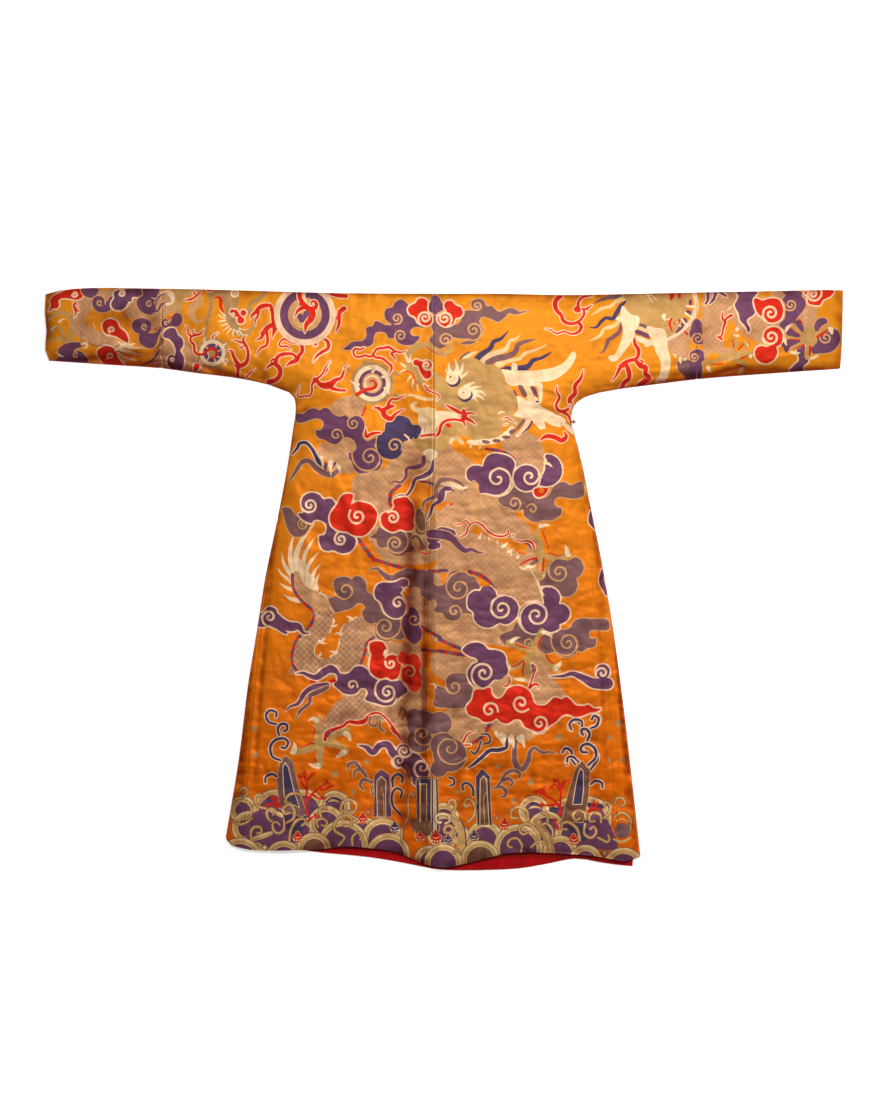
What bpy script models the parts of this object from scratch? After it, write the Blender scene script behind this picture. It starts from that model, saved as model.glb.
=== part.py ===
"""A dragon chuba, the long T-shaped silk robe of Tibet, laid out flat with its back uppermost.

Every panel is a wall of cloth cut to a flat outline, and the panels lie on each other as they do on
a table: the front panels on the surface, the narrow inner flap on the overlap, and the back on top.
Metres, +Z up, +Y towards the shoulders, +X to the right as the robe is looked at from above.
"""

import math
from collections import namedtuple

import bmesh
import bpy
import numpy as np
from mathutils import Vector
from mathutils.bvhtree import BVHTree
from mathutils.geometry import delaunay_2d_cdt

MM = 0.001

# Cloth thicknesses, and the parting between one piece and the next
WALL = 1.5 * MM
LINING = 1.0 * MM
GAP = 0.3 * MM
LAYER = WALL + GAP
LINING_LAYER = LINING + GAP

# How finely the panels are divided
PITCH = 38 * MM
EDGE_STEP = 20 * MM
CLEAR_OF_EDGE = 0.6

# The robe's driving places
CENTRE_SEAM = -26 * MM
CENTRE_BACK_HEM_X = -42 * MM
LEFT_SLEEVE_SEAM = -671 * MM
RIGHT_SLEEVE_SEAM = 602 * MM
NECK_HALF_WIDTH = 85 * MM
NECK_DEPTH = 95 * MM
NECK_ARC_STEPS = 8
NECK_MEETS_INNER_FLAP = math.radians(40)
LINING_BAND = 60 * MM

# How the back lifts off what is under it
LOFT = 4.0 * MM
LEAST_LOFT = 0.3 * MM
LOFT_REACH = 48 * MM
OPEN_END_LOFT = 0.35
STEP_KEEPS = 45 * MM
STEP_ENDS = 115 * MM

# The knot button at the right armpit
BUTTON_X = 309.4 * MM
BUTTON_Y = 375 * MM
BUTTON_Z = 4.9 * MM
BUTTON_RADIUS = 4.6 * MM
STEM_RADIUS = 0.9 * MM
STEM_END_X = 302.8 * MM
LOOP_RADIUS = 2.1 * MM
LOOP_CORD_RADIUS = 0.8 * MM
TAB_X = 295.5 * MM
TAB_Y = 377 * MM
TAB_LENGTH = 11 * MM
TAB_WIDTH = 9.5 * MM
TAB_THICKNESS = 1.6 * MM

Place = namedtuple("Place", "x y")
Fold = namedtuple("Fold", "x0 y0 x1 y1 half_width height")
Cloth = namedtuple("Cloth", "colour roughness")

GOLD_SATIN = Cloth((0.85, 0.36, 0.04, 1), 0.5)
DAMASK_UNDERSIDE = Cloth((0.78, 0.30, 0.04, 1), 0.6)
CRIMSON_LINING = Cloth((0.52, 0.01, 0.02, 1), 0.6)
RED_CORD = Cloth((0.60, 0.03, 0.03, 1), 0.7)
OLD_METAL = Cloth((0.30, 0.27, 0.22, 1), 0.4)


def places(*pairs):
    """Places given in whole millimetres."""
    return [Place(x * MM, y * MM) for x, y in pairs]


# Edges, as the robe lies. Each row is x, y in millimetres from the middle of the robe.
SHOULDER_FOLD = places(
    (-948, 679), (-914, 688), (-671, 692), (-486, 688), (-271, 682), (-26, 680),
    (133, 680), (276, 677), (467, 680), (602, 683), (767, 686), (919, 689), (950, 688),
)
LEFT_CUFF = places((-948, 679), (-950, 634), (-946, 590), (-949, 545), (-940, 521))
RIGHT_CUFF = places((950, 688), (948, 600), (946, 540), (943, 502))
LEFT_UNDERARM = places((-940, 521), (-805, 512), (-671, 503), (-576, 490), (-507, 482), (-417, 464), (-369, 446))
RIGHT_UNDERARM = places((943, 502), (881, 498), (767, 490), (602, 477), (481, 462), (419, 454), (369, 445))
LEFT_ARMPIT = places((-369, 446), (-356, 432), (-352, 412), (-354, 384), (-357, 366))
RIGHT_ARMPIT = places((369, 445), (333, 433), (312, 417), (304, 398), (302, 374), (308, 350))
LEFT_SIDE = places((-357, 366), (-371, 274), (-400, 121), (-424, 7), (-445, -126), (-464, -240),
                   (-488, -431), (-510, -564), (-519, -617))
RIGHT_SIDE = places((308, 350), (324, 293), (343, 198), (374, 45), (400, -107), (426, -298),
                    (450, -507), (464, -633), (467, -660))
CENTRE_BACK_SEAM = places((-26, 355), (-27, 245), (-31, 169), (-36, 69), (-40, -64), (-43, -231), (-45, -383))
LEFT_GORE_SEAM = places((-393, 140), (-417, 20), (-440, -140), (-450, -240), (-462, -355), (-470, -495), (-483, -640))
RIGHT_GORE_SEAM = places((320, 293), (331, 183), (348, 81), (367, -117), (390, -255), (407, -531), (429, -672))
BACK_HEM = places(
    (-519, -617), (-505, -634), (-483, -640), (-462, -644), (-348, -645), (-290, -642), (-233, -636),
    (-176, -640), (-121, -648), (-88, -660), (-50, -677), (-26, -683), (5, -686), (36, -680),
    (102, -664), (140, -654), (181, -650), (248, -651), (314, -655), (362, -659), (407, -668),
    (429, -672), (467, -660),
)
FRONT_HEM = places(
    (-516, -614), (-503, -630), (-462, -641), (-348, -644), (-290, -651), (-233, -656), (-176, -662),
    (-119, -671), (-62, -682), (-26, -689), (5, -692), (52, -693), (110, -692), (181, -688), (252, -676),
    (310, -665), (338, -667), (367, -673), (424, -681), (449, -683),
)
OVERLAP_TOP = places((-26, 585), (60, 545), (170, 478), (250, 420), (299, 374))
OVERLAP_SIDE = places((299, 374), (305, 345), (321, 292), (340, 198), (371, 45), (397, -107), (424, -298),
                      (447, -507), (453, -600), (449, -683))
INNER_FREE_EDGE = places((39, 619), (70, 500), (95, 200), (110, -200), (119, -661))
INNER_HEM = places((119, -661), (181, -658), (248, -660), (312, -662), (371, -667), (448, -664))

# The largest folds of the back, each a soft ridge from one place to another, in millimetres
FOLDS = [
    Fold(-14, -690, -8, 120, 34, 7.0),
    Fold(-8, 120, -16, 520, 26, 3.0),
    Fold(-205, -640, -190, -360, 60, 5.0),
    Fold(-375, -650, -330, -330, 55, 4.0),
    Fold(200, -650, 190, -330, 75, 5.5),
    Fold(352, -650, 330, -240, 38, 4.0),
    Fold(425, -640, 385, -60, 22, 5.0),
    Fold(385, -60, 345, 240, 16, 3.0),
    Fold(-500, -560, -440, -60, 20, 3.0),
    Fold(-330, 500, -150, 330, 40, 3.5),
    Fold(300, 480, 130, 340, 40, 3.0),
    Fold(-560, 600, -380, 520, 34, 4.5),
    Fold(-690, 560, -668, 690, 22, 3.5),
    Fold(-860, 545, -740, 590, 28, 3.5),
    Fold(700, 530, 560, 505, 26, 4.5),
    Fold(480, 520, 380, 470, 24, 3.5),
    Fold(860, 530, 780, 560, 30, 3.0),
]


def smooth_line(stations, step=EDGE_STEP):
    """Points about step apart along a smooth curve through the stations."""
    at = [Vector(place) for place in stations]
    line = [at[0]]
    for i in range(len(at) - 1):
        start, end = at[i], at[i + 1]
        span = (end - start).length
        before = start - at[i - 1] if i else end - start
        after = at[i + 2] - end if i + 2 < len(at) else end - start
        lean_in = (before / before.length + (end - start) / span).normalized() * span
        lean_out = (after / after.length + (end - start) / span).normalized() * span
        count = max(1, round(span / step))
        for k in range(1, count + 1):
            t = k / count
            line.append(
                start * (2 * t**3 - 3 * t**2 + 1)
                + lean_in * (t**3 - 2 * t**2 + t)
                + end * (3 * t**2 - 2 * t**3)
                + lean_out * (t**3 - t**2)
            )
    return [Place(p.x, p.y) for p in line]


def straight(start, end):
    """Points along a straight edge, about EDGE_STEP apart."""
    count = max(1, round(math.dist(start, end) / EDGE_STEP))
    return [
        Place(start.x + (end.x - start.x) * k / count, start.y + (end.y - start.y) * k / count)
        for k in range(count + 1)
    ]


def between(line, low_x=-math.inf, high_x=math.inf):
    """The stretch of a line between two upright seams, ending exactly on them."""
    kept = []
    for a, b in zip(line, line[1:]):
        cuts = sorted(
            (x - a.x) / (b.x - a.x) for x in (low_x, high_x) if min(a.x, b.x) < x < max(a.x, b.x)
        )
        ends = [0.0, *cuts, 1.0]
        for t in ends:
            point = Place(a.x + (b.x - a.x) * t, a.y + (b.y - a.y) * t)
            if low_x - 1e-9 <= point.x <= high_x + 1e-9 and (not kept or math.dist(kept[-1], point) > 1e-7):
                kept.append(point)
    return kept


def below(line, y):
    """The stretch of a line at or below a height, ending exactly on it."""
    kept = []
    for a, b in zip(line, line[1:]):
        ends = [0.0, 1.0]
        if min(a.y, b.y) < y < max(a.y, b.y):
            ends.insert(1, (y - a.y) / (b.y - a.y))
        for t in ends:
            point = Place(a.x + (b.x - a.x) * t, a.y + (b.y - a.y) * t)
            if point.y <= y + 1e-9 and (not kept or math.dist(kept[-1], point) > 1e-7):
                kept.append(point)
    return kept


def above(line, y):
    """The stretch of a line at or above a height, ending exactly on it."""
    return [Place(p.x, -p.y) for p in below([Place(q.x, -q.y) for q in line], -y)]


def outline_of(*edges):
    """One closed outline from edges that follow each other, without the doubled corners."""
    points = []
    for edge in edges:
        for point in edge:
            if not points or math.dist(points[-1], point) > 0.5 * MM:
                points.append(point)
    while math.dist(points[0], points[-1]) < 0.5 * MM:
        points.pop()
    return points


def moved(line, dx=0.0, dy=0.0):
    """The line again, shifted."""
    return [Place(p.x + dx, p.y + dy) for p in line]


def distance_to(points, line, closed=False):
    """How far each point is from a line, as an array."""
    p = np.array(points, float).reshape(-1, 2)
    path = np.array(line + line[:1] if closed else line, float)
    best = np.full(len(p), np.inf)
    for a, b in zip(path, path[1:]):
        along = b - a
        share = np.clip((p - a) @ along / (along @ along), 0, 1)
        best = np.minimum(best, np.linalg.norm(p - a - share[:, None] * along, axis=1))
    return best


def inside(points, outline):
    """Whether each point is inside a closed outline, as an array."""
    p = np.array(points, float).reshape(-1, 2)
    ring = np.array(outline, float)
    found = np.zeros(len(p), bool)
    for a, b in zip(ring, np.roll(ring, -1, axis=0)):
        crosses = (a[1] > p[:, 1]) != (b[1] > p[:, 1])
        rise = b[1] - a[1] if b[1] != a[1] else 1.0
        at = a[0] + (p[:, 1] - a[1]) / rise * (b[0] - a[0])
        found ^= crosses & (p[:, 0] < at)
    return found


def eased(t):
    """0 to 1 with a soft start and end."""
    t = np.clip(t, 0, 1)
    return t * t * (3 - 2 * t)


# Whole edges, each worked out once so that two panels that share an edge share its points
shoulder = smooth_line(SHOULDER_FOLD, PITCH)
left_cuff = smooth_line(LEFT_CUFF)
right_cuff = smooth_line(RIGHT_CUFF)
left_underarm = smooth_line(LEFT_UNDERARM, PITCH)
right_underarm = smooth_line(RIGHT_UNDERARM, PITCH)
left_armpit = smooth_line(LEFT_ARMPIT, 10 * MM)
right_armpit = smooth_line(RIGHT_ARMPIT, 10 * MM)
left_side = smooth_line(LEFT_SIDE, PITCH)
right_side = smooth_line(RIGHT_SIDE, PITCH)
left_gore_seam = smooth_line(LEFT_GORE_SEAM, PITCH)
right_gore_seam = smooth_line(RIGHT_GORE_SEAM, PITCH)
back_hem = smooth_line(BACK_HEM)
front_hem = smooth_line(FRONT_HEM)
inner_hem = smooth_line(INNER_HEM)
overlap_top = smooth_line(OVERLAP_TOP)
overlap_side = smooth_line(OVERLAP_SIDE, PITCH)
inner_free_edge = smooth_line(INNER_FREE_EDGE, PITCH)


def neck_arc(first, last):
    """The neck hole's edge on the front, between two angles below the horizontal."""
    top = SHOULDER_FOLD[5].y
    angles = [first + (last - first) * k / NECK_ARC_STEPS for k in range(NECK_ARC_STEPS + 1)]
    return [
        Place(CENTRE_SEAM + NECK_HALF_WIDTH * math.cos(a), top - NECK_DEPTH * math.sin(a)) for a in angles
    ]


def overlap_outline():
    """The overlap: sewn to the left front at the centre seam, free along its slanting top and side."""
    left = CENTRE_SEAM + GAP / 2
    top = between(overlap_top, low_x=left)
    hem = between(front_hem, low_x=left)
    return outline_of(top, overlap_side, hem[::-1], straight(hem[0], top[0]))


def inner_outline():
    """The right front with the sleeve's inner part, narrowed to a flap that ends short of the centre."""
    right = RIGHT_SLEEVE_SEAM - GAP / 2
    neck = neck_arc(0.0, NECK_MEETS_INNER_FLAP)
    fold = between(shoulder, neck[0].x, right)
    under = between(right_underarm, high_x=right)
    side = above(right_side, INNER_HEM[-1].y + 8 * MM)
    side[-1] = INNER_HEM[-1]
    return outline_of(
        fold, straight(fold[-1], under[0]), under, right_armpit, side, inner_hem[::-1],
        inner_free_edge[::-1], neck[::-1],
    )


overlap = overlap_outline()
inner_flap = inner_outline()
closed_edges = [shoulder, left_underarm, right_underarm, left_armpit, right_armpit, left_side, right_side]
open_ends = [left_cuff, right_cuff, back_hem]


def over(points, outline):
    """1 on and close round a panel, and 0 well clear of it."""
    away = np.where(inside(points, outline), 0.0, distance_to(points, outline, closed=True))
    return 1 - eased((away - STEP_KEEPS) / (STEP_ENDS - STEP_KEEPS))


def on_band(points, hem):
    """1 on and close round the lining that shows along a hem, and 0 well clear of it."""
    return 1 - eased((distance_to(points, hem) - LINING_BAND - STEP_KEEPS) / (STEP_ENDS - STEP_KEEPS))


def under_front(points):
    """The lowest panels lie on the surface."""
    return np.zeros(len(points))


def under_inner(points):
    """The underside of the right front: on the surface, or on the overlap and its lining."""
    return LAYER * over(points, overlap) + LINING_LAYER * on_band(points, front_hem)


def under_back(points):
    """The underside of the back: on the fronts and the linings, lofted, with its folds."""
    p = np.array(points, float).reshape(-1, 2)
    stack = LAYER + LINING_LAYER * on_band(p, front_hem)
    stack += LAYER * over(p, inner_flap) * over(p, overlap) + LINING_LAYER * on_band(p, inner_hem)
    to_edge = np.min([distance_to(p, edge) for edge in closed_edges], axis=0)
    to_end = np.min([distance_to(p, end) for end in open_ends], axis=0)
    open_share = eased(to_edge / LOFT_REACH)
    settled = OPEN_END_LOFT + (1 - OPEN_END_LOFT) * eased(to_end / LOFT_REACH)
    height = stack + LEAST_LOFT + (LOFT - LEAST_LOFT) * open_share * settled
    for fold in FOLDS:
        ends = [Place(fold.x0 * MM, fold.y0 * MM), Place(fold.x1 * MM, fold.y1 * MM)]
        across = distance_to(p, ends) / (fold.half_width * MM)
        height += fold.height * MM * np.exp(-across * across) * open_share
    return height


def inner_points(outline):
    """An even triangular lattice inside the outline, clear of its edge. All panels share one lattice."""
    ring = np.array(outline)
    low, high = ring.min(axis=0), ring.max(axis=0)
    row_height = PITCH * math.sqrt(3) / 2
    lattice = [
        (PITCH * (column + 0.5 * (row % 2)), row_height * row)
        for row in range(math.floor(low[1] / row_height), math.ceil(high[1] / row_height) + 1)
        for column in range(math.floor(low[0] / PITCH) - 1, math.ceil(high[0] / PITCH) + 1)
    ]
    clear = inside(lattice, outline) & (distance_to(lattice, outline, closed=True) > CLEAR_OF_EDGE * PITCH)
    return [point for point, keep in zip(lattice, clear) if keep]


def finish_object(name, bm, cloth, smooth=True):
    """Makes the bmesh an object with its own material."""
    mesh = bpy.data.meshes.new(name)
    bm.to_mesh(mesh)
    bm.free()
    if smooth:
        mesh.shade_smooth()
        mesh.set_sharp_from_angle(angle=math.radians(50))
    material = bpy.data.materials.new(name)
    material.use_nodes = True
    shader = material.node_tree.nodes["Principled BSDF"]
    shader.inputs["Base Color"].default_value = cloth.colour
    shader.inputs["Roughness"].default_value = cloth.roughness
    if cloth is OLD_METAL:
        shader.inputs["Metallic"].default_value = 1.0
    mesh.materials.append(material)
    obj = bpy.data.objects.new(name, mesh)
    bpy.context.scene.collection.objects.link(obj)
    return obj


def cloth_panel(name, outline, under, cloth, thickness=WALL):
    """A wall of cloth cut to the outline, whose underside follows the height that under gives."""
    flat = [Vector(p) for p in outline] + [Vector(p) for p in inner_points(outline)]
    found, _, faces, *_ = delaunay_2d_cdt(flat, [], [list(range(len(outline)))], 1, 1e-7)
    heights = under([(p.x, p.y) for p in found])
    bm = bmesh.new()
    lower = [bm.verts.new((p.x, p.y, z)) for p, z in zip(found, heights)]
    for face in faces:
        bm.faces.new([lower[i] for i in face])
    grown = bmesh.ops.extrude_face_region(bm, geom=bm.faces[:])
    upper = [element for element in grown["geom"] if isinstance(element, bmesh.types.BMVert)]
    bmesh.ops.translate(bm, verts=upper, vec=(0, 0, thickness))
    bmesh.ops.recalc_face_normals(bm, faces=bm.faces[:])
    return finish_object(name, bm, cloth)


def back_half(name, side):
    """One half of the back with the sleeve's inner part: -1 is the left half, 1 the right."""
    top_x = CENTRE_SEAM + side * GAP / 2
    hem_x = CENTRE_BACK_HEM_X + side * GAP / 2
    if side < 0:
        sleeve_seam = LEFT_SLEEVE_SEAM + GAP / 2
        fold = between(shoulder, sleeve_seam, top_x)[::-1]
        under = between(left_underarm, low_x=sleeve_seam)
        armpit, whole_side, gore_seam = left_armpit, left_side, left_gore_seam
        hem = between(back_hem, LEFT_GORE_SEAM[-1].x + GAP, hem_x)
    else:
        sleeve_seam = RIGHT_SLEEVE_SEAM - GAP / 2
        fold = between(shoulder, top_x, sleeve_seam)
        under = between(right_underarm, high_x=sleeve_seam)
        armpit, whole_side, gore_seam = right_armpit, right_side, right_gore_seam
        hem = between(back_hem, hem_x, RIGHT_GORE_SEAM[-1].x - GAP)[::-1]
    free_side = above(whole_side, gore_seam[0].y + GAP)
    gore_edge = moved(gore_seam[:-1], dx=-side * GAP)
    centre = smooth_line([fold[0], *moved(CENTRE_BACK_SEAM, dx=side * GAP / 2), hem[-1]], PITCH)[::-1]
    outline = outline_of(
        fold, straight(fold[-1], under[0]), under, armpit, free_side, gore_edge, hem, centre,
    )
    return cloth_panel(name, outline, under_back, GOLD_SATIN)


def gore(name, side):
    """The narrow wedge let in between the back and the side edge."""
    if side < 0:
        seam, whole_side = left_gore_seam, left_side
        hem = between(back_hem, high_x=seam[-1].x)[::-1]
    else:
        seam, whole_side = right_gore_seam, right_side
        hem = between(back_hem, low_x=seam[-1].x)
    edge = below(whole_side, seam[0].y)
    outline = outline_of(seam[:-1], hem, edge[::-1])
    return cloth_panel(name, outline, under_back, GOLD_SATIN)


def sleeve_outline(side, inset):
    """The sleeve's outer length, from its seam to the cuff."""
    if side < 0:
        seam = LEFT_SLEEVE_SEAM - GAP / 2
        fold = between(shoulder, high_x=seam)[::-1]
        under = between(left_underarm, high_x=seam)[::-1]
        cuff = left_cuff
    else:
        seam = RIGHT_SLEEVE_SEAM + GAP / 2
        fold = between(shoulder, low_x=seam)
        under = between(right_underarm, low_x=seam)[::-1]
        cuff = right_cuff
    cuff = moved(cuff, dx=-side * inset)
    under = moved(under, dy=inset)
    fold = moved(fold, dy=-inset)
    fold[-1] = cuff[0]
    under[-1] = cuff[-1]
    return outline_of(fold, cuff, under[::-1], straight(under[0], fold[0]))


def left_front():
    """The left front: joined to the overlap at the centre, with the left half of the neck hole."""
    seam = CENTRE_SEAM - GAP / 2
    sleeve_seam = LEFT_SLEEVE_SEAM + GAP / 2
    neck = neck_arc(math.pi, math.pi / 2)
    neck[-1] = Place(seam, neck[-1].y)
    fold = between(shoulder, sleeve_seam, neck[0].x)[::-1]
    under = between(left_underarm, low_x=sleeve_seam)
    hem = between(front_hem, high_x=seam)
    outline = outline_of(
        fold, straight(fold[-1], under[0]), under, left_armpit, left_side[:-1], hem,
        straight(hem[-1], neck[-1]), neck[::-1],
    )
    return cloth_panel("front_left", outline, under_front, DAMASK_UNDERSIDE)


def lining_band(name, hem, base):
    """The depth of lining that shows above a hem, lying on its panel."""
    edge = moved(hem, dy=1.0 * MM)
    top = moved(hem, dy=LINING_BAND)
    outline = outline_of(edge, straight(edge[-1], top[-1]), top[::-1], straight(top[0], edge[0]))
    return cloth_panel(name, outline, base, CRIMSON_LINING, LINING)


def button():
    """A cast ball on a short stem that points to the cloth's edge."""
    bm = bmesh.new()
    bmesh.ops.create_uvsphere(bm, u_segments=16, v_segments=10, radius=BUTTON_RADIUS)
    ball = finish_object("button", bm, OLD_METAL)
    ball.location = (BUTTON_X, BUTTON_Y, BUTTON_Z)
    bm = bmesh.new()
    bmesh.ops.create_cone(
        bm, cap_ends=True, segments=10, radius1=STEM_RADIUS, radius2=STEM_RADIUS, depth=BUTTON_X - STEM_END_X
    )
    stem = finish_object("button_stem_shape", bm, OLD_METAL)
    stem.location = ((BUTTON_X + STEM_END_X) / 2, BUTTON_Y, BUTTON_Z)
    stem.rotation_euler = (0, math.radians(90), 0)
    stem.hide_render = True
    stem.display_type = "WIRE"
    union = ball.modifiers.new("stem", "BOOLEAN")
    union.operation = "UNION"
    union.object = stem
    return ball


def button_loop():
    """The turn of red cord round the button's stem."""
    curve = bpy.data.curves.new("button_loop", "CURVE")
    curve.dimensions = "3D"
    curve.bevel_depth = LOOP_CORD_RADIUS
    curve.bevel_resolution = 2
    turn = curve.splines.new("POLY")
    sides = 16
    turn.points.add(sides - 1)
    for k, point in enumerate(turn.points):
        angle = 2 * math.pi * k / sides
        point.co = (0, LOOP_RADIUS * math.cos(angle), LOOP_RADIUS * math.sin(angle), 1)
    turn.use_cyclic_u = True
    material = bpy.data.materials.new("button_loop")
    material.use_nodes = True
    material.node_tree.nodes["Principled BSDF"].inputs["Base Color"].default_value = RED_CORD.colour
    curve.materials.append(material)
    obj = bpy.data.objects.new("button_loop", curve)
    obj.location = (BUTTON_X - BUTTON_RADIUS - GAP - LOOP_CORD_RADIUS, BUTTON_Y, BUTTON_Z)
    bpy.context.scene.collection.objects.link(obj)
    return obj


def loop_tab(back):
    """The loop's sewn end, a small red pad on the back just inside the edge."""
    bm = bmesh.new()
    bmesh.ops.create_grid(bm, x_segments=4, y_segments=5, size=0.5)
    bmesh.ops.scale(bm, verts=bm.verts[:], vec=(TAB_LENGTH, TAB_WIDTH, 1))
    bmesh.ops.translate(bm, verts=bm.verts[:], vec=(TAB_X, TAB_Y, 0))
    cloth_under = BVHTree.FromObject(back, bpy.context.evaluated_depsgraph_get())
    high_above = 0.1
    for vert in bm.verts:
        hit = cloth_under.ray_cast(Vector((vert.co.x, vert.co.y, high_above)), Vector((0, 0, -1)))[0]
        vert.co.z = hit.z + GAP
    grown = bmesh.ops.extrude_face_region(bm, geom=bm.faces[:])
    upper = [element for element in grown["geom"] if isinstance(element, bmesh.types.BMVert)]
    bmesh.ops.translate(bm, verts=upper, vec=(0, 0, TAB_THICKNESS))
    bmesh.ops.recalc_face_normals(bm, faces=bm.faces[:])
    return finish_object("loop_tab", bm, RED_CORD)


def stand_at_middle():
    """Puts the middle of the robe's box over the origin. Its lowest panels are already at z 0."""
    shown = [obj for obj in bpy.context.scene.objects if not obj.parent]
    bpy.context.view_layer.update()
    corners = [obj.matrix_world @ Vector(corner) for obj in shown for corner in obj.bound_box]
    middle_x = (min(c.x for c in corners) + max(c.x for c in corners)) / 2
    middle_y = (min(c.y for c in corners) + max(c.y for c in corners)) / 2
    for obj in shown:
        obj.location.x -= middle_x
        obj.location.y -= middle_y


def main():
    for obj in list(bpy.data.objects):
        bpy.data.objects.remove(obj)
    under_sleeve_inset = 0.8 * MM
    left_front()
    cloth_panel("front_overlap", overlap, under_front, DAMASK_UNDERSIDE)
    cloth_panel("front_right", inner_flap, under_inner, DAMASK_UNDERSIDE)
    lining_band("lining_front", front_hem[2:], lambda p: under_front(p) + LAYER)
    lining_band("lining_inner", inner_hem, lambda p: under_inner(p) + LAYER)
    back_half("back_left", -1)
    back_right = back_half("back_right", 1)
    gore("gore_left", -1)
    gore("gore_right", 1)
    for name, side in (("left", -1), ("right", 1)):
        cloth_panel(
            f"sleeve_{name}_front", sleeve_outline(side, under_sleeve_inset), under_front, DAMASK_UNDERSIDE
        )
        cloth_panel(f"sleeve_{name}_back", sleeve_outline(side, 0.0), under_back, GOLD_SATIN)
    bpy.context.view_layer.update()
    button()
    button_loop()
    loop_tab(back_right)
    stand_at_middle()


main()
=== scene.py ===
# %% [markdown]
# # A dragon chuba, laid out flat
#
# This lesson dresses a plain model of a Tibetan silk robe, a chuba, that lies on its front with its
# back uppermost. The solids are already right in size and place. What is missing is the cloth: the
# golden satin with its woven dragons, clouds and waves, the crimson lining that shows at the hem,
# the stitching, and the knot button at the armpit.

# %% Load the plain robe
import math
from collections import namedtuple

import bmesh
import bpy
import numpy as np
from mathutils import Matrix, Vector
from mathutils.bvhtree import BVHTree
from mathutils.geometry import delaunay_2d_cdt
from mathutils.kdtree import KDTree


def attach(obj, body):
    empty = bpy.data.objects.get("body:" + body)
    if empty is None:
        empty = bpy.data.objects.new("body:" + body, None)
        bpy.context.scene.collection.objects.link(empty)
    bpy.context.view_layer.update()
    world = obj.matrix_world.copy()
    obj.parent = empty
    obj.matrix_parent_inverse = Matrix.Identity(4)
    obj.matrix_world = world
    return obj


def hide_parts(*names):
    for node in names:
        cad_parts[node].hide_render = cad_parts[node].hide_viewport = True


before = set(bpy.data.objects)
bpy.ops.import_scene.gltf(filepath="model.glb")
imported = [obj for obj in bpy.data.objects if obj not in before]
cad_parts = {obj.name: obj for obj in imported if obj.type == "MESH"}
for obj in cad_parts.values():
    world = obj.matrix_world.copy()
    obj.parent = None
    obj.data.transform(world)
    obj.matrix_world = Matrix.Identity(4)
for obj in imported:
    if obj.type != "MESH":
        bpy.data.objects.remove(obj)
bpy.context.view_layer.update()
print("nodes:", ", ".join(sorted(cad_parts)))

# %% [markdown]
# ## Camera, light and floor
#
# The robe was photographed from straight above, so the camera looks straight down. A long lens from
# high up keeps the view as flat as a pattern sheet. A lamp near the camera lights the satin evenly.
# A stronger one, far off to the right, makes the folds stand out, and a pale sky fills the shadows.

# %% Camera straight above
FRAME_WIDTH_SQUARES = 880
FRAME_HEIGHT_SQUARES = 1100
SQUARE = 1.900 / 798
CENTRE_SQUARE = (444.0, 579.0)
CAMERA_HEIGHT = 30.0
SENSOR_HEIGHT = 0.036


def at(x, y):
    """The place on the robe, in metres, of a square of the chart."""
    return (x - CENTRE_SQUARE[0]) * SQUARE, (CENTRE_SQUARE[1] - y) * SQUARE


camera_data = bpy.data.cameras.new("camera")
camera_data.sensor_fit = "VERTICAL"
camera_data.sensor_height = SENSOR_HEIGHT * 1000
camera_data.lens = SENSOR_HEIGHT * 1000 * CAMERA_HEIGHT / (FRAME_HEIGHT_SQUARES * SQUARE)
camera_data.clip_end = 100
camera = bpy.data.objects.new("camera", camera_data)
camera.location = (*at(FRAME_WIDTH_SQUARES / 2, FRAME_HEIGHT_SQUARES / 2), CAMERA_HEIGHT)
bpy.context.scene.collection.objects.link(camera)
bpy.context.scene.camera = camera
bpy.context.scene.view_settings.view_transform = "Standard"
print("lens:", round(camera_data.lens), "mm, one square of the chart:", round(SQUARE * 1000, 3), "mm")

# %% Soft light and a pale floor
SKY_STRENGTH = 0.17
FLOOR_SIZE = 30
FLOOR_DROP = 0.0004
FLOOR_PAINT = {"Base Color": (0.97, 0.97, 0.97, 1), "Roughness": 0.9, "Specular IOR Level": 0.1,
               "Emission Color": (1, 1, 1, 1), "Emission Strength": 0.5}


def lamp(name, place, size, watts):
    """A square lamp that points at the middle of the robe."""
    data = bpy.data.lights.new(name, "AREA")
    data.size = size
    data.energy = watts
    obj = bpy.data.objects.new(name, data)
    obj.location = place
    obj.rotation_euler = (-Vector(place)).to_track_quat("-Z", "Y").to_euler()
    bpy.context.scene.collection.objects.link(obj)


lamp("high_lamp", place=(0.3, 0.9, 3.0), size=0.9, watts=44)
lamp("side_lamp", place=(8.0, 4.0, 4.6), size=1.8, watts=500)
world = bpy.data.worlds.new("pale_sky")
world.use_nodes = True
world.node_tree.nodes["Background"].inputs["Color"].default_value = (1, 1, 1, 1)
world.node_tree.nodes["Background"].inputs["Strength"].default_value = SKY_STRENGTH
bpy.context.scene.world = world

bm = bmesh.new()
bmesh.ops.create_grid(bm, x_segments=1, y_segments=1, size=FLOOR_SIZE)
floor_mesh = bpy.data.meshes.new("floor")
bm.to_mesh(floor_mesh)
bm.free()
floor = bpy.data.objects.new("floor", floor_mesh)
floor.location = (0, 0, -FLOOR_DROP)
bpy.context.scene.collection.objects.link(floor)
floor_paint = bpy.data.materials.new("floor_paint")
floor_paint.use_nodes = True
floor_shader = floor_paint.node_tree.nodes["Principled BSDF"]
for name, value in FLOOR_PAINT.items():
    floor_shader.inputs[name].default_value = value
floor_mesh.materials.append(floor_paint)
print("lights:", [light.name for light in bpy.data.lights])

# %% [markdown]
# ## Threads
#
# A brocade is woven from a few colours of silk. Each tone below is one thread, written as the eye
# sees it, from 0 to 255, and turned into the linear numbers that a shader wants.

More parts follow.
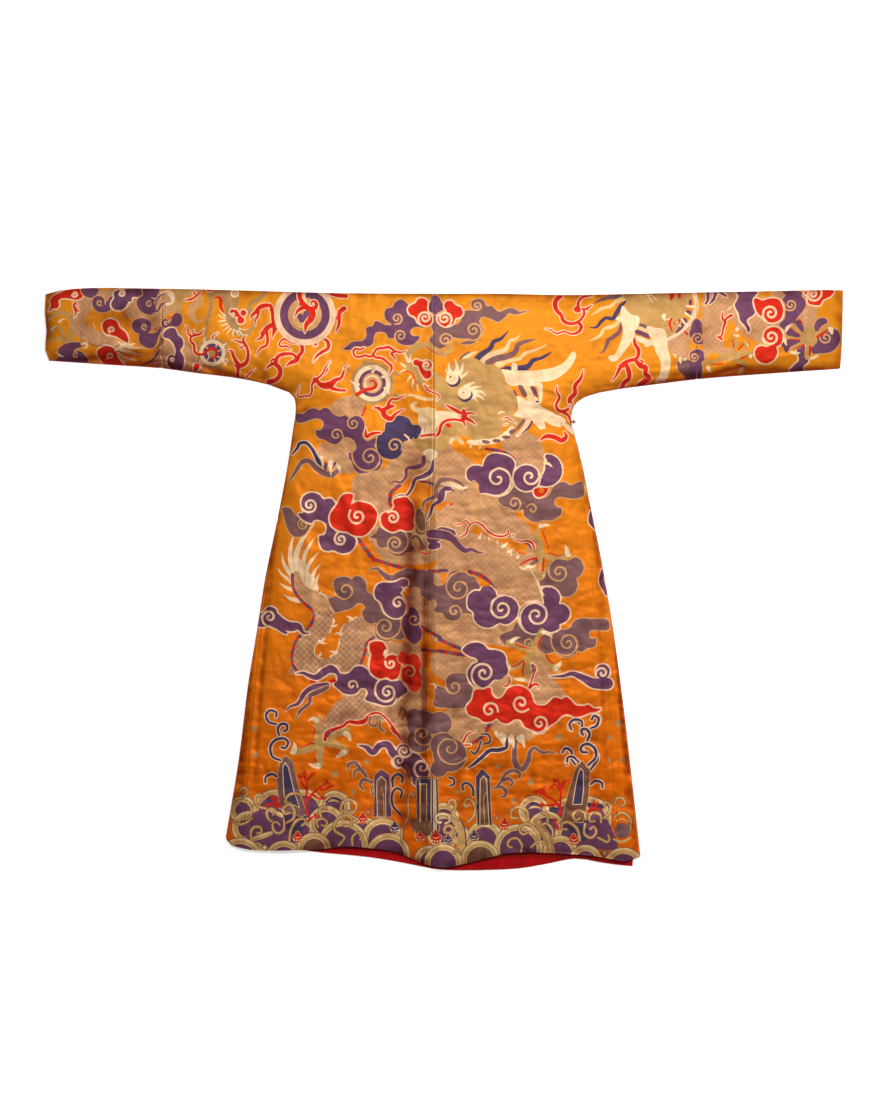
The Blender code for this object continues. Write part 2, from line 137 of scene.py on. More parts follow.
# %% Thread colours
THREADS = {
    "ground": (240, 146, 30),
    "violet": (118, 70, 97),
    "mauve": (134, 92, 90),
    "navy": (78, 62, 92),
    "red": (224, 44, 22),
    "cream": (255, 216, 170),
    "pink": (255, 206, 164),
    "tan": (222, 162, 104),
    "olive": (206, 156, 88),
    "body": (224, 164, 107),
    "scaled": (218, 160, 104),
    "gold": (224, 172, 106),
    "brown": (134, 88, 66),
    "dust": (188, 142, 88),
    "wheat": (244, 200, 140),
    "white": (255, 234, 204),
}


def linear(tone):
    """The linear colour of an 0 to 255 one."""
    def channel(value):
        v = value / 255
        return v / 12.92 if v <= 0.04045 else ((v + 0.055) / 1.055) ** 2.4

    return [channel(v) for v in tone] + [1.0]


tone_names = list(THREADS)
tone_values = np.array([linear(THREADS[name]) for name in tone_names])
print(len(tone_names), "tones of thread")

# %% [markdown]
# ## Drawing tools
#
# The weaver's chart is a plan of coloured shapes that lie over each other. Every shape is one of
# four kinds: a stroke that follows a smooth path and swells or tapers, a disc, a blob with a smooth
# edge, or a facet with straight sides. Each can be drawn a little larger, which gives the outline
# that most motifs have. Sizes are in squares of the chart, counted from the left and from the top.

# %% Strokes, discs, blobs and facets
STEP = 1.25
CAP_POINTS = 6
FEWEST_DISC_POINTS = 10
SHARPEST_MITRE = 0.4
OUTLINES = {"pink": 1.6, "cream": 1.4, "tan": 1.15, "gold": 1.3, "wheat": 1.3, "body": 1.0}
FLAME_OUTLINE = 1.0

Stroke = namedtuple("Stroke", "path widths")
Disc = namedtuple("Disc", "x y r")
Blob = namedtuple("Blob", "points")
Facet = namedtuple("Facet", "points")
painted = []
latest = []


def curve(points, closed=False, step=STEP):
    """A smooth curve through the points, as an array of points about a step apart."""
    p = np.array(points, float)
    if closed:
        ends = np.vstack([p[-1:], p, p[:2]])
    else:
        ends = np.vstack([2 * p[:1] - p[1:2], p, 2 * p[-1:] - p[-2:-1]])
    runs = []
    for a, b, c, d in zip(ends, ends[1:], ends[2:], ends[3:]):
        count = max(1, round(float(np.linalg.norm(c - b)) / step))
        t = np.arange(count)[:, None] / count
        runs.append(
            b + 0.5 * t * ((c - a) + t * ((2 * a - 5 * b + 4 * c - d) + t * (3 * (b - c) + d - a)))
        )
    if not closed:
        runs.append(p[-1:])
    return np.vstack(runs)


def across(line):
    """The unit direction across a line at each of its points."""
    along = np.gradient(line, axis=0)
    along /= np.maximum(np.linalg.norm(along, axis=1, keepdims=True), 1e-9)
    return np.column_stack([-along[:, 1], along[:, 0]])


def ribbon(path, widths, grow=0.0):
    """A closed outline round a path whose width goes through the given widths."""
    line = curve(path)
    gone = np.concatenate([[0], np.cumsum(np.linalg.norm(np.diff(line, axis=0), axis=1))])
    half = np.interp(gone / gone[-1], np.linspace(0, 1, len(widths)), widths) / 2 + grow
    side = across(line) * half[:, None]
    caps = []
    for end, sign in ((-1, 1), (0, -1)):
        turn = np.linspace(0, math.pi, CAP_POINTS)[1:-1]
        ahead = np.array([side[end, 1], -side[end, 0]]) * sign
        caps.append(
            line[end] + sign * np.cos(turn)[:, None] * side[end] + np.sin(turn)[:, None] * ahead
        )
    return np.vstack([line + side, caps[0], (line - side)[::-1], caps[1]])


def turning(outline):
    """1 if an outline runs one way round, and -1 if it runs the other."""
    x, y = outline.T
    return math.copysign(1, float(np.sum(x * np.roll(y, -1) - y * np.roll(x, -1))))


def facet_outline(points, grow):
    """The outline of a shape that keeps its straight sides and sharp corners."""
    ahead = np.roll(points, -1, axis=0) - points
    ahead /= np.linalg.norm(ahead, axis=1, keepdims=True)
    out = np.column_stack([ahead[:, 1], -ahead[:, 0]]) * turning(points)
    behind = np.roll(out, 1, axis=0)
    bend = 1 + np.sum(out * behind, axis=1, keepdims=True)
    return points + (out + behind) / bend.clip(SHARPEST_MITRE) * grow


def shape_outline(shape, grow=0.0):
    """The closed outline of a shape, drawn larger by grow."""
    if isinstance(shape, Stroke):
        return ribbon(shape.path, shape.widths, grow)
    if isinstance(shape, Facet):
        return facet_outline(np.array(shape.points, float), grow)
    if isinstance(shape, Disc):
        count = max(FEWEST_DISC_POINTS, round(2 * math.pi * (shape.r + grow) / STEP))
        turn = np.arange(count) * 2 * math.pi / count
        return np.column_stack([shape.x + (shape.r + grow) * np.cos(turn),
                                shape.y + (shape.r + grow) * np.sin(turn)])
    line = curve(shape.points, closed=True)
    looped = np.vstack([line[-1:], line, line[:1]])
    return line - across(looped)[1:-1] * grow * turning(line)


def paint(tone, *shapes, grow=0.0):
    """Lays shapes of one tone on top of what the chart has so far."""
    for shape in shapes:
        painted.append((tone_names.index(tone), shape_outline(shape, grow)))


def motif(tone, edge, *shapes, outline=None):
    """Shapes that are one motif: a common outline round them all, then their fill.

    A motif of strokes alone, such as a flame, has a thinner outline than a cloud.
    """
    flame = all(isinstance(shape, Stroke) for shape in shapes)
    paint(edge, *shapes, grow=outline or (FLAME_OUTLINE if flame else OUTLINES[edge]))
    paint(tone, *shapes)
    latest[:] = [shape_outline(shape) for shape in shapes]


def is_inside(points, outline):
    """Whether each point is inside an outline."""
    found = np.zeros(len(points), bool)
    x, y = points.T
    for (ax, ay), (bx, by) in zip(outline, np.roll(outline, -1, axis=0)):
        if ay != by:
            crosses = (ay > y) != (by > y)
            found ^= crosses & (x < ax + (y - ay) / (by - ay) * (bx - ax))
    return found


WINDING_POINTS = 9
WINDING_END = 1.2
LEAD_STEP = 16.0
LEAD_STEPS = 15
LEAD_SPREAD = 0.75
LEAD_POWER = 1.3
PALE_LINE = 2.3
FINE_LINE = 1.8
LINE_TIP = 0.85


def spiral(x, y, radius, turns, start, hand):
    """A path that winds in to a centre. start is in degrees, 0 to the right and 90 downwards."""
    share = np.linspace(0, 1, max(WINDING_POINTS - 1, round(turns * WINDING_POINTS)))
    angle = np.radians(start) + hand * share * turns * 2 * math.pi
    r = radius + (WINDING_END - radius) * share
    return list(zip(x + r * np.cos(angle), y + r * np.sin(angle)))


def lead_in(x, y, radius, start, hand):
    """The winding line carried on outwards to the latest motif's edge, or nothing if that is far."""
    turned = np.arange(1, LEAD_STEPS + 1) * LEAD_STEP
    reach = radius * (1 + (turned / 180) ** LEAD_POWER * LEAD_SPREAD)
    angle = np.radians(start - hand * turned)
    ray = np.column_stack([x + reach * np.cos(angle), y + reach * np.sin(angle)])
    covered = np.zeros(len(ray), bool)
    for outline in latest:
        covered |= is_inside(ray, outline)
    outside = np.flatnonzero(~covered)
    return ray[:outside[0] + 1][::-1].tolist() if len(outside) else []


def curl_line(tone, *rows):
    """Thin lines that wind into a cloud's heads. Each row is x, y, radius, turns, start, hand."""
    for x, y, radius, turns, start, hand in rows:
        path = lead_in(x, y, radius, start, hand) + spiral(x, y, radius, turns, start, hand)
        full = PALE_LINE if tone in ("pink", "cream") else FINE_LINE
        paint(tone, Stroke(path, [full * LINE_TIP, full, full, full]))


def tell(part):
    """Prints how far the chart has come."""
    print(part, "charted, with", len(painted), "shapes so far")


print("drawing tools ready")

# %% [markdown]
# ## The dragons' bodies
#
# From here to the hem each call lays down some shapes: paint in one tone, and motif in one tone with
# an outline in another. What comes later lies on top. The great dragon coils down the middle of the
# back, with its tail at the wearer's left. Its body goes first, and the clouds cover parts of it.

# %% Bodies
paint("body",
    Blob([(331.1, 405.5), (340.5, 398.2), (355.3, 395), (364.7, 401.3), (363.7, 408.7), (361.6, 416.1),
        (348.9, 416.1), (337.4, 415), (332.1, 410.8)]),
    Blob([(320.5, 445.5), (330, 442.4), (344.7, 437.1), (353.2, 440.3), (357.4, 447.6), (353.2, 453.9),
        (355.3, 470.8), (340.5, 472.9), (334.2, 463.4), (321.6, 459.2), (317.9, 451.8)]))
paint("body",
    Blob([(353.2, 479.2), (363.7, 468.7), (382.6, 468.7), (395.3, 453.9), (401.6, 440.3),
        (419.5, 439.2), (426.8, 441.3), (417.4, 453.9), (422.6, 460.3), (416.3, 475), (399.5, 483.4),
        (391.1, 491.8), (391.1, 504.5), (391.1, 515), (378.4, 519.2), (363.7, 504.5), (353.2, 501.3),
        (351.6, 489.7)]))
paint("body",
    Blob([(401.6, 440.3), (419.5, 437.1), (434.2, 426.6), (437.4, 421.3), (450, 416.1), (450, 479.2),
        (441.6, 482.4), (430, 475), (432.1, 458.2), (418.4, 453.9), (405.8, 449.7)]),
    Blob([(370, 529.7), (414.2, 511.8), (426.8, 511.8), (434.2, 525.5), (437.4, 559.2), (391.1, 563.4),
        (374.2, 546.6)]))
paint("body",
    Blob([(440, 460), (461.7, 466.5), (481.2, 481.7), (498.5, 496.9), (511.6, 509.9), (524.6, 520.7),
        (532.2, 529.4), (537.6, 542.4), (537.6, 557.6), (535.4, 564.1), (539.7, 577.1), (540.8, 599.9),
        (485.5, 599.9), (472.5, 570.6), (440, 569.5), (433.5, 514.2), (433.5, 470.8)]))
paint("body",
    Blob([(501.4, 448.4), (503.5, 437.1), (519.8, 432), (532, 434.1), (540.2, 442.2), (544.3, 452.4),
        (543.3, 462.7), (540.2, 472.9), (501.4, 472.9), (495.3, 455.5)]),
    Blob([(423.9, 421.8), (436.1, 432), (445.3, 440.2), (453.5, 449.4), (463.7, 455.5), (473.9, 464.7),
        (472.9, 483.1), (423.9, 483.1)]))
paint("scaled",
    Blob([(293.7, 573.6), (298.5, 573.6), (302.3, 582.2), (307.1, 590.8), (318.6, 593.7),
        (326.2, 596.5), (331, 606.1), (334.3, 613.7), (333.4, 621.4), (331, 631), (324.3, 638.6),
        (316.7, 643.4), (314.3, 652), (316.7, 656.8), (322.4, 659.2), (330, 656.8), (336.7, 651),
        (339.1, 643.4), (341, 632.9), (343.4, 625.7), (348.2, 620.9), (357.8, 616.6), (368.3, 615.7),
        (379.8, 625.2), (379.8, 638.6), (370.2, 640.5), (365, 644.3), (364.5, 653), (361.6, 663.5),
        (353, 675), (293.7, 675), (292.3, 663.5), (291.3, 653.9), (293.7, 644.3), (299.4, 634.8),
        (307.1, 628.1), (311.9, 624.3), (312.8, 615.7), (310.9, 608), (301.3, 600.8), (292.7, 587),
        (292.3, 577.4)]))
paint("body",
    Blob([(362.7, 616.9), (376, 623), (380.9, 637.5), (401.5, 642.4), (413.6, 637.5), (419.6, 644.8),
        (423.3, 666.6), (419.6, 717.5), (380.9, 721.2), (359.1, 705.4), (354.2, 688.4), (366.3, 664.2),
        (366.3, 647.2), (359.1, 637.5)]),
    Blob([(417.2, 584.2), (429.3, 572.1), (440, 567.3), (440, 635.1), (424.5, 627.9), (407.5, 625.4),
        (400.2, 606), (407.5, 596.4)]))
paint("scaled",
    Blob([(334.8, 686), (342.1, 695.7), (337.2, 706.6), (328.8, 713.9), (325.1, 721.2), (317.9, 729.6),
        (322.7, 732.1), (342.1, 724.8), (365.1, 722.4), (385.7, 718.7), (395.4, 703), (371.2, 701.8),
        (365.1, 694.5), (354.2, 692.1)]))
paint("body",
    Blob([(386.8, 700), (417, 700), (415.6, 708.2), (408.7, 713.7), (412.9, 748), (417, 757.6),
        (401.9, 743.9), (392.3, 731.5), (382.7, 716.5), (369, 712.3), (363.5, 705.5)]))
paint("scaled",
    Blob([(340.2, 700), (370.3, 700), (375.8, 709.6), (362.1, 715.1), (345.7, 722.6), (334.7, 728.1),
        (326.5, 737), (321, 731.5), (323, 721.9), (329.2, 712.3)]))
paint("body",
    Blob([(432.3, 592.3), (465.5, 592.3), (478.3, 623), (501.2, 623), (511.4, 621.7), (516.5, 625.5),
        (508.9, 642.1), (511.4, 647.2), (488.5, 644.6), (473.2, 644.6), (463, 651), (440, 642.1),
        (432.3, 638.3)]),
    Blob([(432.3, 653.6), (445.1, 651), (463, 654.8), (480.8, 659.9), (473.2, 671.4), (463, 681.6),
        (447.7, 681.6), (432.3, 671.4)]),
    Blob([(447.7, 709.7), (463, 704.6), (470.6, 705.9), (493.6, 722.4), (488.5, 725), (482.1, 737.8),
        (471.9, 741.6), (455.3, 744.1), (440, 735.2), (442.6, 714.8)]))
motif("olive", "body",
    Stroke([(509.5, 679.1), (510.2, 671.4), (503.8, 676.5), (496.1, 681.6)], [6.4, 7.7, 7.7, 5.1]),
    Blob([(496.1, 681.6), (503.8, 676.5), (511.4, 679.1), (503.8, 696.9), (494.8, 699.5),
        (491, 689.3)]))
motif("body", "body",
    Blob([(542, 654.8), (548.4, 671.4), (554.8, 681.6), (561.2, 689.3), (562.4, 696.9), (542, 705.9),
        (533.1, 702), (529.3, 686.7), (529.3, 671.4), (531.8, 661.2)]),
    Blob([(494.8, 722.4), (516.5, 714.8), (529.3, 722.4), (534.4, 733.9), (529.3, 739), (516.5, 737.8),
        (506.3, 736.5), (494.8, 732.7)]))
tell("bodies")

# %% [markdown]
# ## Fins, bellies and tails
#
# A fin of cream spikes stands along each back, and a belly edge of red and violet beads runs along
# the inside of each coil. The beads are short lengths on one path, so a function strings them. So is
# a hook of spray, a thin dark curl with a pale edge, which comes back many times near the hem.

# %% Beads and hooks
BEAD_TONES = ("violet", "violet", "red", "mauve", "mauve", "red")
BEAD_PITCH = 2.9
BEAD_SWELL = 1.25
HOOK_TIP = 0.8


def beads(path, width, tones=BEAD_TONES):
    """A line of short coloured lengths, as the beaded edge of a belly."""
    line = curve(path, step=BEAD_PITCH)
    for k, (a, b) in enumerate(zip(line, line[1:])):
        paint(tones[k % len(tones)], Stroke([a, b], [width * BEAD_SWELL, width * BEAD_SWELL]))


def hook(path, width=1.9, tone="navy", edge="gold"):
    """A thin dark hook of spray with a pale edge."""
    motif(tone, edge, Stroke(path, [width * HOOK_TIP, width, width, width * HOOK_TIP]))


print("beads and hooks ready")

# %% Fins and beaded bellies
paint("cream",
    Blob([(292.3, 571.7), (296.6, 561.1), (301.3, 560.2), (305.2, 569.7), (310, 573.6), (316.7, 581.2),
        (318.1, 591.7), (306.1, 590.8), (293.7, 587), (292.3, 579.3)]),
    Stroke([(297.5, 579.3), (295.8, 558.3), (300.2, 543.9), (306.1, 533.9), (314.9, 523.6)],
        [5, 5.9, 5.2, 3.6, 0.4]),
    Stroke([(302.8, 583.1), (303.5, 562.1), (307.1, 549.7), (315.7, 536.5)], [4.2, 4.6, 3.6, 0.3]),
    Stroke([(306.1, 587), (307.1, 569.7), (311.4, 560.7), (319.7, 551.4)], [4, 4.4, 3.3, 0.3]),
    Stroke([(310, 588.9), (312.3, 577.4), (315.7, 569.7), (320.7, 563.8)], [3.6, 3.6, 2.7, 0.3]),
    Stroke([(315.7, 591.7), (316.2, 583.1), (317.8, 577.4), (320.5, 572.9)], [4, 3.4, 2.3, 0.3]),
    Stroke([(293.7, 575.5), (290.6, 562.1), (290.6, 548.7), (293.7, 534.5)], [3.8, 4.6, 4, 0.3]),
    Stroke([(293.2, 577.4), (286.5, 568.3), (283.2, 561.1), (282, 552.3)], [4, 4.2, 2.7, 0.3]),
    Stroke([(292.7, 583.1), (286.5, 577.9), (281.3, 573.6), (277.6, 567.8)], [4, 3.4, 2.3, 0.3]),
    Stroke([(293.7, 589.8), (288.9, 588.4), (283.7, 586), (279.5, 582.4)], [4, 3.6, 2.5, 0.3]),
    Stroke([(301.8, 601.5), (295.1, 599.9), (289.4, 598), (283.9, 594.4)], [3.1, 4.4, 3.4, 0.3]))
paint("tan",
    Stroke([(299.9, 579.3), (299.2, 561.1), (303.3, 547.7), (310, 534.3)], [0.3, 0.7, 0.6, 0.3]),
    Stroke([(304.4, 585), (305.2, 567.8), (308.5, 556.3)], [0.3, 0.6, 0.3]),
    Stroke([(308.5, 588.9), (310, 577.4), (312.8, 567.8)], [0.3, 0.6, 0.3]),
    Stroke([(313.3, 590.8), (314.3, 582.2), (316.7, 575.5)], [0.3, 0.6, 0.3]),
    Stroke([(295.1, 573.6), (293.2, 561.1), (292.7, 548.7)], [0.3, 0.6, 0.3]),
    Stroke([(292.7, 575.5), (288.9, 568.8)], [0.3, 0.5]),
    Stroke([(292.7, 583.1), (288, 580.3)], [0.3, 0.5]))
paint("body",
    Stroke([(296.1, 573.6), (298.5, 583.1), (303.3, 591.7), (312.8, 597.5), (322.4, 602.3)],
        [5.7, 9.6, 12.4, 15.3, 18.2]))
paint("cream",
    Stroke([(318.6, 593.2), (324.3, 595.1), (328.1, 599.4), (331, 606.1), (333.9, 612.8)],
        [0.6, 1.5, 1, 1.5, 1.1]),
    Stroke([(319.5, 593.7), (321.2, 592.7), (321.4, 590.4)], [2.5, 1.5, 0.3]),
    Stroke([(322.4, 594.6), (326.2, 596.5)], [1.3, 0.8]),
    Stroke([(329.3, 602.3), (331.5, 607), (333.4, 611.8)], [1.9, 2.5, 1.5]),
    Stroke([(332, 608.5), (335, 607.2), (337.2, 603.2)], [3.4, 2.5, 0.3]),
    Stroke([(333.1, 618.5), (334.1, 621.4), (332.5, 624.3)], [1, 1.9, 1.3]),
    Stroke([(332, 626), (334.8, 625.7), (338.2, 624.6)], [2.7, 1.9, 0.3]),
    Stroke([(331.2, 629), (329.3, 633.3)], [1.5, 1]),
    Stroke([(324.3, 637.2), (320.5, 641.5), (315.7, 645.3), (314.3, 652), (316.7, 656.8),
        (322.4, 658.7)], [0.8, 1.1, 1, 1.3, 1.5, 1.3]),
    Stroke([(319.3, 641.3), (322.9, 642.9), (327, 643.4)], [2.9, 2.3, 0.3]),
    Stroke([(322.4, 640.7), (324.8, 638.6), (325.6, 635.9)], [2.1, 1.3, 0.3]),
    Stroke([(318.4, 656.6), (320.5, 654.4), (321.2, 651.5)], [2.7, 1.9, 0.3]),
    Stroke([(330, 656.8), (335.8, 652.5), (338.7, 645.3), (339.6, 639.6)], [1.3, 1.5, 1.1, 1.3]),
    Stroke([(336, 652.8), (332.9, 651.8), (329.3, 650.5)], [3.4, 2.5, 0.3]),
    Stroke([(340.6, 634.8), (341.3, 629), (344.4, 624.3)], [1.5, 1.1, 1.3]),
    Stroke([(340.9, 634), (337.7, 633.1), (334.1, 634.4)], [3.3, 2.3, 0.3]),
    Stroke([(349.2, 620.9), (356.8, 616.8)], [1.1, 1.3]),
    Stroke([(352.2, 619.7), (349.9, 617.6), (346.1, 615.7)], [3.1, 2.1, 0.3]))
beads(
    [(292.4, 574.5), (293.6, 589.1), (302.1, 601.2), (311.8, 609.7), (313.6, 618.2), (308.2, 627.9),
        (297.3, 638.8), (292.4, 652.1), (292.4, 663), (298.5, 673.9)], 2.4)
beads([(373.6, 637.5), (366.3, 643.6), (365.1, 652.1), (360.9, 663)], 2.4)
beads([(376, 560), (395.4, 566.1), (413.6, 570.9), (429.3, 571.5), (440, 570.9)], 2.9)
beads([(418.4, 625.4), (429.3, 631.5), (440, 637.5)], 2.9)
beads([(422.1, 649.7), (431.8, 650.9), (440, 650.9)], 2.7)
beads([(440, 639.5), (450.2, 644.6), (460.4, 648.5)], 3.1)
beads([(440, 651), (455.3, 653.6), (473.2, 656.1), (483.4, 659.9)], 3.1)
beads([(489.7, 723.7), (483.4, 735.2), (470.6, 744.1), (457.9, 746.7)], 2.8)
beads([(440, 570.6), (446.5, 570.6)], 2.6)
beads([(469.3, 571.7), (479, 574.9), (488.8, 581.4), (494.2, 590.1), (498.5, 596.6)], 3.3)
beads([(358.4, 539.2), (365.8, 549.7), (374.2, 560.1)], 3.4)
beads([(399.5, 485.5), (391.1, 492.9), (390, 500.3), (391.1, 505.5)], 3.2)
beads([(420.5, 481.3), (427.9, 482.4), (434.2, 484.5)], 2.1)
beads([(486.1, 448.9), (497.3, 450.4), (506.5, 453.5), (513.7, 458.6), (515.7, 466.7)], 2.4,
    ("violet", "red", "violet", "violet"))
tell("fins and beaded bellies")

# %% [markdown]
# ## The clouds at the neck
#
# Below the shoulder fold, a violet knob stands between two red cloud heads, and a cloud trails to
# each side. A cloud is a few discs and strokes that run together, with a fine line that winds into
# each head.

# %% Neck clouds
motif("violet", "tan",
    Blob([(384.6, 313.1), (386.6, 309.1), (392.6, 307.1), (395.3, 302.4), (400.6, 299.7), (406, 302.4),
        (408.7, 306.4), (408, 310.4), (410, 315.8), (415.4, 319.8), (420.7, 323.8), (423.4, 327.9),
        (418, 326.8), (412.7, 327.9), (410, 331.9), (412.7, 335.9), (419.4, 336.6), (418, 339.9),
        (414, 343.9), (408.7, 345.3), (402, 344.6), (396.6, 341.2), (394.6, 338.6), (388.6, 337.9),
        (385.9, 333.2), (381.9, 331.9), (376.5, 332.5), (373.8, 337.2), (373.2, 342.6), (369.8, 345.9),
        (364.5, 346.6), (355.1, 346.6), (349.7, 350), (342.4, 349), (345, 347.9), (349.7, 343.9),
        (352.4, 341.9), (361.8, 341.2), (365.1, 338.6), (366.5, 334.6), (366.5, 327.9), (373.2, 325.8),
        (375.2, 321.2), (380.5, 322.5), (385.9, 325.2), (391.9, 324.8), (387.9, 321.8),
        (385.6, 318.5)]))
curl_line("tan", (396.9, 318.5, 6, 1.4, 110, -1), (400.6, 335.9, 5.9, 1.35, 170, 1))
motif("mauve", "tan",
    Blob([(434.8, 314.5), (438.1, 315.8), (439.5, 325.2), (448.8, 326.5), (458.2, 323.8),
        (462.2, 317.1), (463.6, 311.8), (468.9, 310.4), (474.3, 310.4), (471.6, 306.4), (472.3, 301.1),
        (478.3, 299.1), (483.7, 301.1), (486.3, 306.4), (491.7, 306.4), (498.4, 311.8), (503.7, 310.4),
        (509.1, 308.4), (514.5, 309.1), (519.8, 311.8), (527.9, 310.4), (519.8, 313.8), (514.5, 314.5),
        (509.1, 313.1), (505.1, 317.1), (498.4, 321.8), (493, 319.8), (486.3, 317.1), (481.7, 317.1),
        (479, 321.2), (480.3, 323.8), (483, 330.5), (479.6, 337.2), (474.3, 342.6), (467.6, 344.6),
        (460.9, 343.3), (466.2, 341.2), (471.6, 338.8), (459.6, 338.6), (452.9, 337.2), (448.8, 342.6),
        (444.8, 346.6), (439.5, 348.6), (434.1, 345.9), (429.4, 340.6), (431.4, 336.6), (434.1, 333.2),
        (431.4, 326.5)]))
curl_line("tan", (477, 305.8, 4.8, 1.2, 110, -1), (473.6, 330.1, 7, 1.3, 320, -1),
    (445.4, 339.9, 6.7, 1.3, 320, -1))
motif("violet", "tan",
    Blob([(434.1, 295.7), (437.5, 296.4), (440.1, 299.1), (441.5, 302.4), (444.2, 306.4),
        (442.1, 310.4), (438.1, 312.5), (435.4, 315.1), (432.8, 313.1), (428.1, 310.4), (427.1, 305.8),
        (430.8, 301.7), (431.4, 297.7)]))
motif("red", "pink",
    Blob([(408, 309.1), (411.3, 305.1), (415.4, 303.1), (418, 299.1), (422.7, 298.4), (427.4, 301.1),
        (427.4, 305.1), (427.4, 311.1), (431.4, 315.8), (432.1, 321.2), (428.7, 325.2), (423.4, 325.2),
        (418, 322.5), (415.4, 317.1), (410, 314.5)]))
curl_line("pink", (425, 317.8, 5.9, 1.3, 220, 1))
motif("red", "pink",
    Blob([(446.2, 301.7), (451.5, 301.1), (455.5, 305.1), (460.9, 307.8), (462.9, 313.1),
        (460.2, 317.1), (455.5, 318.5), (452.9, 323.8), (446.2, 326.5), (440.8, 324.5), (437.5, 319.8),
        (438.8, 315.8), (445.5, 313.8), (446.2, 310.4), (444.2, 306.4)]))
curl_line("pink", (444.6, 318.5, 6.2, 1.3, 320, -1))
print(len(painted), "shapes on the chart")
tell("neck clouds")

# %% [markdown]
# ## The great head
#
# The dragon's head looks to the wearer's left, with its mane and horns behind it. It is built as an
# embroiderer would: the olive face, the pale parts round it, and then eyes, brows and whiskers.

# %% The great head
paint("mauve", Stroke([(458.8, 360.4), (462.9, 356.3), (469, 353.8)], [0.6, 3.5, 4.5]))
paint("wheat", Stroke([(464.9, 358.4), (471, 354.3), (478.2, 351.2)], [4.1, 3.5, 0.8]))
paint("navy",
    Stroke([(477.1, 358.9), (483.3, 353.3), (490.4, 348.2), (493.5, 342), (500.6, 339), (504.7, 334.9),
        (508.3, 331.3)], [6.5, 5.9, 4.7, 4.7, 4.1, 2.7, 0.6]))
paint("wheat",
    Stroke([(482.4, 361.6), (490.4, 355.3), (500.6, 351.7), (506.7, 348.2), (509.8, 341),
        (514.9, 339.5), (520.5, 334.9)], [6.1, 5.7, 5.3, 4.7, 3.9, 2.9, 0.6]))
paint("mauve",
    Stroke([(487.9, 362.7), (497.6, 358.4), (507.8, 356.3), (514.9, 352.2), (518, 345.1), (524.1, 342),
        (535.8, 339.2)], [6.1, 6.5, 5.9, 5.7, 4.7, 3.7, 0.6]))
paint("wheat",
    Stroke([(497.6, 365), (509.8, 360.9), (520, 358.4), (525.1, 353.3), (534.3, 350.2), (542.4, 347.1),
        (547, 344.1)], [6.1, 3.7, 3.5, 3.5, 3.1, 2.2, 0.6]))
paint("navy",
    Stroke([(517.4, 368.1), (527.1, 367), (533.3, 360.4), (540.4, 358.4), (546.5, 355.3),
        (551.8, 352)], [4.7, 5.9, 4.7, 3.5, 3.1, 0.6]),
    Stroke([(500.6, 369.1), (506.7, 367.8), (512.3, 368.6)], [0.8, 3.5, 3.7]))
paint("cream",
    Blob([(501.6, 369.6), (509.8, 370.6), (522, 370.6), (534.3, 370.6), (548.6, 368.6), (560.8, 364.5),
        (566.9, 359.4), (572, 352), (575.1, 352.4), (575.8, 357.3), (571, 366.5), (562.9, 374.7),
        (552.7, 380.3), (542.4, 381.8), (533.3, 382.9), (541.9, 383.9), (541.9, 401.2), (539.9, 405.3),
        (550.6, 411.4), (565.4, 419.6), (561.8, 426.7), (552.7, 425.7), (544.5, 421.6), (545.5, 427.8),
        (540.4, 429.3), (535.3, 424.7), (530.2, 419.6), (522, 418.1), (513.9, 415.5), (518, 409.4),
        (516.9, 401.2), (513.9, 396.1), (522, 397.1), (528.2, 401.2), (532.2, 397.1), (536.3, 397.1),
        (538.9, 401.2), (538.4, 391), (535.3, 385.9), (527.1, 386.9), (518, 385.9), (511.8, 385.9),
        (505.7, 381.8), (504.7, 376.7)]),
    Blob([(511.8, 371.1), (512.3, 363), (516.7, 364.5), (517.1, 371.1)]))
paint("wheat", Blob([(523.1, 386.7), (529.7, 387.1), (533.3, 397.1), (528.2, 400.4)]))
paint("violet", Blob([(513.4, 389.5), (514.9, 391), (517.4, 395.6), (513.9, 396.3)]),
    Blob([(530, 386.9), (535.3, 388), (537.9, 397.1), (534.8, 395.9)]))
paint("mauve", Blob([(518, 386.1), (522.6, 386.1), (527.3, 395.9), (523.1, 396.3)]))
paint("wheat",
    Stroke([(507.8, 378.3), (527.1, 377.8), (547.6, 374.2), (562.9, 366.5), (572, 357.9)],
        [0.4, 0.6, 0.6, 0.6, 0.3]),
    Stroke([(522, 410.9), (537.3, 411.4), (555.7, 419.1)], [0.4, 0.6, 0.3]),
    Stroke([(520.5, 400.2), (521, 410.4)], [0.5, 0.5]),
    Stroke([(511.8, 372.7), (512.9, 383.9)], [0.5, 0.4]),
    Stroke([(539.4, 405.3), (533.3, 411.4), (536.3, 423.7)], [0.4, 0.5, 0.4]))
paint("navy", Stroke([(536.3, 401.5), (538.4, 401.8)], [1.6, 1.4]))
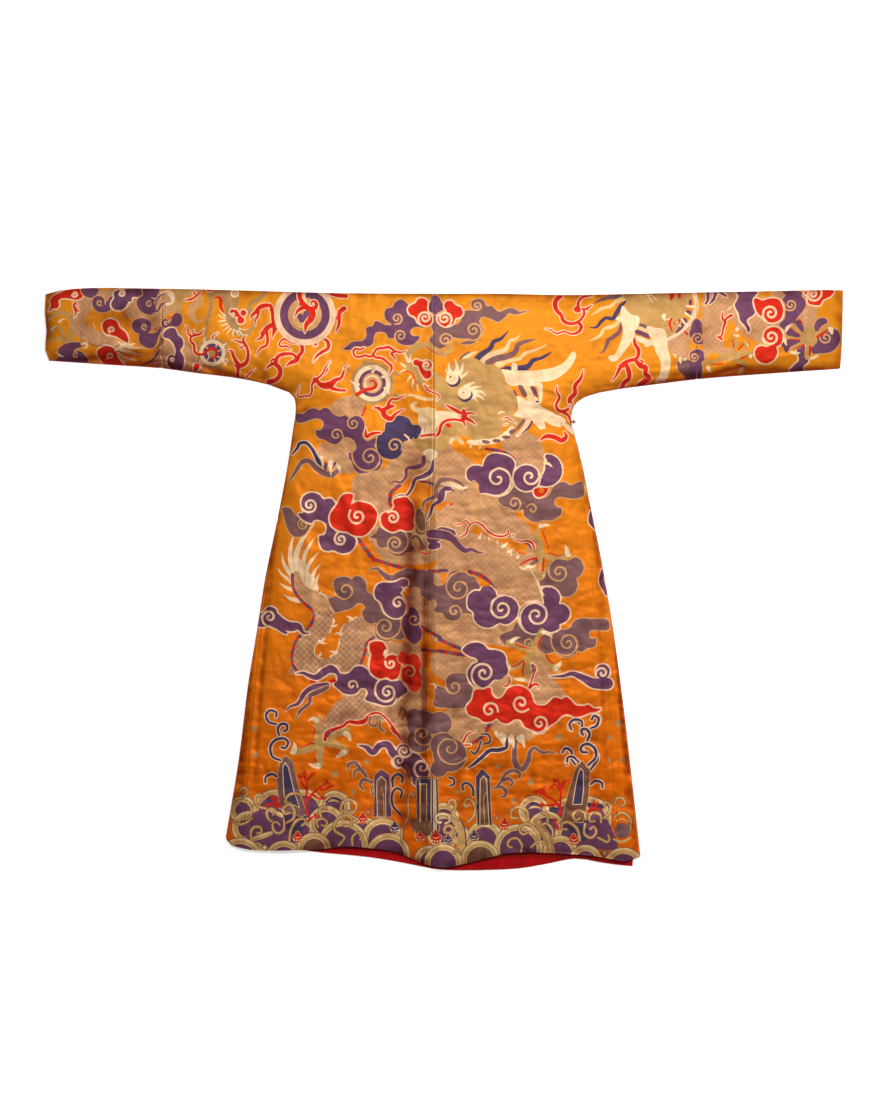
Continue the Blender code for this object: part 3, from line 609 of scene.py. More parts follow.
paint("olive",
    Blob([(458.8, 360.4), (465.9, 358.4), (475.1, 358.4), (481.2, 361.9), (485.3, 364.5), (493.5, 365),
        (500.6, 369.6), (503.7, 374.7), (505.2, 381.8), (508.8, 385.9), (512.9, 391), (516.9, 399.2),
        (517.4, 406.3), (513.9, 414), (518, 418.4), (525.1, 418.6), (522, 424.7), (514.9, 426.7),
        (504.7, 424.7), (501.6, 431.8), (496.5, 436.9), (486.3, 440.5), (477.1, 441.2), (471, 438.5),
        (460.8, 435.9), (454.7, 436.9), (448.6, 441), (447.6, 448.2), (440.4, 451.2), (420, 451.2),
        (415.9, 449.2), (413.9, 438), (430.2, 438), (437.3, 431.8), (438.4, 421.6), (445.5, 415.5),
        (442.4, 409.4), (434.3, 405.3), (433.3, 373.7), (438.4, 373.7), (445.5, 379.8), (446.3, 380.8),
        (448.6, 370.6), (452.7, 363.5), (457.8, 362.4)]))
paint("ground",
    Blob([(420, 405.3), (433.3, 405.8), (446, 409.9), (444, 414), (433.3, 411.9), (420, 410.4)]))
paint("cream",
    Blob([(420, 409.9), (433.3, 410.4), (446.5, 411.4), (457.8, 414.5), (458.8, 418.6), (450.6, 418.1),
        (441.4, 420.6), (437.3, 426.7), (433.3, 426.7), (420, 426.7)]),
    Stroke([(452.7, 375.7), (449.1, 369.6), (448.8, 363)], [4.5, 3.1, 0.6]),
    Stroke([(455.2, 374.7), (457.2, 367.6), (455.2, 359.4)], [4.5, 3.1, 0.6]),
    Stroke([(457.8, 375.2), (461.8, 369.6), (462.9, 363)], [4.5, 3.1, 0.6]),
    Stroke([(459.3, 377.8), (464.4, 375.2), (468, 371.6)], [4.5, 2.9, 0.6]),
    Stroke([(450.6, 375.7), (447, 372.7), (445.3, 369.1)], [4.1, 2.4, 0.6]),
    Stroke([(465.9, 390), (469, 384.9), (475.1, 382)], [4.9, 3.5, 0.6]),
    Stroke([(468, 391), (475.1, 387.4), (481.2, 386.9)], [4.9, 3.3, 0.6]),
    Stroke([(469, 393.1), (480.2, 391.5), (485.8, 395.6)], [5.1, 3.5, 0.6]),
    Stroke([(469, 395.1), (478.2, 395.6), (484.3, 400.2)], [4.7, 3.3, 0.6]),
    Stroke([(468, 397.1), (474.1, 398.2), (477.1, 401.2)], [4.5, 2.7, 0.6]),
    Stroke([(462.9, 391), (464.9, 385.9), (468.5, 384.9)], [4.1, 2.7, 0.8]))
paint("navy",
    Stroke([(447.3, 382.9), (451.6, 385.9), (457.2, 384.4), (459.6, 379.8), (458.3, 375.7)],
        [0.8, 2.2, 2.7, 2.4, 0.8]),
    Stroke([(458.6, 397.1), (463.9, 401), (469, 399.2), (471.8, 395.6), (471.5, 392)],
        [0.8, 2.2, 2.7, 2.4, 0.8]))
paint("cream",
    Blob([(446, 377.8), (448.1, 372.7), (452.7, 371.4), (457.2, 373.7), (458.3, 378.3), (455.7, 383.4),
        (450.6, 384.4), (446.7, 381.8)]),
    Blob([(458, 392.6), (460, 388), (464.4, 386.7), (468.8, 388.5), (470.2, 393.1), (468, 397.7),
        (463.4, 399.2), (459.3, 397.1)]))
paint("wheat",
    Blob([(447.3, 377.8), (449.1, 374.2), (452.7, 373.2), (455.7, 375.7), (455.7, 379.3),
        (452.7, 381.8), (449.1, 381.3)]),
    Blob([(460.6, 392.6), (461.8, 389.5), (464.9, 389), (467.4, 391), (467.1, 394.1), (464.4, 395.6),
        (461.6, 394.9)]))
paint("cream",
    Blob([(448.2, 377.6), (449.6, 375), (452.4, 374.2), (454.7, 376.2), (454.5, 379), (452.2, 380.6),
        (449.6, 380.2)]),
    Blob([(461.3, 392.6), (462.4, 390.3), (464.9, 389.8), (466.5, 391.4), (466.1, 393.9),
        (464.3, 394.7), (462.2, 394.2)]))
paint("brown", Blob([(449.1, 376.7), (450.4, 375.7), (451.4, 376.7), (450.6, 378.2), (449.4, 378)]),
    Blob([(462.7, 392.2), (463.9, 391.3), (464.9, 392.2), (464.1, 393.5), (462.9, 393.3)]))
paint("cream",
    Stroke([(469, 442), (477.1, 442.6), (489.4, 441.5), (498.6, 439.5), (506.7, 433.9),
        (511.8, 427.8)], [4.1, 5.7, 5.7, 5.7, 5.7, 4.1]))
paint("mauve", Blob([(481.7, 440.5), (485.3, 440), (490.4, 442), (488.4, 443.9), (483.3, 443.3)]),
    Blob([(492.4, 440.5), (495.5, 439), (501.1, 440.5), (498.6, 442.6), (493.5, 442.2)]),
    Blob([(502.1, 436.4), (505.7, 435.4), (510.3, 436.9), (507.8, 439), (503.2, 438.5)]),
    Blob([(508.8, 431.8), (511.8, 429.3), (516.4, 430), (512.9, 434.1), (509.8, 433.7)]),
    Blob([(515.9, 428.8), (522, 420.6), (525.1, 421.1), (518.5, 429.3)]))
paint("pink", Stroke([(528.7, 419.6), (525.6, 427.8), (516.9, 435.9)], [5.3, 6.1, 3.5]))
paint("violet", Stroke([(532, 421.6), (528.4, 427.8), (522, 433.4)], [2, 2.2, 0.8]))
paint("wheat",
    Blob([(449.1, 443.1), (450.6, 438), (455.2, 436.4), (460.8, 438.5), (463.9, 443.1), (460.8, 444.1),
        (457.8, 441), (453.7, 440.5), (451.6, 444.1)]),
    Blob([(468, 441), (471, 442), (472, 447.1), (469, 448.2), (470, 445.1)]),
    Blob([(478.2, 442), (481.7, 443.1), (480.7, 448.2), (478.2, 449.7), (479.2, 446.1)]))
tell("the great head")

# %% Flames beside the great head
motif("red", "pink",
    Stroke([(446.5, 405.1), (453.7, 409.4), (460.8, 413), (463.4, 411.4)], [1.4, 3.1, 3.5, 2]),
    Stroke([(463.7, 410.4), (464.1, 417.6), (461.3, 420.6)], [3.1, 6.1, 3.5]),
    Stroke([(464.9, 414.5), (471, 413), (475.6, 415)], [3.1, 2, 0.8]),
    Stroke([(466.9, 418.6), (472, 421.6), (475.6, 424.7)], [3.5, 2.4, 1.2]),
    Stroke([(462.9, 420.1), (464.9, 424.7), (465.9, 427.6)], [2.4, 1.6, 0.6]),
    Stroke([(460.8, 420.6), (454.7, 419.6), (446.5, 420.6), (441.4, 424.7), (439.4, 431.8),
        (436.3, 435.7), (429.2, 435.7), (421, 436.7)], [2.4, 2.4, 2.7, 2.9, 3.1, 3.1, 2.4, 2.9]))
paint("red", Blob([(445.3, 424.7), (447.6, 423.2), (450.6, 424.5), (450.6, 427.2), (447.6, 427.6)]))
motif("red", "cream",
    Stroke([(503.2, 419.1), (506.7, 417.3), (509.8, 419.4), (515.9, 423.2)], [0.8, 1.4, 1.4, 0.4]),
    Stroke([(504.5, 424.9), (507.3, 424.1)], [0.8, 0.8]))
paint("cream", Stroke([(498.1, 413.7), (501.6, 411.9), (505.2, 413)], [0.8, 2.2, 0.8]))
motif("red", "pink",
    Stroke([(557, 385.9), (556.3, 391.2), (559.4, 397.3), (556.1, 405), (558.8, 410.6), (565.7, 410.6),
        (571.3, 406)], [0.8, 2, 2.7, 2.7, 3.1, 3.1, 3.1]),
    Stroke([(583.1, 369.6), (580.8, 378), (574.9, 386.1), (574.9, 393.3), (569.8, 399.4),
        (571.3, 406.5)], [0.5, 2.9, 3.9, 4.1, 4.5, 4.1]),
    Stroke([(561.6, 411.6), (567.8, 415.2), (570.6, 420.8)], [2.9, 2.7, 2.4]))
motif("red", "pink",
    Stroke([(539.7, 440.4), (546.3, 436.3), (554.5, 437.3), (561.6, 440.4), (566.2, 436.6),
        (564.5, 432.2)], [0.8, 4.1, 4.7, 4.9, 4.5, 1.2]))
curl_line("pink", (569.8, 405.7, 2, 0.69, 90, -1))
paint("cream", Stroke([(566.2, 425.4), (569.8, 429), (572.9, 434.1)], [4.1, 5.1, 1]))
paint("ground", Stroke([(561.6, 422.9), (561.1, 428)], [1.2, 1.4]))
tell("flames beside the great head")

# %% [markdown]
# ## The chest
#
# A flaming pearl lies before the great dragon's jaws. Beside the centre seam a small dragon's face
# peeps out under the neck clouds, with a band of mane curling over it.

# %% Chest pearl and small face
paint("dust", Disc(372.3, 383.3, 21.4))
paint("dust", Stroke([(348.7, 370.8), (346.2, 364.6), (342.5, 366.5)], [3.2, 2.5, 0.5]),
    Stroke([(393.5, 372.1), (398.4, 374.6), (402.2, 370.8)], [3.7, 2.7, 0.5]),
    Stroke([(394.7, 394.5), (399.7, 396.9), (404.7, 394.5)], [3.7, 2.7, 0.5]),
    Stroke([(364.9, 364.6), (367.3, 360.9), (372.3, 359.6)], [5, 3.2, 0.5]))
paint("cream", Disc(372.3, 383.3, 18.2))
paint("violet", Disc(372.3, 383.3, 13.7))
paint("tan", Disc(372.3, 383.3, 10))
paint("cream", Disc(372.3, 383.3, 8))
paint("tan", Disc(372.3, 383.3, 6.5))
paint("cream", Stroke([(372.3, 372.1), (376, 368.3), (377.9, 365.2)], [2.7, 2.2, 0.4]),
    Stroke([(382.3, 377), (387.2, 376.4), (391.6, 374.6)], [2.7, 2.2, 0.4]),
    Stroke([(358.6, 384.5), (353.7, 383.3), (350.5, 380.8)], [2.7, 2.2, 0.4]),
    Stroke([(384.8, 388.2), (388.5, 392), (389.7, 395.1)], [2.7, 2.2, 0.4]))
paint("red",
    Stroke([(357.4, 394.5), (364.9, 390.1), (373.6, 388.2), (376, 383.9), (372.3, 380.1),
        (369.8, 382.6)], [4.2, 4, 3.7, 3.2, 2.2, 1]))
paint("olive",
    Stroke([(407.1, 366.6), (409, 353.9), (418, 346.2), (428.2, 345.6), (435.8, 352), (444.7, 353.9),
        (451.1, 347.5), (454.9, 339.8)], [3.8, 7.1, 6.4, 5.9, 6.6, 6.4, 5.1, 0.8]))
paint("red", Stroke([(425.6, 346.2), (432, 350.7), (439, 354.5), (443.5, 353.2)], [0.6, 1.1, 1, 0.4]))
paint("cream", Stroke([(408.4, 361.5), (405.8, 356.4), (404.6, 351.3)], [3.1, 2.3, 0.4]),
    Stroke([(410.3, 361.5), (410.3, 356.4), (412.2, 354.5)], [2.6, 1.8, 0.4]),
    Stroke([(405.2, 366.6), (401.4, 364.1), (399.5, 362.2)], [2.6, 1.8, 0.4]),
    Stroke([(405.2, 369.8), (402.7, 370.5), (399.5, 373)], [2.3, 1.5, 0.4]),
    Stroke([(410.3, 376.8), (408.4, 379.4), (407.1, 382.6)], [2.3, 1.5, 0.4]),
    Stroke([(413.5, 380.7), (412.2, 385.8), (413.5, 389.6)], [2.3, 1.5, 0.4]),
    Stroke([(418, 383.2), (417.3, 388.3), (419.2, 391.5)], [2.3, 1.5, 0.4]),
    Stroke([(422.4, 382.6), (425.6, 385.8), (432, 385.1)], [2.8, 1.8, 0.4]))
paint("olive",
    Blob([(405.8, 367.9), (409, 363.1), (415.4, 361.5), (420.5, 366.6), (425.6, 373), (428.4, 378.1),
        (425.1, 382.6), (419.2, 384.5), (415.2, 380), (412.9, 374.9), (408.4, 371.7)]))
motif("red", "pink", Disc(416.4, 362.6, 3.1), Disc(420.5, 364.1, 3.1), Disc(426.9, 365.6, 5.1),
    Disc(426.9, 374.3, 4.6),
    Stroke([(419.2, 362.8), (421.1, 367.9), (423.7, 373), (426.2, 376.2)], [4.3, 4.3, 5.1, 5.1]))
curl_line("pink", (426.7, 365.2, 3.2, 0.75, 200, 1))
paint("red",
    Stroke([(405.8, 370.7), (411.6, 373), (414.1, 376.8), (416, 382.6), (419.2, 385.1)],
        [0.8, 1.3, 1.3, 1, 0.4]))
motif("red", "pink",
    Stroke([(424.6, 385.1), (427.5, 389.6), (433.3, 392.8), (438.4, 394.9), (439, 397.9),
        (436.5, 400.4)], [1.3, 1.8, 1.5, 1.4, 1.4, 0.5]))
tell("chest pearl and small face")

# %% [markdown]
# ## Clouds over the body
#
# Clouds lie over the coils in three colours: violet and mauve with a tan edge, red and violet with
# a pale pink edge. Their heads wind in, and their tails stream out.

# %% Clouds at the wearer's left
paint("body",
    Blob([(318.6, 448), (320.8, 443.6), (327.5, 444.7), (336.4, 444.7), (343.1, 436.9), (348.7, 437.4),
        (354.8, 441.9), (356.5, 448), (353.2, 452.5), (349.8, 453.6), (352.1, 462.5), (354.3, 469.2),
        (352.1, 473.1), (343.1, 472.6), (336.4, 470.4), (327.5, 461.4), (320.8, 455.8)]))
motif("violet", "tan",
    Blob([(296.8, 414), (302.9, 414), (309.6, 409.5), (315.2, 408.4), (319.7, 410.6), (324.2, 407.9),
        (328.6, 409), (333.1, 414), (339.8, 416.8), (345.4, 415.1), (348.1, 417.3), (354.3, 416.2),
        (359.9, 416.8), (363.8, 421.2), (364.3, 427.9), (362.1, 434.6), (364.3, 439.1), (367.7, 441.3),
        (375.5, 438), (376.6, 442.5), (374.4, 445.8), (381.1, 457), (382.2, 462.5), (378.8, 469.2),
        (372.1, 470.9), (365.4, 473.1), (358.8, 473.1), (354.3, 469.2), (352.1, 462.5), (349.3, 458.1),
        (348.7, 453.1), (353.2, 452.5), (356.5, 448), (354.3, 441.3), (348.7, 437.4), (344.2, 437.4),
        (343.1, 434.6), (342, 439.1), (337.5, 443.6), (330.8, 443.6), (325.3, 440.2), (318.6, 438),
        (315.8, 433.5), (316.3, 430.2), (320.8, 430.2), (323.6, 424.6), (321.9, 420.1), (316.3, 418.5),
        (309.6, 420.1), (302.9, 422.4), (296.8, 421.8)]))
curl_line("tan", (353.4, 423.5, 6, 1.2, 200, -1), (336.4, 434.9, 6.5, 1.2, 10, -1),
    (369.9, 457.2, 9.2, 1.3, 330, -1))
motif("navy", "tan",
    Blob([(376.6, 442.5), (378.8, 434.6), (384.4, 431.3), (385.5, 423.5), (390, 421.2), (394.5, 416.8),
        (401.2, 415.7), (409, 419), (412.3, 424.6), (417.9, 425.2), (421.2, 429.1), (420.7, 434.6),
        (415.7, 439.1), (411.2, 439.1), (405.6, 441.3), (403.4, 442.5), (403.4, 448), (400, 455.8),
        (392.2, 459.4), (383.3, 457.2), (377.7, 450.8)]))
curl_line("tan", (394.5, 445.8, 8.3, 1.35, 30, -1))
paint("cream", Stroke([(404.5, 434.6), (408.4, 438), (409.5, 441.9)], [1.6, 2.2, 0.4]),
    Stroke([(413.4, 438), (415.1, 439.7)], [1.3, 0.4]))
motif("red", "pink",
    Stroke([(407.1, 350.4), (401.5, 352.4), (395.2, 351.2), (388.8, 347.2), (384, 348), (377.6, 348.8),
        (374.4, 352), (372.8, 355.1)], [0.5, 1.4, 2.1, 2.9, 2.9, 2.6, 2.2, 2.2]),
    Stroke([(394.4, 352), (391.2, 353.6), (394.4, 357.5), (395.6, 360.7)], [2.4, 2.2, 1.9, 0.5]),
    Stroke([(364.1, 348), (360.1, 349.6), (355.3, 348.8), (353.3, 352), (355.3, 356.3), (360.1, 357.1),
        (364.9, 355.5), (369.6, 356.7), (373.6, 355.1)], [1.6, 1.9, 2.1, 1.9, 2.1, 2.2, 2.1, 2.2, 2.4]),
    Stroke([(372.8, 355.1), (376, 357.5), (381.6, 358.3), (385.6, 360.7), (388, 363.1), (391.2, 365.5),
        (391.6, 369.5), (388.8, 373.1)], [2.4, 2.4, 2.4, 2.7, 2.6, 2.4, 2.2, 0.8]))
motif("red", "pink",
    Stroke([(348.9, 365.9), (344.5, 367.9), (343.3, 374.3), (340.1, 377.5), (333.8, 380.7),
        (331.4, 383.4), (325, 385.8), (321.8, 387)], [0.5, 1.4, 1.8, 2.1, 2.7, 2.9, 2.1, 0.8]),
    Stroke([(333, 383), (334.6, 387.8), (339.3, 391), (345.7, 390.2)], [2.7, 2.6, 2.2, 1.1]))
motif("red", "pink",
    Stroke([(330.6, 362.3), (327.4, 365.5), (327, 370.3), (324.2, 374.3)], [0.5, 1.3, 1.8, 1.6]))
paint("red", Stroke([(365.8, 403.8), (364.9, 409.4), (362.1, 415.7)], [0.5, 1.6, 1.8]))
motif("red", "pink",
    Stroke([(366.1, 427.7), (365.7, 431.7), (366.5, 436.5), (371.2, 434.1), (376, 432.9),
        (380, 432.9)], [0.5, 2.1, 4, 3.2, 2.6, 2.1]))
motif("red", "pink",
    Stroke([(373.6, 408.2), (377.6, 407.8), (382.4, 410.2), (388.8, 407), (393.6, 406.2)],
        [0.8, 4, 3.5, 4.8, 2.4]),
    Stroke([(388.8, 407), (388.8, 403), (392, 399), (396.7, 399.4), (401.5, 396.6), (405.5, 394.6)],
        [4, 2.7, 2.1, 2.1, 1.4, 0.3]),
    Stroke([(383.6, 410.2), (384, 414.9), (390.4, 418.9), (395.2, 414.1), (399.9, 411),
        (404.7, 409.2)], [4.8, 5.3, 4.8, 2.9, 1.9, 0.5]),
    Stroke([(384, 416.5), (380.8, 412.1)], [2.4, 1]))
motif("wheat", "wheat",
    Blob([(411.9, 405.4), (415.1, 402.2), (416.7, 403), (413.9, 404.6), (414.3, 407.8), (420.7, 409.4),
        (427, 408.6), (432.6, 409.4), (434.4, 411.7), (434.4, 433.3), (431.8, 434.1), (428.6, 434.1),
        (430.2, 427.7), (429.4, 422.9), (427.8, 418.1), (422.3, 414.1), (416.7, 411), (413.5, 409.4)]))
paint("cream", Stroke([(424.6, 424.5), (423.1, 429.3), (421.9, 434.9)], [0.8, 2.7, 3.2]),
    Stroke([(427.8, 425.3), (426.6, 430.1), (425.8, 434.9)], [0.8, 2.7, 3.2]),
    Stroke([(431, 426.9), (430.2, 430.9), (429.4, 434.9)], [0.8, 2.7, 3.2]))
paint("wheat",
    Stroke([(404.7, 398.2), (409.5, 395), (416.7, 396.6), (424.6, 399), (432.6, 399.4)],
        [0.5, 2.4, 3.5, 3.2, 2.4]))
motif("red", "pink", Stroke([(420.7, 436.1), (426.2, 435.3), (434.4, 434.5)], [1.9, 2.2, 2.2]))
motif("mauve", "tan",
    Stroke([(289, 481.5), (295.1, 472.6), (301.8, 462.5), (309.6, 461.4), (316.3, 468.1),
        (325.3, 473.7), (333.1, 474.3), (337.5, 470.4)], [0.7, 2.7, 4, 4.5, 4.9, 5.6, 5.6, 4.5]))
motif("navy", "cream",
    Stroke([(291.8, 454.7), (297.4, 448), (299.6, 443.6), (306.3, 443), (313, 450.3), (318.6, 461.4),
        (325.3, 468.1)], [1.3, 2.9, 3.3, 3.3, 3.8, 4.5, 2.2]))
paint("cream", Stroke([(321.4, 457), (322.5, 462.5), (323, 468.7)], [2.9, 2.7, 0.7]),
    Stroke([(330.8, 462.5), (330.6, 468.1), (331.1, 476.5)], [5.1, 3.3, 0.3]),
    Stroke([(336.4, 463.1), (339.2, 468.1), (340.3, 473.1)], [1.6, 4.5, 0.4]))
paint("violet", Stroke([(325.8, 463.9), (325.6, 469.5)], [2.9, 2.7]),
    Stroke([(335.1, 463.1), (332.2, 468.7)], [2.2, 0.9]))
paint("cream",
    Blob([(423.2, 452.4), (430, 448.7), (437.4, 452.4), (435.3, 458.2), (431.1, 462.4),
        (425.8, 458.2)]))
motif("violet", "tan",
    Stroke([(423.7, 457.1), (422.6, 464.5), (414.2, 467.6), (406.8, 468.7), (405.8, 477.1),
        (400.5, 482.4), (394.2, 481.3), (387.9, 485.5)], [3.6, 4.6, 4.2, 3.2, 2.5, 2.1, 1.3, 0.5]))
motif("violet", "cream",
    Stroke([(433.2, 460.3), (431.1, 470.8), (423.7, 476.1), (415.3, 479.2), (412.1, 487.6),
        (406.8, 495), (400.5, 495), (394.2, 497.1)], [1.5, 4.2, 4.8, 3.6, 3.2, 2.7, 1.5, 0.4]))
paint("cream", Stroke([(419.5, 480.3), (425.8, 479.2), (432.1, 475)], [0.5, 1.9, 1.5]))
tell("clouds at the wearer's left")

# %% Clouds in the middle at the wearer's left
motif("mauve", "tan",
    Blob([(282.3, 508), (290, 508.4), (295.7, 515.6), (302.4, 519.4), (309.1, 522.3), (310.1, 525.2),
        (308.2, 530), (304.3, 534.7), (299.6, 536.7), (294.8, 536.7), (290, 532.8), (286.2, 525.2),
        (284.3, 516.6)]))
curl_line("tan", (302.9, 524.7, 5, 1.3, 200, -1))
motif("violet", "pink",
    Blob([(298.6, 513.7), (303.4, 512.7), (302.4, 508), (301.5, 502.2), (303.4, 496.5), (309.1, 493.1),
        (314.9, 493.1), (319.7, 495), (323.5, 499.3), (328.3, 498.4), (332.1, 499.3), (335, 503.2),
        (337.8, 508), (334, 515.6), (332.1, 525.2), (335.9, 531.9), (340.7, 532.8), (347.4, 532.8),
        (353.1, 536.7), (356, 540.5), (354.1, 547.2), (349.3, 552), (342.6, 553.4), (337.8, 552),
        (333, 550.1), (328.3, 551), (322.5, 549.1), (319.7, 543.4), (319.2, 538.6), (319.7, 535.7),
        (324.4, 534.7), (326.8, 529), (325.4, 523.3), (320.6, 520.4), (314.9, 519.9), (311, 523.3),
        (304.3, 520.4), (300.5, 517.5)]))
curl_line("pink", (309.9, 505.3, 7.1, 1.4, 100, -1), (340.7, 539.3, 6.5, 1.35, 220, -1))
motif("mauve", "tan",
    Blob([(370.4, 537.1), (376.1, 532.8), (379, 527.1), (385.7, 530.9), (393.3, 532.8), (401, 530.9),
        (407.7, 531.9), (413.4, 534.7), (413.4, 538.6), (411.5, 544.3), (414.4, 549.1), (410.5, 552),
        (406.7, 552.4), (403.8, 555.8), (399.1, 556.3), (393.3, 554.8), (388.5, 551), (387.6, 547.2),
        (380.9, 547.7), (377.1, 544.3), (376.1, 539.5)]))
curl_line("tan", (395, 543.4, 7.3, 1.35, 180, 1))
motif("red", "pink",
    Blob([(337.8, 503.2), (339.7, 498.4), (343.6, 494.6), (348.4, 493.6), (352.7, 494.6),
        (352.7, 498.4), (351.2, 504.1), (357, 501.7), (362.7, 502.2), (369.4, 504.1), (374.2, 508),
        (377.1, 513.7), (376.1, 521.4), (372.3, 528), (365.6, 534.7), (358.9, 536.2), (352.2, 534.7),
        (347.4, 531.9), (343.6, 531.4), (337.8, 530), (332.1, 526.1), (329.7, 519.4), (331.1, 512.7),
        (335.9, 506)]))
curl_line("pink", (357.4, 516.1, 9.2, 1.4, 220, -1))
motif("red", "pink",
    Blob([(394.3, 499.3), (400, 497.9), (405.8, 497), (409.6, 500.3), (413.4, 506), (414.4, 513.7),
        (413.4, 520.4), (414.4, 525.2), (412.4, 530), (405.8, 530.9), (400, 529.5), (393.3, 531.9),
        (387.6, 530), (382.8, 526.1), (380.9, 520.4), (381.8, 514.7), (386.6, 511.8), (391.4, 510.8),
        (394.3, 506), (393.3, 502.2)]))
curl_line("pink", (392.6, 517.7, 7.1, 1.4, 225, 1))
paint("brown",
    Blob([(416.1, 514.7), (423, 512.7), (425.8, 516.6), (426.8, 526.1), (423.9, 533.8), (417.2, 533.8),
        (415.3, 525.2)]))
motif("brown", "tan", Stroke([(419.5, 511.8), (420.5, 521.3), (421.6, 527.6)], [6.3, 9.5, 7.4]),
    Stroke([(411.1, 539.2), (415.3, 536.1), (419.5, 539.2), (422.6, 547.6)], [2.1, 2.7, 2.7, 6.3]))
paint("red",
    Stroke([(417.4, 545.5), (420.5, 551.8), (426.8, 553.9), (431.1, 551.8)], [0.8, 1.5, 1.5, 0.8]))
motif("violet", "pink", Stroke([(432.1, 538.2), (441.6, 532.9), (451.1, 533.9)], [11.6, 11.6, 9.5]),
    Stroke([(431.1, 546.6), (437.4, 545.5)], [6.3, 6.3]))
motif("mauve", "tan",
    Stroke([(448.9, 479.2), (440.5, 480.3), (436.3, 487.6), (435.3, 496.1), (424.7, 501.3),
        (422.6, 510.8)], [3.8, 4.2, 4.2, 3.6, 2.7, 0.6]))
motif("violet", "cream",
    Stroke([(450, 488.7), (443.7, 489.7), (441.6, 499.2), (433.2, 505.5), (430, 515), (426.8, 520.3)],
        [4.2, 4.6, 4.2, 3.2, 3.2, 0.6]))
tell("clouds in the middle at the wearer's left")

# %% Clouds at the wearer's right
motif("mauve", "tan",
    Blob([(498.5, 498.3), (510.4, 490.4), (514.3, 487.4), (524.2, 491.4), (534.1, 491.4), (537, 497.3),
        (542, 498.3), (548.9, 495.4), (553.9, 486.5), (559.8, 482.5), (565.7, 482.5), (570.7, 485.5),
        (576.6, 483), (582.5, 482.5), (584, 494.4), (576.6, 498.3), (568.7, 498.3), (561.8, 496.8),
        (555.8, 498.3), (554.3, 503.3), (556.8, 507.2), (561.3, 508.2), (560.8, 514.1), (554.8, 519.1),
        (548.9, 520.6), (543, 520.1), (537, 522), (530.1, 520.6), (524.2, 515.6), (523.2, 509.2),
        (516.3, 512.2), (511.3, 508.2), (502.4, 505.2)]))
curl_line("tan", (514.3, 503.3, 6.1, 1.0, 350, -1), (532.1, 509.2, 5.9, 1.0, 200, 1))
motif("violet", "pink",
    Blob([(466.7, 476.6), (467.4, 470.2), (471.8, 466.2), (478.2, 465.5), (482.9, 466.5),
        (484.2, 461.3), (488.1, 455.8), (494.5, 453.6), (501.5, 454.3), (508.4, 456.3), (513.3, 460.3),
        (514.8, 465.7), (512.8, 471.6), (511.8, 479.5), (511.5, 486.5), (506.4, 492.9), (498.5, 495.6),
        (491.6, 494.2), (484.7, 492.9), (479.7, 492.9), (478.7, 488.4), (476.3, 483), (469.8, 481)]))
curl_line("pink", (497.7, 478.4, 9.9, 1.0, 270, -1))
paint("body",
    Blob([(479.7, 493.9), (478.7, 489.4), (478.9, 484.5), (475.3, 481.7), (471.3, 482.7),
        (469.8, 487.4), (465.9, 489.4), (466.9, 503.3), (474.8, 509.2), (484.7, 503.3),
        (487.6, 495.4)]))
paint("body",
    Stroke([(516.3, 454.8), (524.2, 457.8), (533.1, 463.7), (540, 469.7), (542, 477.6)],
        [5.9, 5.9, 6.9, 5.9, 2]))
motif("violet", "pink",
    Blob([(545.7, 454.8), (552.4, 455.3), (558.3, 459.8), (561.8, 467.7), (560.8, 476.6), (555.8, 483),
        (548.9, 486), (542, 485.7), (537.5, 483.5), (541, 479), (543.5, 472.6), (545.2, 465.7),
        (545.5, 459.8)]))
motif("violet", "pink", Disc(526.4, 478.1, 12.9))
curl_line("pink", (529.9, 476.8, 8.9, 1.1, 8, 1))
paint("cream", Stroke([(543.5, 456.8), (545.7, 460.3), (544.8, 464.7)], [1.4, 2.6, 1]),
    Stroke([(544.5, 463.2), (548.4, 463.7), (552.7, 467.5)], [2.8, 2.6, 0.3]),
    Stroke([(544.5, 467.7), (543, 472.6)], [2, 2.2]))
motif("red", "pink",
    Blob([(534.1, 489.4), (539, 487.9), (545.9, 487.9), (548.4, 488.4), (545, 494.4), (539, 497.3),
        (534.6, 494.9)]))
paint("ground", Disc(541.5, 490.6, 2.8))
tell("clouds at the wearer's right")

# %% Claws and clouds in the middle at the wearer's right
paint("ground",
    Blob([(472.8, 527), (478.7, 527), (484.7, 532.9), (491.6, 537.9), (500.5, 538.9), (510.4, 538.9),
        (516.3, 542.8), (524.2, 543.3), (528.2, 546.8), (524.2, 553.7), (516.3, 550.7), (510.4, 547.8),
        (502.4, 542.8), (494.5, 539.8), (486.6, 536.9), (478.7, 534.9), (472.8, 533.4)]))
paint("ground", Blob([(529.1, 524), (534.1, 527), (536.1, 534.9), (535.1, 536.9), (531.1, 530.9)]),
    Blob([(514.3, 512.7), (520.2, 513.2), (522.2, 518.1), (518.3, 518.1)]))
paint("cream", Stroke([(479.7, 537.4), (480.9, 534.9), (481.9, 531.9)], [3.6, 2, 0.3]),
    Stroke([(484.7, 537.9), (483.7, 534.4)], [2.2, 0.3]),
    Stroke([(489.1, 539.3), (487.4, 536.4)], [1.8, 0.3]),
    Stroke([(497.5, 542.8), (497.5, 539.8)], [2.4, 0.3]),
    Stroke([(502.4, 546.8), (505.4, 544.8), (508.4, 541.3)], [3.4, 2.4, 0.3]),
    Stroke([(508.4, 551.7), (510.4, 550.7), (513.5, 548.7)], [3.4, 2.2, 0.3]),
    Stroke([(511.3, 554.7), (510.9, 552.7), (511.8, 549.7)], [2.6, 1.6, 0.3]),
    Stroke([(517.3, 557.6), (518.8, 556.6), (517.3, 554.2)], [2.6, 1.8, 0.3]))
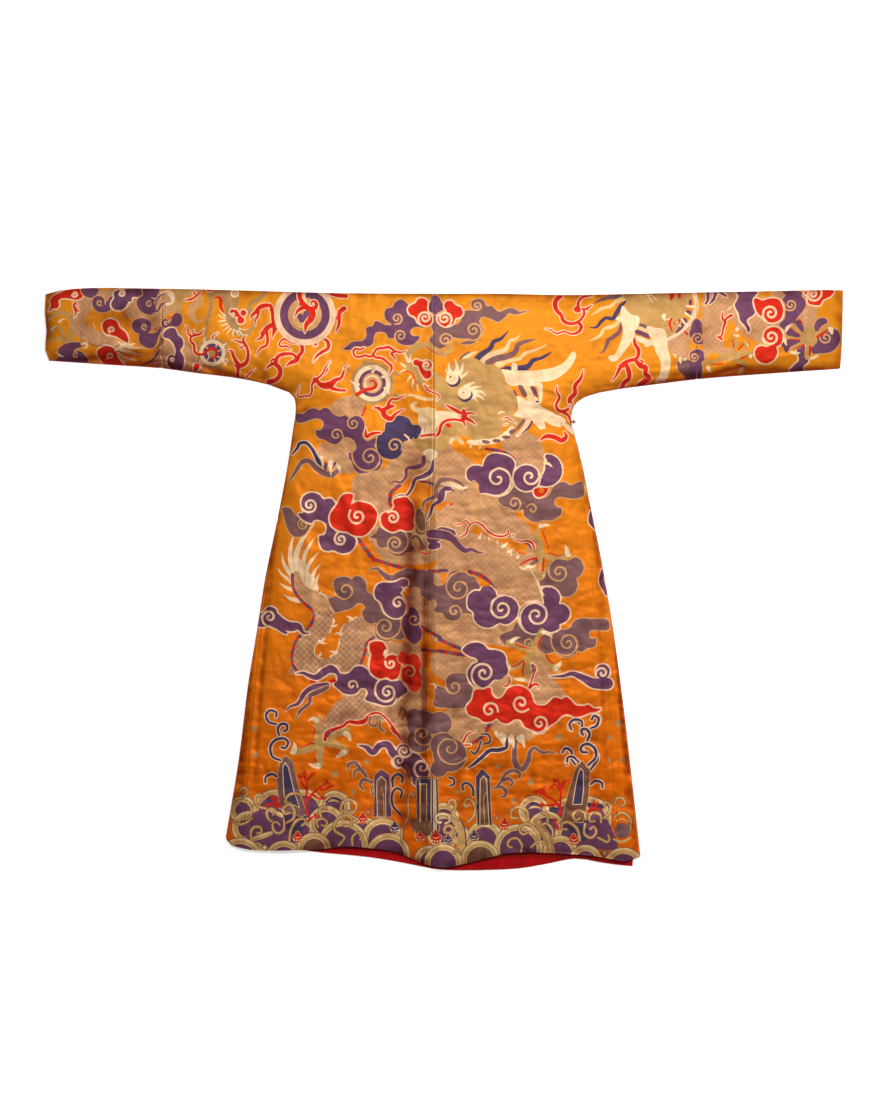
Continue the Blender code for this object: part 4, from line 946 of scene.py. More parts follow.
motif("red", "pink",
    Stroke([(455, 524.5), (460.9, 524), (465.9, 520.6), (469.8, 524), (475.8, 522), (481.7, 525),
        (488.6, 531.9), (496.5, 535.9), (504.4, 535.9), (508.4, 532.9), (507.9, 530)],
        [1.2, 1.3, 1.4, 1.5, 1.7, 1.9, 1.9, 1.9, 1.9, 1.7, 1.2]),
    Stroke([(459.9, 537.4), (465.9, 533.9), (467.9, 528), (470.3, 524.5)], [1, 1.7, 1.6, 1.4]),
    Stroke([(514.3, 539.8), (522.2, 541.3), (528.2, 540.8), (533.1, 544.8), (534.1, 549.7),
        (532.1, 550.7)], [0.8, 1.4, 1.5, 2.4, 1.8, 0.6]))
paint("red", Stroke([(515.3, 549.7), (519.3, 552.7), (526.2, 554.2)], [0.7, 1.1, 0.7]))
paint("cream", Disc(513.1, 535.4, 2.6))
paint("tan", Disc(513.1, 535.4, 1.3))
paint("violet", Stroke([(525.2, 543.3), (529.1, 544.8), (531.1, 549.2)], [0.8, 2.2, 0.8]))
paint("mauve",
    Stroke([(440, 481.1), (450.8, 479.5), (460.6, 483.3), (466, 490.4)], [2.6, 2.8, 2.6, 0.9]))
paint("cream",
    Stroke([(442.2, 484.4), (453, 484.4), (461.7, 488.2), (467.1, 487.1)], [2, 3.7, 4.3, 1.5]))
paint("violet",
    Stroke([(438.9, 497.9), (442.2, 490.9), (447.6, 488.2), (454.1, 490.9)], [4.3, 4.3, 3.7, 1.1]))
paint("ground", Stroke([(437.8, 507.7), (445.4, 503.4), (450.8, 502.3)], [6.5, 4.3, 1.7]))
paint("red", Disc(451.6, 504.4, 1.5))
paint("tan",
    Stroke([(473.6, 482.8), (475.8, 488.2), (472.5, 495.8), (474.7, 506.6), (473.6, 520.7)],
        [5.4, 6.5, 7.6, 6.5, 4.3]))
motif("violet", "tan",
    Stroke([(430.2, 533.7), (443.3, 534.8), (451.9, 538.6), (458.4, 545.6), (464.9, 550.5),
        (471.4, 549.4), (477.9, 552.2), (483.9, 552.4)], [8.2, 8.7, 8.2, 6.5, 5.2, 4.3, 2.4, 0.4]))
paint("olive",
    Stroke([(540.8, 555.4), (540.3, 544.6), (537, 535.9), (537.6, 529.4)], [7.2, 6.5, 5.4, 4.8]),
    Stroke([(540.8, 555.4), (548.4, 557), (559.3, 556.5), (570.1, 555.4)], [6.5, 5.4, 5, 5.4]),
    Stroke([(540.8, 554.3), (540.8, 566.2), (542.5, 576)], [6.5, 5.6, 6.5]),
    Stroke([(539.7, 556.5), (532.2, 564.1), (525.6, 566.8)], [5.4, 4.3, 3.3]),
    Stroke([(524.6, 550), (532.2, 551.1), (539.7, 554.3)], [2.2, 3.3, 5.4]))
paint("red", Stroke([(541.7, 530.5), (545.2, 538.1), (548.7, 548.9)], [1.1, 1.3, 0.9]),
    Stroke([(549.5, 552.9), (557.1, 555.6), (564.1, 554.6)], [1.1, 1.3, 0.9]),
    Stroke([(543.9, 557.6), (542.5, 570.6)], [1.7, 2.2]),
    Stroke([(520.8, 564.6), (527.8, 560.3), (536.5, 558.1)], [1.7, 1.7, 2.2]))
paint("cream", Stroke([(540.3, 525.9), (545.2, 525), (550.8, 525.4)], [4.6, 3.3, 0.2]),
    Stroke([(567.9, 554.3), (566.8, 550), (564.7, 544.3)], [5.4, 3.7, 0.2]),
    Stroke([(544.1, 576), (548.4, 573.8), (553.3, 571.1)], [3.9, 2.8, 0.2]),
    Stroke([(518.1, 566.8), (522.4, 568.4), (526.7, 569.5)], [0.7, 3.3, 1.1]),
    Stroke([(526.7, 566.8), (532.2, 566.8), (536.7, 565.4)], [3.3, 2.8, 0.4]))
paint("mauve", Stroke([(531.1, 564.1), (536.5, 560.8)], [2.2, 3.9]))
motif("mauve", "tan",
    Blob([(539.5, 581), (544.9, 577.8), (546.6, 569.1), (550.3, 561.5), (559, 559.3), (568.8, 560.4),
        (575.3, 557.2), (581.8, 561.5), (583.4, 569.1), (579.6, 576.1), (576.4, 578.3), (577.4, 586.4),
        (573.1, 594), (564.4, 596.7), (556.8, 591.9), (550.3, 586.4), (541.7, 586.4)]))
curl_line("tan", (559, 572.3, 9.5, 1.3, 140, -1))
motif("mauve", "tan",
    Blob([(425.7, 571.3), (430, 581), (433.3, 583.7), (438.7, 585.9), (444.1, 584.3), (446.3, 579.4),
        (450.6, 572.6), (457.1, 570.4), (463.6, 571.8), (469, 575.6), (474.5, 577.2), (477.7, 582.1),
        (479.9, 589.7), (473.4, 603.8), (473.4, 613.5), (465.8, 613), (461.4, 614.1), (458.4, 619),
        (452.2, 620.3), (445.7, 617.9), (442.5, 613), (436.5, 612.5), (434.1, 609.2), (436.5, 606.5),
        (436, 601.1), (432.2, 598.4), (426.7, 599.5)]))
curl_line("tan", (458.7, 588.1, 12.1, 1.4, 170, -1), (454.4, 611.2, 6.9, 1.15, 10, -1))
paint("violet", Stroke([(590.2, 500.1), (589.6, 506.6), (591.2, 514.2)], [0.7, 1.7, 1.1]))
motif("violet", "cream", Stroke([(591.2, 512), (590.9, 521.8), (595.6, 529.4)], [3.3, 4.8, 1.5]))
motif("violet", "cream", Stroke([(602.6, 570.6), (601.5, 581.4), (607, 594.4)], [3.3, 5.4, 3.3]))
tell("claws and clouds in the middle at the wearer's right")

# %% Clouds round the tail
motif("violet", "pink",
    Stroke([(260.9, 620.6), (270.6, 618.2), (279.1, 623), (290, 626.6), (298.5, 626.6), (303.3, 632.7),
        (309.4, 633.3)], [13.3, 15.8, 13.3, 9.7, 8.5, 3.6, 0.7]), Disc(270.6, 613.3, 6.5),
    Stroke([(277.9, 625.4), (283.9, 631.5), (286.4, 632.7)], [7.3, 4.8, 2.4]))
curl_line("pink", (269.4, 616.9, 5.3, 0.94, 280, 1))
motif("mauve", "tan",
    Blob([(333.7, 585.5), (334.7, 579.7), (341.1, 576.9), (348.4, 577.3), (351.6, 579.7),
        (354.7, 576.6), (360, 576.6), (365.3, 580.8), (366.3, 586.6), (367.4, 591.8), (372.6, 595.5),
        (378.9, 604.5), (383.2, 613.9), (391.6, 618.2), (400, 620.3), (404.2, 628.7), (404.2, 635),
        (402.1, 639.2), (395.8, 639.2), (392.6, 638.2), (389.5, 640.8), (383.2, 640.8), (378.9, 639.2),
        (375.8, 635), (374.7, 626.6), (375.8, 622.4), (372.6, 623.4), (367.4, 622.4), (363.2, 617.1),
        (362.1, 611.8), (365.3, 607.6), (362.1, 603.4), (356.8, 603.9), (352.6, 607.6), (347.4, 609.7),
        (342.1, 610.8), (336.8, 612.4), (333.7, 609.7), (328.9, 601.3), (329.5, 598.2), (334.7, 596.6),
        (335.8, 593.9)]))
curl_line("tan", (345.3, 590.3, 9.7, 1.2, 140, -1), (385.1, 626.8, 8.4, 1.2, 200, 1))
motif("mauve", "tan",
    Stroke([(368.9, 570.3), (376.8, 568.5), (382.1, 572.9), (387.4, 577.1), (393.7, 577.9),
        (400, 575.5), (407.4, 572.9)], [0.6, 2.3, 4, 5.5, 6.3, 8, 9.5]))
paint("mauve",
    Blob([(404.2, 573.9), (409.5, 570.8), (428.4, 570.8), (433.2, 572.9), (433.2, 599.2),
        (428.4, 599.2), (421.1, 595.5), (420, 589.7), (414.7, 587.1), (409.5, 588.7), (407.9, 580.3)]))
paint("tan",
    Stroke([(407.8, 579.7), (408.9, 588.9), (414.7, 586.9), (419.8, 589.5), (420.8, 595.5),
        (428.4, 599)], [0.5, 0.8, 0.9, 0.9, 0.9, 0.6]))
motif("violet", "pink",
    Blob([(374.5, 591.8), (376.8, 585.5), (382.1, 582.6), (389.5, 582.6), (395.8, 581.8), (402.1, 579),
        (407.6, 580.3), (407.6, 585.5), (404.7, 586.6), (402.6, 589.7), (400.5, 593.4), (403.2, 597.1),
        (405.5, 602.4), (405.1, 610.8), (402.1, 616.1), (396.8, 618.2), (389.5, 616.3), (384.2, 610.8),
        (381.1, 602.4), (375.8, 598.2)]))
curl_line("pink", (398.1, 602.9, 6.9, 1.2, 0, -1))
paint("cream", Stroke([(401.1, 586.6), (404.2, 588.5), (407.6, 588.5)], [0.4, 1.7, 1.1]),
    Stroke([(404.2, 589.7), (405.8, 591.3), (403.2, 591.5)], [1.1, 1.1, 0.3]))
motif("violet", "tan",
    Blob([(409.5, 607.6), (413.7, 607.6), (417.9, 611.8), (419.5, 618.2), (418.9, 625.5),
        (421.1, 628.7), (421.9, 635), (420, 640.3), (414.7, 643.9), (410.5, 642.4), (406.3, 637.1),
        (403.2, 630.8), (401.6, 623.4), (403.2, 617.1), (407.4, 612.9)]))
curl_line("tan", (414, 619.4, 5.9, 1.0, 60, 1))
motif("violet", "pink",
    Stroke([(296.3, 673.4), (303.2, 672.9), (310.5, 676.1), (316.8, 677.1), (324.2, 671.8)],
        [0.6, 2.7, 4.2, 6.3, 7.4]),
    Blob([(320, 671.8), (326.3, 666.6), (331.6, 665), (336.8, 668.2), (340, 672.9), (345.3, 673.9),
        (350.5, 671.8), (354.7, 667.1), (361.1, 666.1), (367.4, 669.7), (370.5, 675), (378.9, 680.3),
        (387.4, 679.2), (393.7, 681.3), (400, 680.3), (402.1, 682.4), (407.4, 689.7), (406.3, 692.9),
        (401.1, 696.1), (397.9, 699.2), (395.8, 697.1), (395.3, 700.3), (391.6, 704.5), (384.2, 705.5),
        (376.8, 703.4), (370.5, 701.8), (365.3, 699.2), (367.9, 692.9), (365.3, 688.2), (360, 688.7),
        (356.8, 692.9), (350.5, 694.5), (343.2, 692.9), (340, 690.3), (333.7, 684.5), (337.4, 680.3),
        (335.8, 673.9), (329.5, 672.9), (324.2, 676.1)]))
curl_line("pink", (352.2, 685.3, 5.7, 1.0, 20, -1), (387.4, 692.1, 7.2, 1.2, 10, -1))
motif("red", "pink",
    Blob([(369.5, 665.5), (370.5, 658.2), (371.6, 655), (369.5, 649.7), (370, 643.4), (374.7, 641.3),
        (382.1, 641.8), (385.3, 645.5), (386.8, 649.7), (384.2, 655), (385.3, 659.2), (387.4, 656.1),
        (393.7, 655), (398.9, 658.2), (401.1, 665.5), (400, 672.9), (396.8, 678.2), (391.6, 679.7),
        (386.3, 677.6), (380, 678.7), (374.7, 676.1), (370.5, 671.8)]))
curl_line("pink", (390.7, 663.4, 5.7, 1.05, 200, -1))
paint("cream", Stroke([(383.2, 655), (385.8, 650.3), (388.6, 649)], [0.6, 2.5, 0.6]))
motif("red", "tan",
    Blob([(398.4, 656.1), (401.1, 651.8), (406.3, 652.9), (408.9, 655.5), (412.6, 653.4),
        (417.9, 656.1), (421.1, 663.4), (419.5, 670.8), (421.6, 679.2), (420, 687.6), (415.8, 691.8),
        (410.5, 689.7), (406.3, 682.4), (402.1, 679.2), (401.1, 671.8), (402.1, 666.6), (404.2, 664.5),
        (400, 662.4), (397.9, 659.2)]))
curl_line("tan", (409.1, 671.8, 7.6, 1.2, 220, 1))
motif("mauve", "tan", Stroke([(424.5, 669.1), (425.7, 688.4), (426.3, 705.4)], [0.5, 0.7, 1.2]))
paint("red", Stroke([(310.6, 681.2), (315.4, 682.4)], [2.2, 2.7]),
    Stroke([(328.8, 681.8), (334.8, 680.6)], [2.7, 3.2]))
motif("violet", "pink",
    Stroke([(327.5, 684.8), (313, 687.2), (304.5, 693.3), (298.5, 703), (290, 706.6), (286.4, 710.9)],
        [4.8, 5.3, 4.8, 4.4, 2.9, 0.6]))
motif("mauve", "tan",
    Stroke([(327.5, 687.2), (317.9, 692.1), (310.6, 695.7), (309.4, 703), (300.9, 710.2),
        (296, 718.7)], [3.6, 4.8, 3.6, 3.2, 2.9, 0.6]))
tell("clouds round the tail")

# %% Low clouds and claws at the wearer's right
motif("mauve", "tan",
    Blob([(500.5, 635.2), (505.9, 632.5), (512.4, 629.8), (516.7, 622.2), (523.2, 630.9),
        (534.1, 635.2), (543.8, 632), (559, 629.8), (564.4, 629.8), (569.9, 627.6), (574.2, 621.1),
        (581.8, 618.4), (590.5, 619), (600, 619), (607.8, 620.1), (607.8, 629.8), (592.6, 629.8),
        (588.8, 633.1), (590.5, 638.5), (595.9, 638.5), (594.8, 646.1), (587.2, 648.2), (581.8, 651.5),
        (576.4, 650.4), (575.3, 653.7), (566.6, 656.9), (557.9, 654.7), (554.7, 651.5), (547.1, 653.7),
        (541.7, 651.5), (534.1, 648.2), (525.4, 648.2), (514.6, 645), (505.9, 645), (501, 640.7)]))
curl_line("tan", (529.2, 642.6, 4.8, 1.0, 150, 1), (567.7, 643, 9.5, 1.4, 5, -1))
motif("violet", "pink",
    Blob([(467.4, 601.6), (469, 595.1), (474.5, 590.8), (479.9, 590.8), (482, 587.5), (489.1, 585.9),
        (495.1, 590.8), (497.2, 595.7), (503.7, 595.7), (511.3, 597.8), (516.7, 602.7), (518.4, 610.3),
        (515.7, 617.9), (510.2, 622.8), (504.8, 624.4), (499.4, 622.8), (494, 626), (487.5, 627.6),
        (479.9, 625.5), (474.5, 620.1), (473.4, 612.5), (468.5, 608.1)]))
curl_line("pink", (501.6, 608.7, 11.3, 1.45, 215, -1))
motif("violet", "pink",
    Blob([(518.9, 617.9), (520, 610.3), (524.3, 604.9), (530.8, 602.2), (538.4, 602.2), (543.8, 604.3),
        (543.3, 598.4), (542.2, 590.8), (544.9, 587.5), (550.3, 587), (556.8, 590.8), (560.1, 597.3),
        (559, 603.8), (563.4, 604.3), (568.8, 609.2), (569.3, 616.8), (564.4, 622.2), (559.6, 624.4),
        (559, 628.7), (551.4, 632), (542.8, 630.9), (534.1, 633.6), (526.5, 630.9), (521.1, 625.5)]))
curl_line("pink", (536.3, 615.2, 12.1, 1.45, 275, 1))
paint("cream",
    Stroke([(530.8, 570.2), (536.3, 579.9), (539.5, 587.5), (542.2, 598.4), (543.8, 602.7)],
        [0.9, 1.3, 1.5, 1.7, 0.7]),
    Stroke([(539.5, 587.5), (544.9, 586.4), (550.3, 587.5)], [2.6, 1.7, 0.3]),
    Stroke([(541.7, 591.9), (543.3, 595.1)], [1.7, 2.2]))
paint("ground",
    Blob([(510.2, 652.6), (516.7, 650.4), (525.4, 652.6), (523.2, 656.9), (512.4, 663.4),
        (509.1, 660.2)]),
    Blob([(509.1, 672.1), (516.7, 665.6), (524.3, 662.3), (523.2, 674.3), (511.3, 675.3)]),
    Blob([(476.6, 576.7), (484.2, 579.9), (490.2, 584.5), (488.5, 585.9), (482, 586.4),
        (478.2, 581.6)]))
paint("olive", Stroke([(534.4, 651), (536.9, 642.1), (542, 630.6)], [9.7, 7.1, 5.6]),
    Stroke([(533.1, 651), (521.6, 647.2), (508.2, 642.7)], [7.7, 6.6, 5.6]),
    Stroke([(530.6, 656.1), (519.1, 665.1), (507.6, 668.9)], [7.7, 6.4, 5.4]),
    Stroke([(529.3, 656.1), (526.7, 668.9), (525.5, 679.7)], [7.7, 6.6, 5.6]),
    Stroke([(540.8, 654.8), (549.7, 665.1), (558.6, 672.1)], [7.7, 6.4, 5.9]))
paint("red", Stroke([(515.3, 643.6), (522.9, 647.2), (529.9, 648.2)], [1.3, 1.8, 1]),
    Stroke([(542, 636.4), (539.2, 642.1), (538.5, 648.5)], [1.5, 2.3, 1.3]),
    Stroke([(523.5, 660.2), (516.5, 665.3), (509.5, 666.3)], [1.5, 1.8, 0.8]),
    Stroke([(524.2, 662.5), (522.7, 671.4), (523.5, 677.8)], [1.8, 1.8, 1]),
    Stroke([(545.9, 654.8), (548.4, 659.9), (553.5, 663.8)], [1.8, 1.8, 1]))
paint("cream", Stroke([(543.3, 631.9), (548.4, 633.8), (552.5, 638.5)], [4.6, 3.8, 0.3]),
    Stroke([(511.4, 641.5), (515.3, 638.3), (521, 637)], [4.6, 3.1, 0.3]),
    Stroke([(508.2, 667.6), (507, 663.1), (506.3, 658)], [5.1, 3.3, 0.3]),
    Stroke([(522.9, 679.7), (517.8, 679.1), (512.7, 678.1)], [4.3, 3.3, 0.3]),
    Stroke([(555.4, 668.2), (558.6, 665.1), (561.4, 660.2)], [5.6, 4.3, 0.3]))
motif("red", "cream",
    Stroke([(531.8, 663.1), (535.9, 667.6), (533.1, 675.3), (530.8, 682.9), (529.3, 688)],
        [0.6, 1.5, 1.8, 1.5, 2.6]),
    Stroke([(529.3, 688), (534.4, 684.2), (538.9, 685.7), (538.2, 688.6)], [2.6, 2.6, 2, 0.6]))
paint("violet", Stroke([(532.1, 664.4), (533.8, 668.9), (531.8, 672.7)], [1.5, 2.6, 1]))
motif("red", "cream",
    Stroke([(508.9, 676.5), (509.9, 681.6), (506.3, 686.1), (501.2, 684.4)], [1.5, 2, 2, 1]))
motif("violet", "pink",
    Stroke([(550.3, 676.5), (562.4, 675.9), (572.7, 673.7), (582.9, 677.8), (593.1, 682.9),
        (607.3, 683.5)], [0.6, 2.6, 4.6, 7.1, 10.2, 11.5]), Disc(602.6, 671.4, 7.1))
curl_line("pink", (602.2, 673, 5.1, 0.88, 250, 1))
motif("mauve", "tan",
    Blob([(435.4, 686.2), (441.9, 687.3), (446.3, 688.4), (446.3, 679.7), (450.6, 674.3),
        (458.2, 673.2), (465.8, 675.3), (467.9, 681.8), (473.4, 690.5), (473.4, 700.3), (472.3, 706.8),
        (436.5, 706.8), (435.4, 695.9)]))
curl_line("tan", (454.1, 686.7, 8.2, 1.2, 180, -1))
paint("cream", Stroke([(430, 684), (434.3, 684), (436.7, 688.9)], [0.7, 1.7, 0.7]))
motif("violet", "pink",
    Blob([(462.5, 650.4), (466.9, 645), (475.5, 642.3), (483.1, 644.4), (488.5, 649.3), (495.1, 649.9),
        (502.6, 652.6), (505.9, 658), (505.9, 663.4), (508.1, 669.9), (505.9, 676.4), (499.4, 679.7),
        (494, 679.7), (488.5, 685.1), (481, 687.8), (473.4, 685.1), (468.5, 678.6), (467.9, 671),
        (472.3, 664.5), (477.7, 661.8), (475.5, 658), (469, 655.8)]))
curl_line("pink", (483.7, 673, 9.5, 1.3, 255, 1))
motif("red", "cream",
    Stroke([(455.3, 743.9), (463, 741.6), (467.4, 734.2), (476.4, 730.4)], [0.8, 2.3, 1.8, 0.6]),
    Stroke([(463, 745.4), (470.6, 744.8)], [2.6, 1.3]))
paint("body",
    Blob([(491.2, 688.3), (494.2, 682.3), (500.3, 679.8), (506.3, 675), (509.4, 679.2), (508.2, 684.1),
        (502.7, 686.7), (502.7, 695), (497.9, 698.9), (493, 695.6)]))
motif("red", "pink",
    Blob([(466.4, 707.1), (471.8, 699.8), (474.8, 690.1), (482.1, 689.5), (490, 687.7), (491.8, 693.8),
        (496.6, 698.6), (502.7, 696.2), (507.6, 688.9), (514.8, 685.9), (523.3, 687.1), (530.6, 692.6),
        (533, 699.8), (536.6, 704.7), (543.9, 705.3), (548.8, 702.3), (553.6, 697.4), (558.4, 698),
        (561.5, 699.2), (565.7, 696.8), (570.6, 699.8), (575.4, 704.7), (582.7, 705.9), (588.7, 704.7),
        (593.6, 708.3), (600.9, 708.3), (597.2, 711.3), (589.9, 712.6), (582.7, 715.6), (575.4, 716.8),
        (568.1, 714.4), (562.1, 715.6), (556, 721.6), (550, 725.3), (546.3, 728.9), (542.7, 732.6),
        (535.4, 732.6), (529.4, 728.9), (524.5, 726.5), (520.9, 720.4), (514.8, 719.2), (507.6, 723.5),
        (500.3, 721.6), (496.6, 718.6), (490.6, 721.6), (483.3, 721.6), (478.5, 718), (468.8, 714.4)]))
curl_line("pink", (489.6, 710.1, 8.7, 1.25, 10, -1), (521.1, 702.9, 9.7, 1.3, 40, 1),
    (539.7, 722.9, 7.5, 1.2, 10, -1))
motif("navy", "cream",
    Stroke([(506.3, 737.8), (506.3, 746.7), (498.7, 749.9), (489.7, 750.5), (482.1, 756.9),
        (473.2, 764.5), (466.8, 768.4)], [3.3, 3.8, 4.1, 3.8, 3.8, 3.1, 0.6]))
motif("mauve", "tan",
    Stroke([(516.5, 737.8), (514.6, 748), (515.3, 763.3), (521.6, 769.6), (528, 760.7), (529.9, 751.8),
        (534.4, 748), (542, 752.4), (548.4, 751.8), (556.7, 753.3)],
        [3.8, 4.3, 5.1, 5.6, 5.4, 4.6, 3.3, 2.6, 1.8, 0.5]))
paint("cream", Stroke([(501.2, 735.2), (502.5, 740.3), (505.1, 746.7)], [5.1, 4.3, 0.4]),
    Stroke([(511.4, 736.5), (512.1, 741.6), (514, 747.3)], [5.6, 4.3, 0.4]),
    Stroke([(521.6, 736.5), (522.9, 741.6), (524.8, 748)], [5.1, 4.3, 0.4]),
    Stroke([(496.1, 732.7), (498, 736.5), (501.2, 740.3)], [3.8, 3.1, 0.4]))
tell("low clouds and claws at the wearer's right")

# %% Hooks of spray at the wearer's right
hook([(481.5, 733.9), (488.5, 734.6), (490, 741.6), (483.4, 744.1)])
hook([(480.8, 741.6), (478.3, 749.2), (474.4, 753.7), (471.2, 751.1)])
hook([(581.6, 727.6), (577.8, 721.8), (571.4, 721.8), (568.6, 727.6), (571.4, 730.4)], 2, "navy",
    "pink")
hook([(589.9, 728.2), (598.2, 723.7), (599.4, 717.3), (594.3, 714.8), (592, 718)], 2.3, "navy", "pink")
hook([(588, 740.9), (588.6, 733.9), (584.1, 729.8), (580.3, 733.3), (582.9, 735.2)], 2.3, "navy",
    "pink")
hook([(590.5, 769.6), (597.5, 758.2), (594.3, 749.2), (586.7, 744.1), (581.3, 748), (585.4, 752.4)],
    2.8, "navy", "pink")
hook([(571.4, 756.2), (570.1, 750.5), (565.6, 747.3), (562.2, 750.5)], 2.3, "navy", "pink")
hook([(575.2, 764.5), (570.1, 758.2), (565.6, 760.7), (567.6, 764.5)], 2.3, "navy", "pink")
tell("hooks of spray at the wearer's right")

# %% Claw and streaks at the wearer's left
paint("olive", Stroke([(319.6, 739.8), (316.9, 727.4), (319.6, 717.8)], [10.4, 7.7, 6.3]),
    Stroke([(319.6, 742.5), (307.3, 749.4), (292.2, 752.1)], [9.6, 6.9, 6]),
    Stroke([(321, 743.9), (319.6, 754.8), (319.6, 765.8)], [8.2, 6.9, 6.9]),
    Stroke([(321, 741.1), (334.7, 743.9), (345.7, 750.7)], [9.6, 7.7, 7.4]),
    Stroke([(323.7, 738.4), (334.7, 734.3), (347, 730.2)], [8.2, 6.9, 6.9]))
paint("red", Stroke([(310.3, 726.1), (314.8, 728.8), (313.4, 735.7)], [0.7, 1.6, 1.6]),
    Stroke([(301.8, 747.3), (310, 743.9), (314.1, 743.2)], [0.7, 1.6, 1.4]),
    Stroke([(333.3, 748.7), (340.2, 750.7), (338.8, 753.5)], [1.4, 1.4, 0.7]),
    Stroke([(314.1, 756.2), (316.2, 760.3), (315.5, 763.1)], [1.1, 1.6, 0.7]))
paint("cream", Stroke([(316.9, 720.6), (312.8, 718.5), (308, 720.8)], [4.9, 3.6, 0.3]),
    Stroke([(293.6, 751.4), (294.9, 746.6), (294, 741.8)], [6, 4.7, 0.3]),
    Stroke([(318.2, 765.8), (312.8, 765.1), (308.4, 763.3)], [6, 4.1, 0.3]),
    Stroke([(344.3, 752.1), (340.2, 754.8), (335.4, 757.9)], [6, 4.7, 0.3]),
    Stroke([(345.7, 733.6), (349.1, 736.3), (350.9, 741.8)], [5.5, 4.1, 0.3]))
motif("red", "pink",
    Stroke([(325.1, 739.8), (326.5, 732.9), (333.3, 729.5), (342.9, 726.1), (348.4, 721.9),
        (358, 722.6), (364.9, 720.6), (370.3, 714.4), (378.6, 713), (385.4, 717.8), (392.3, 726.1),
        (401.9, 741.1)], [3.3, 3.6, 3.3, 2.7, 3.6, 4.9, 2.5, 1.9, 1.9, 2.2, 2.7, 0.7]),
    Stroke([(390.9, 727.4), (395, 732.9), (401.9, 734.3)], [1.9, 2.2, 0.7]))
paint("violet", Stroke([(327.2, 737), (329.2, 732.9), (334, 731.3)], [1.6, 2.7, 1.1]))
motif("violet", "pink",
    Stroke([(358.7, 745.2), (366.2, 747.3), (373.1, 752.1), (379.9, 745.2), (388.2, 745.2),
        (393.7, 753.5), (403.3, 757.6), (412.9, 763.1)], [0.7, 4.7, 6, 6, 6.9, 8.2, 16.5, 20.6]),
    Disc(397.8, 761.7, 5.5), Disc(419.7, 772.7, 9), Disc(418.3, 779.5, 6.3), Disc(403.3, 750.7, 6.3),
    Stroke([(408.7, 760.3), (417, 768.6)], [17.8, 20.6]))
curl_line("pink", (399.1, 760.3, 4.7, 0.88, 250, 1), (422.4, 767.2, 6.6, 0.94, 250, 1),
    (403.9, 750.7, 3.8, 0.82, 250, 1))
motif("mauve", "tan", Disc(421.1, 724.7, 13.7), Disc(419.7, 739.8, 12.1), Disc(414.2, 716.5, 8.2),
    Stroke([(422.4, 713.7), (430.7, 721.9), (440.3, 723.3)], [8.2, 20.6, 23.3]))
curl_line("tan", (422.4, 734.3, 6.6, 0.94, 240, 1))
motif("mauve", "tan", Disc(443, 745.2, 12.3), Disc(449.9, 754.8, 16.5), Disc(438.9, 768.6, 8.2))
curl_line("tan", (449.9, 748, 9.6, 1, 250, 1))
hook([(370.3, 716.5), (369.7, 723.3), (374.5, 726.1), (378.6, 720.6)], 1.9, "mauve", "tan")
hook([(379.9, 720.6), (379.9, 727.4), (384.1, 731.5)], 1.9, "mauve", "tan")
tell("claw and streaks at the wearer's left")

# %% [markdown]
# ## The sleeve at the wearer's left
#
# A part of another dragon lies here among clouds. Nearer the neck, a small pearl and the great pearl
# burn with red flames, which are strokes that fork and taper.

# %% Left sleeve
paint("olive",
    Stroke([(48.2, 320.2), (53.3, 315.6), (60.4, 312.8), (67.6, 314.6), (72.1, 320.7), (71.8, 329.9),
        (70.6, 343.2)], [2.7, 4.1, 4.7, 4.7, 4.5, 4.7, 4.1]),
    Stroke([(54.3, 329.9), (59.4, 327.3), (63, 333), (63.5, 342.1)], [2, 3.5, 3.5, 3.5]),
    Stroke([(48.7, 325.8), (51.2, 333), (49.7, 342.1)], [1.6, 2, 2]),
    Stroke([(51.2, 342.1), (57.3, 338.1), (66.5, 342.1), (70.6, 346.2)], [2, 3.1, 3.5, 4.1]))
paint("cream", Stroke([(59.4, 321.9), (62.7, 319.2), (66.3, 319.7)], [2.2, 1.6, 0.3]),
    Stroke([(52, 329.9), (54.1, 326.8), (57.1, 326.3)], [2.4, 1.6, 0.3]),
    Stroke([(48.7, 320.2), (50.2, 318.7), (53.3, 317.7)], [1, 0.8, 0.3]))
paint("red", Stroke([(66, 321.7), (66.5, 324.8), (65.5, 326.8)], [0.4, 0.7, 0.3]),
    Stroke([(56.8, 329.9), (58.6, 333), (60.4, 335.8)], [0.4, 0.8, 0.3]))
paint("body",
    Stroke([(91, 293.2), (84.9, 304.4), (79.8, 314.6), (78.3, 324.8), (84.9, 333), (97.1, 338.1),
        (110.4, 342.7), (120.6, 347.8), (128.8, 352.1)],
        [10.2, 16.3, 15.3, 14.3, 15.3, 13.3, 11.7, 7.1, 1.4]),
    Stroke([(95.1, 292.1), (105.3, 294.2), (114.5, 293.2), (127.8, 296.2)], [7.1, 8.2, 7.1, 6.1]),
    Blob([(125.2, 308.5), (128.8, 301.3), (138, 296.2), (150.2, 291.1), (172.7, 290.1), (182.9, 290.1),
        (182.3, 300.3), (180.8, 311.5), (171.6, 312.6), (162.4, 319.7), (161.4, 327.9), (152.2, 329.9),
        (150.2, 319.7), (140, 317.1), (130.8, 318.7), (125.7, 314.6)]),
    Blob([(158.4, 347.2), (162.4, 342.1), (171.6, 341.1), (174.7, 350.3), (172.7, 355.4),
        (166.5, 358.5), (166.5, 365.6), (171.6, 369.2), (156.3, 366.6), (149.2, 362.6),
        (153.3, 354.4)]),
    Blob([(182.3, 328.9), (186.9, 342.1), (193.1, 350.3), (201.2, 356.4), (203.3, 369.7),
        (199.2, 372.8), (184.9, 370.2), (184.9, 356.4), (183.4, 342.1)]))
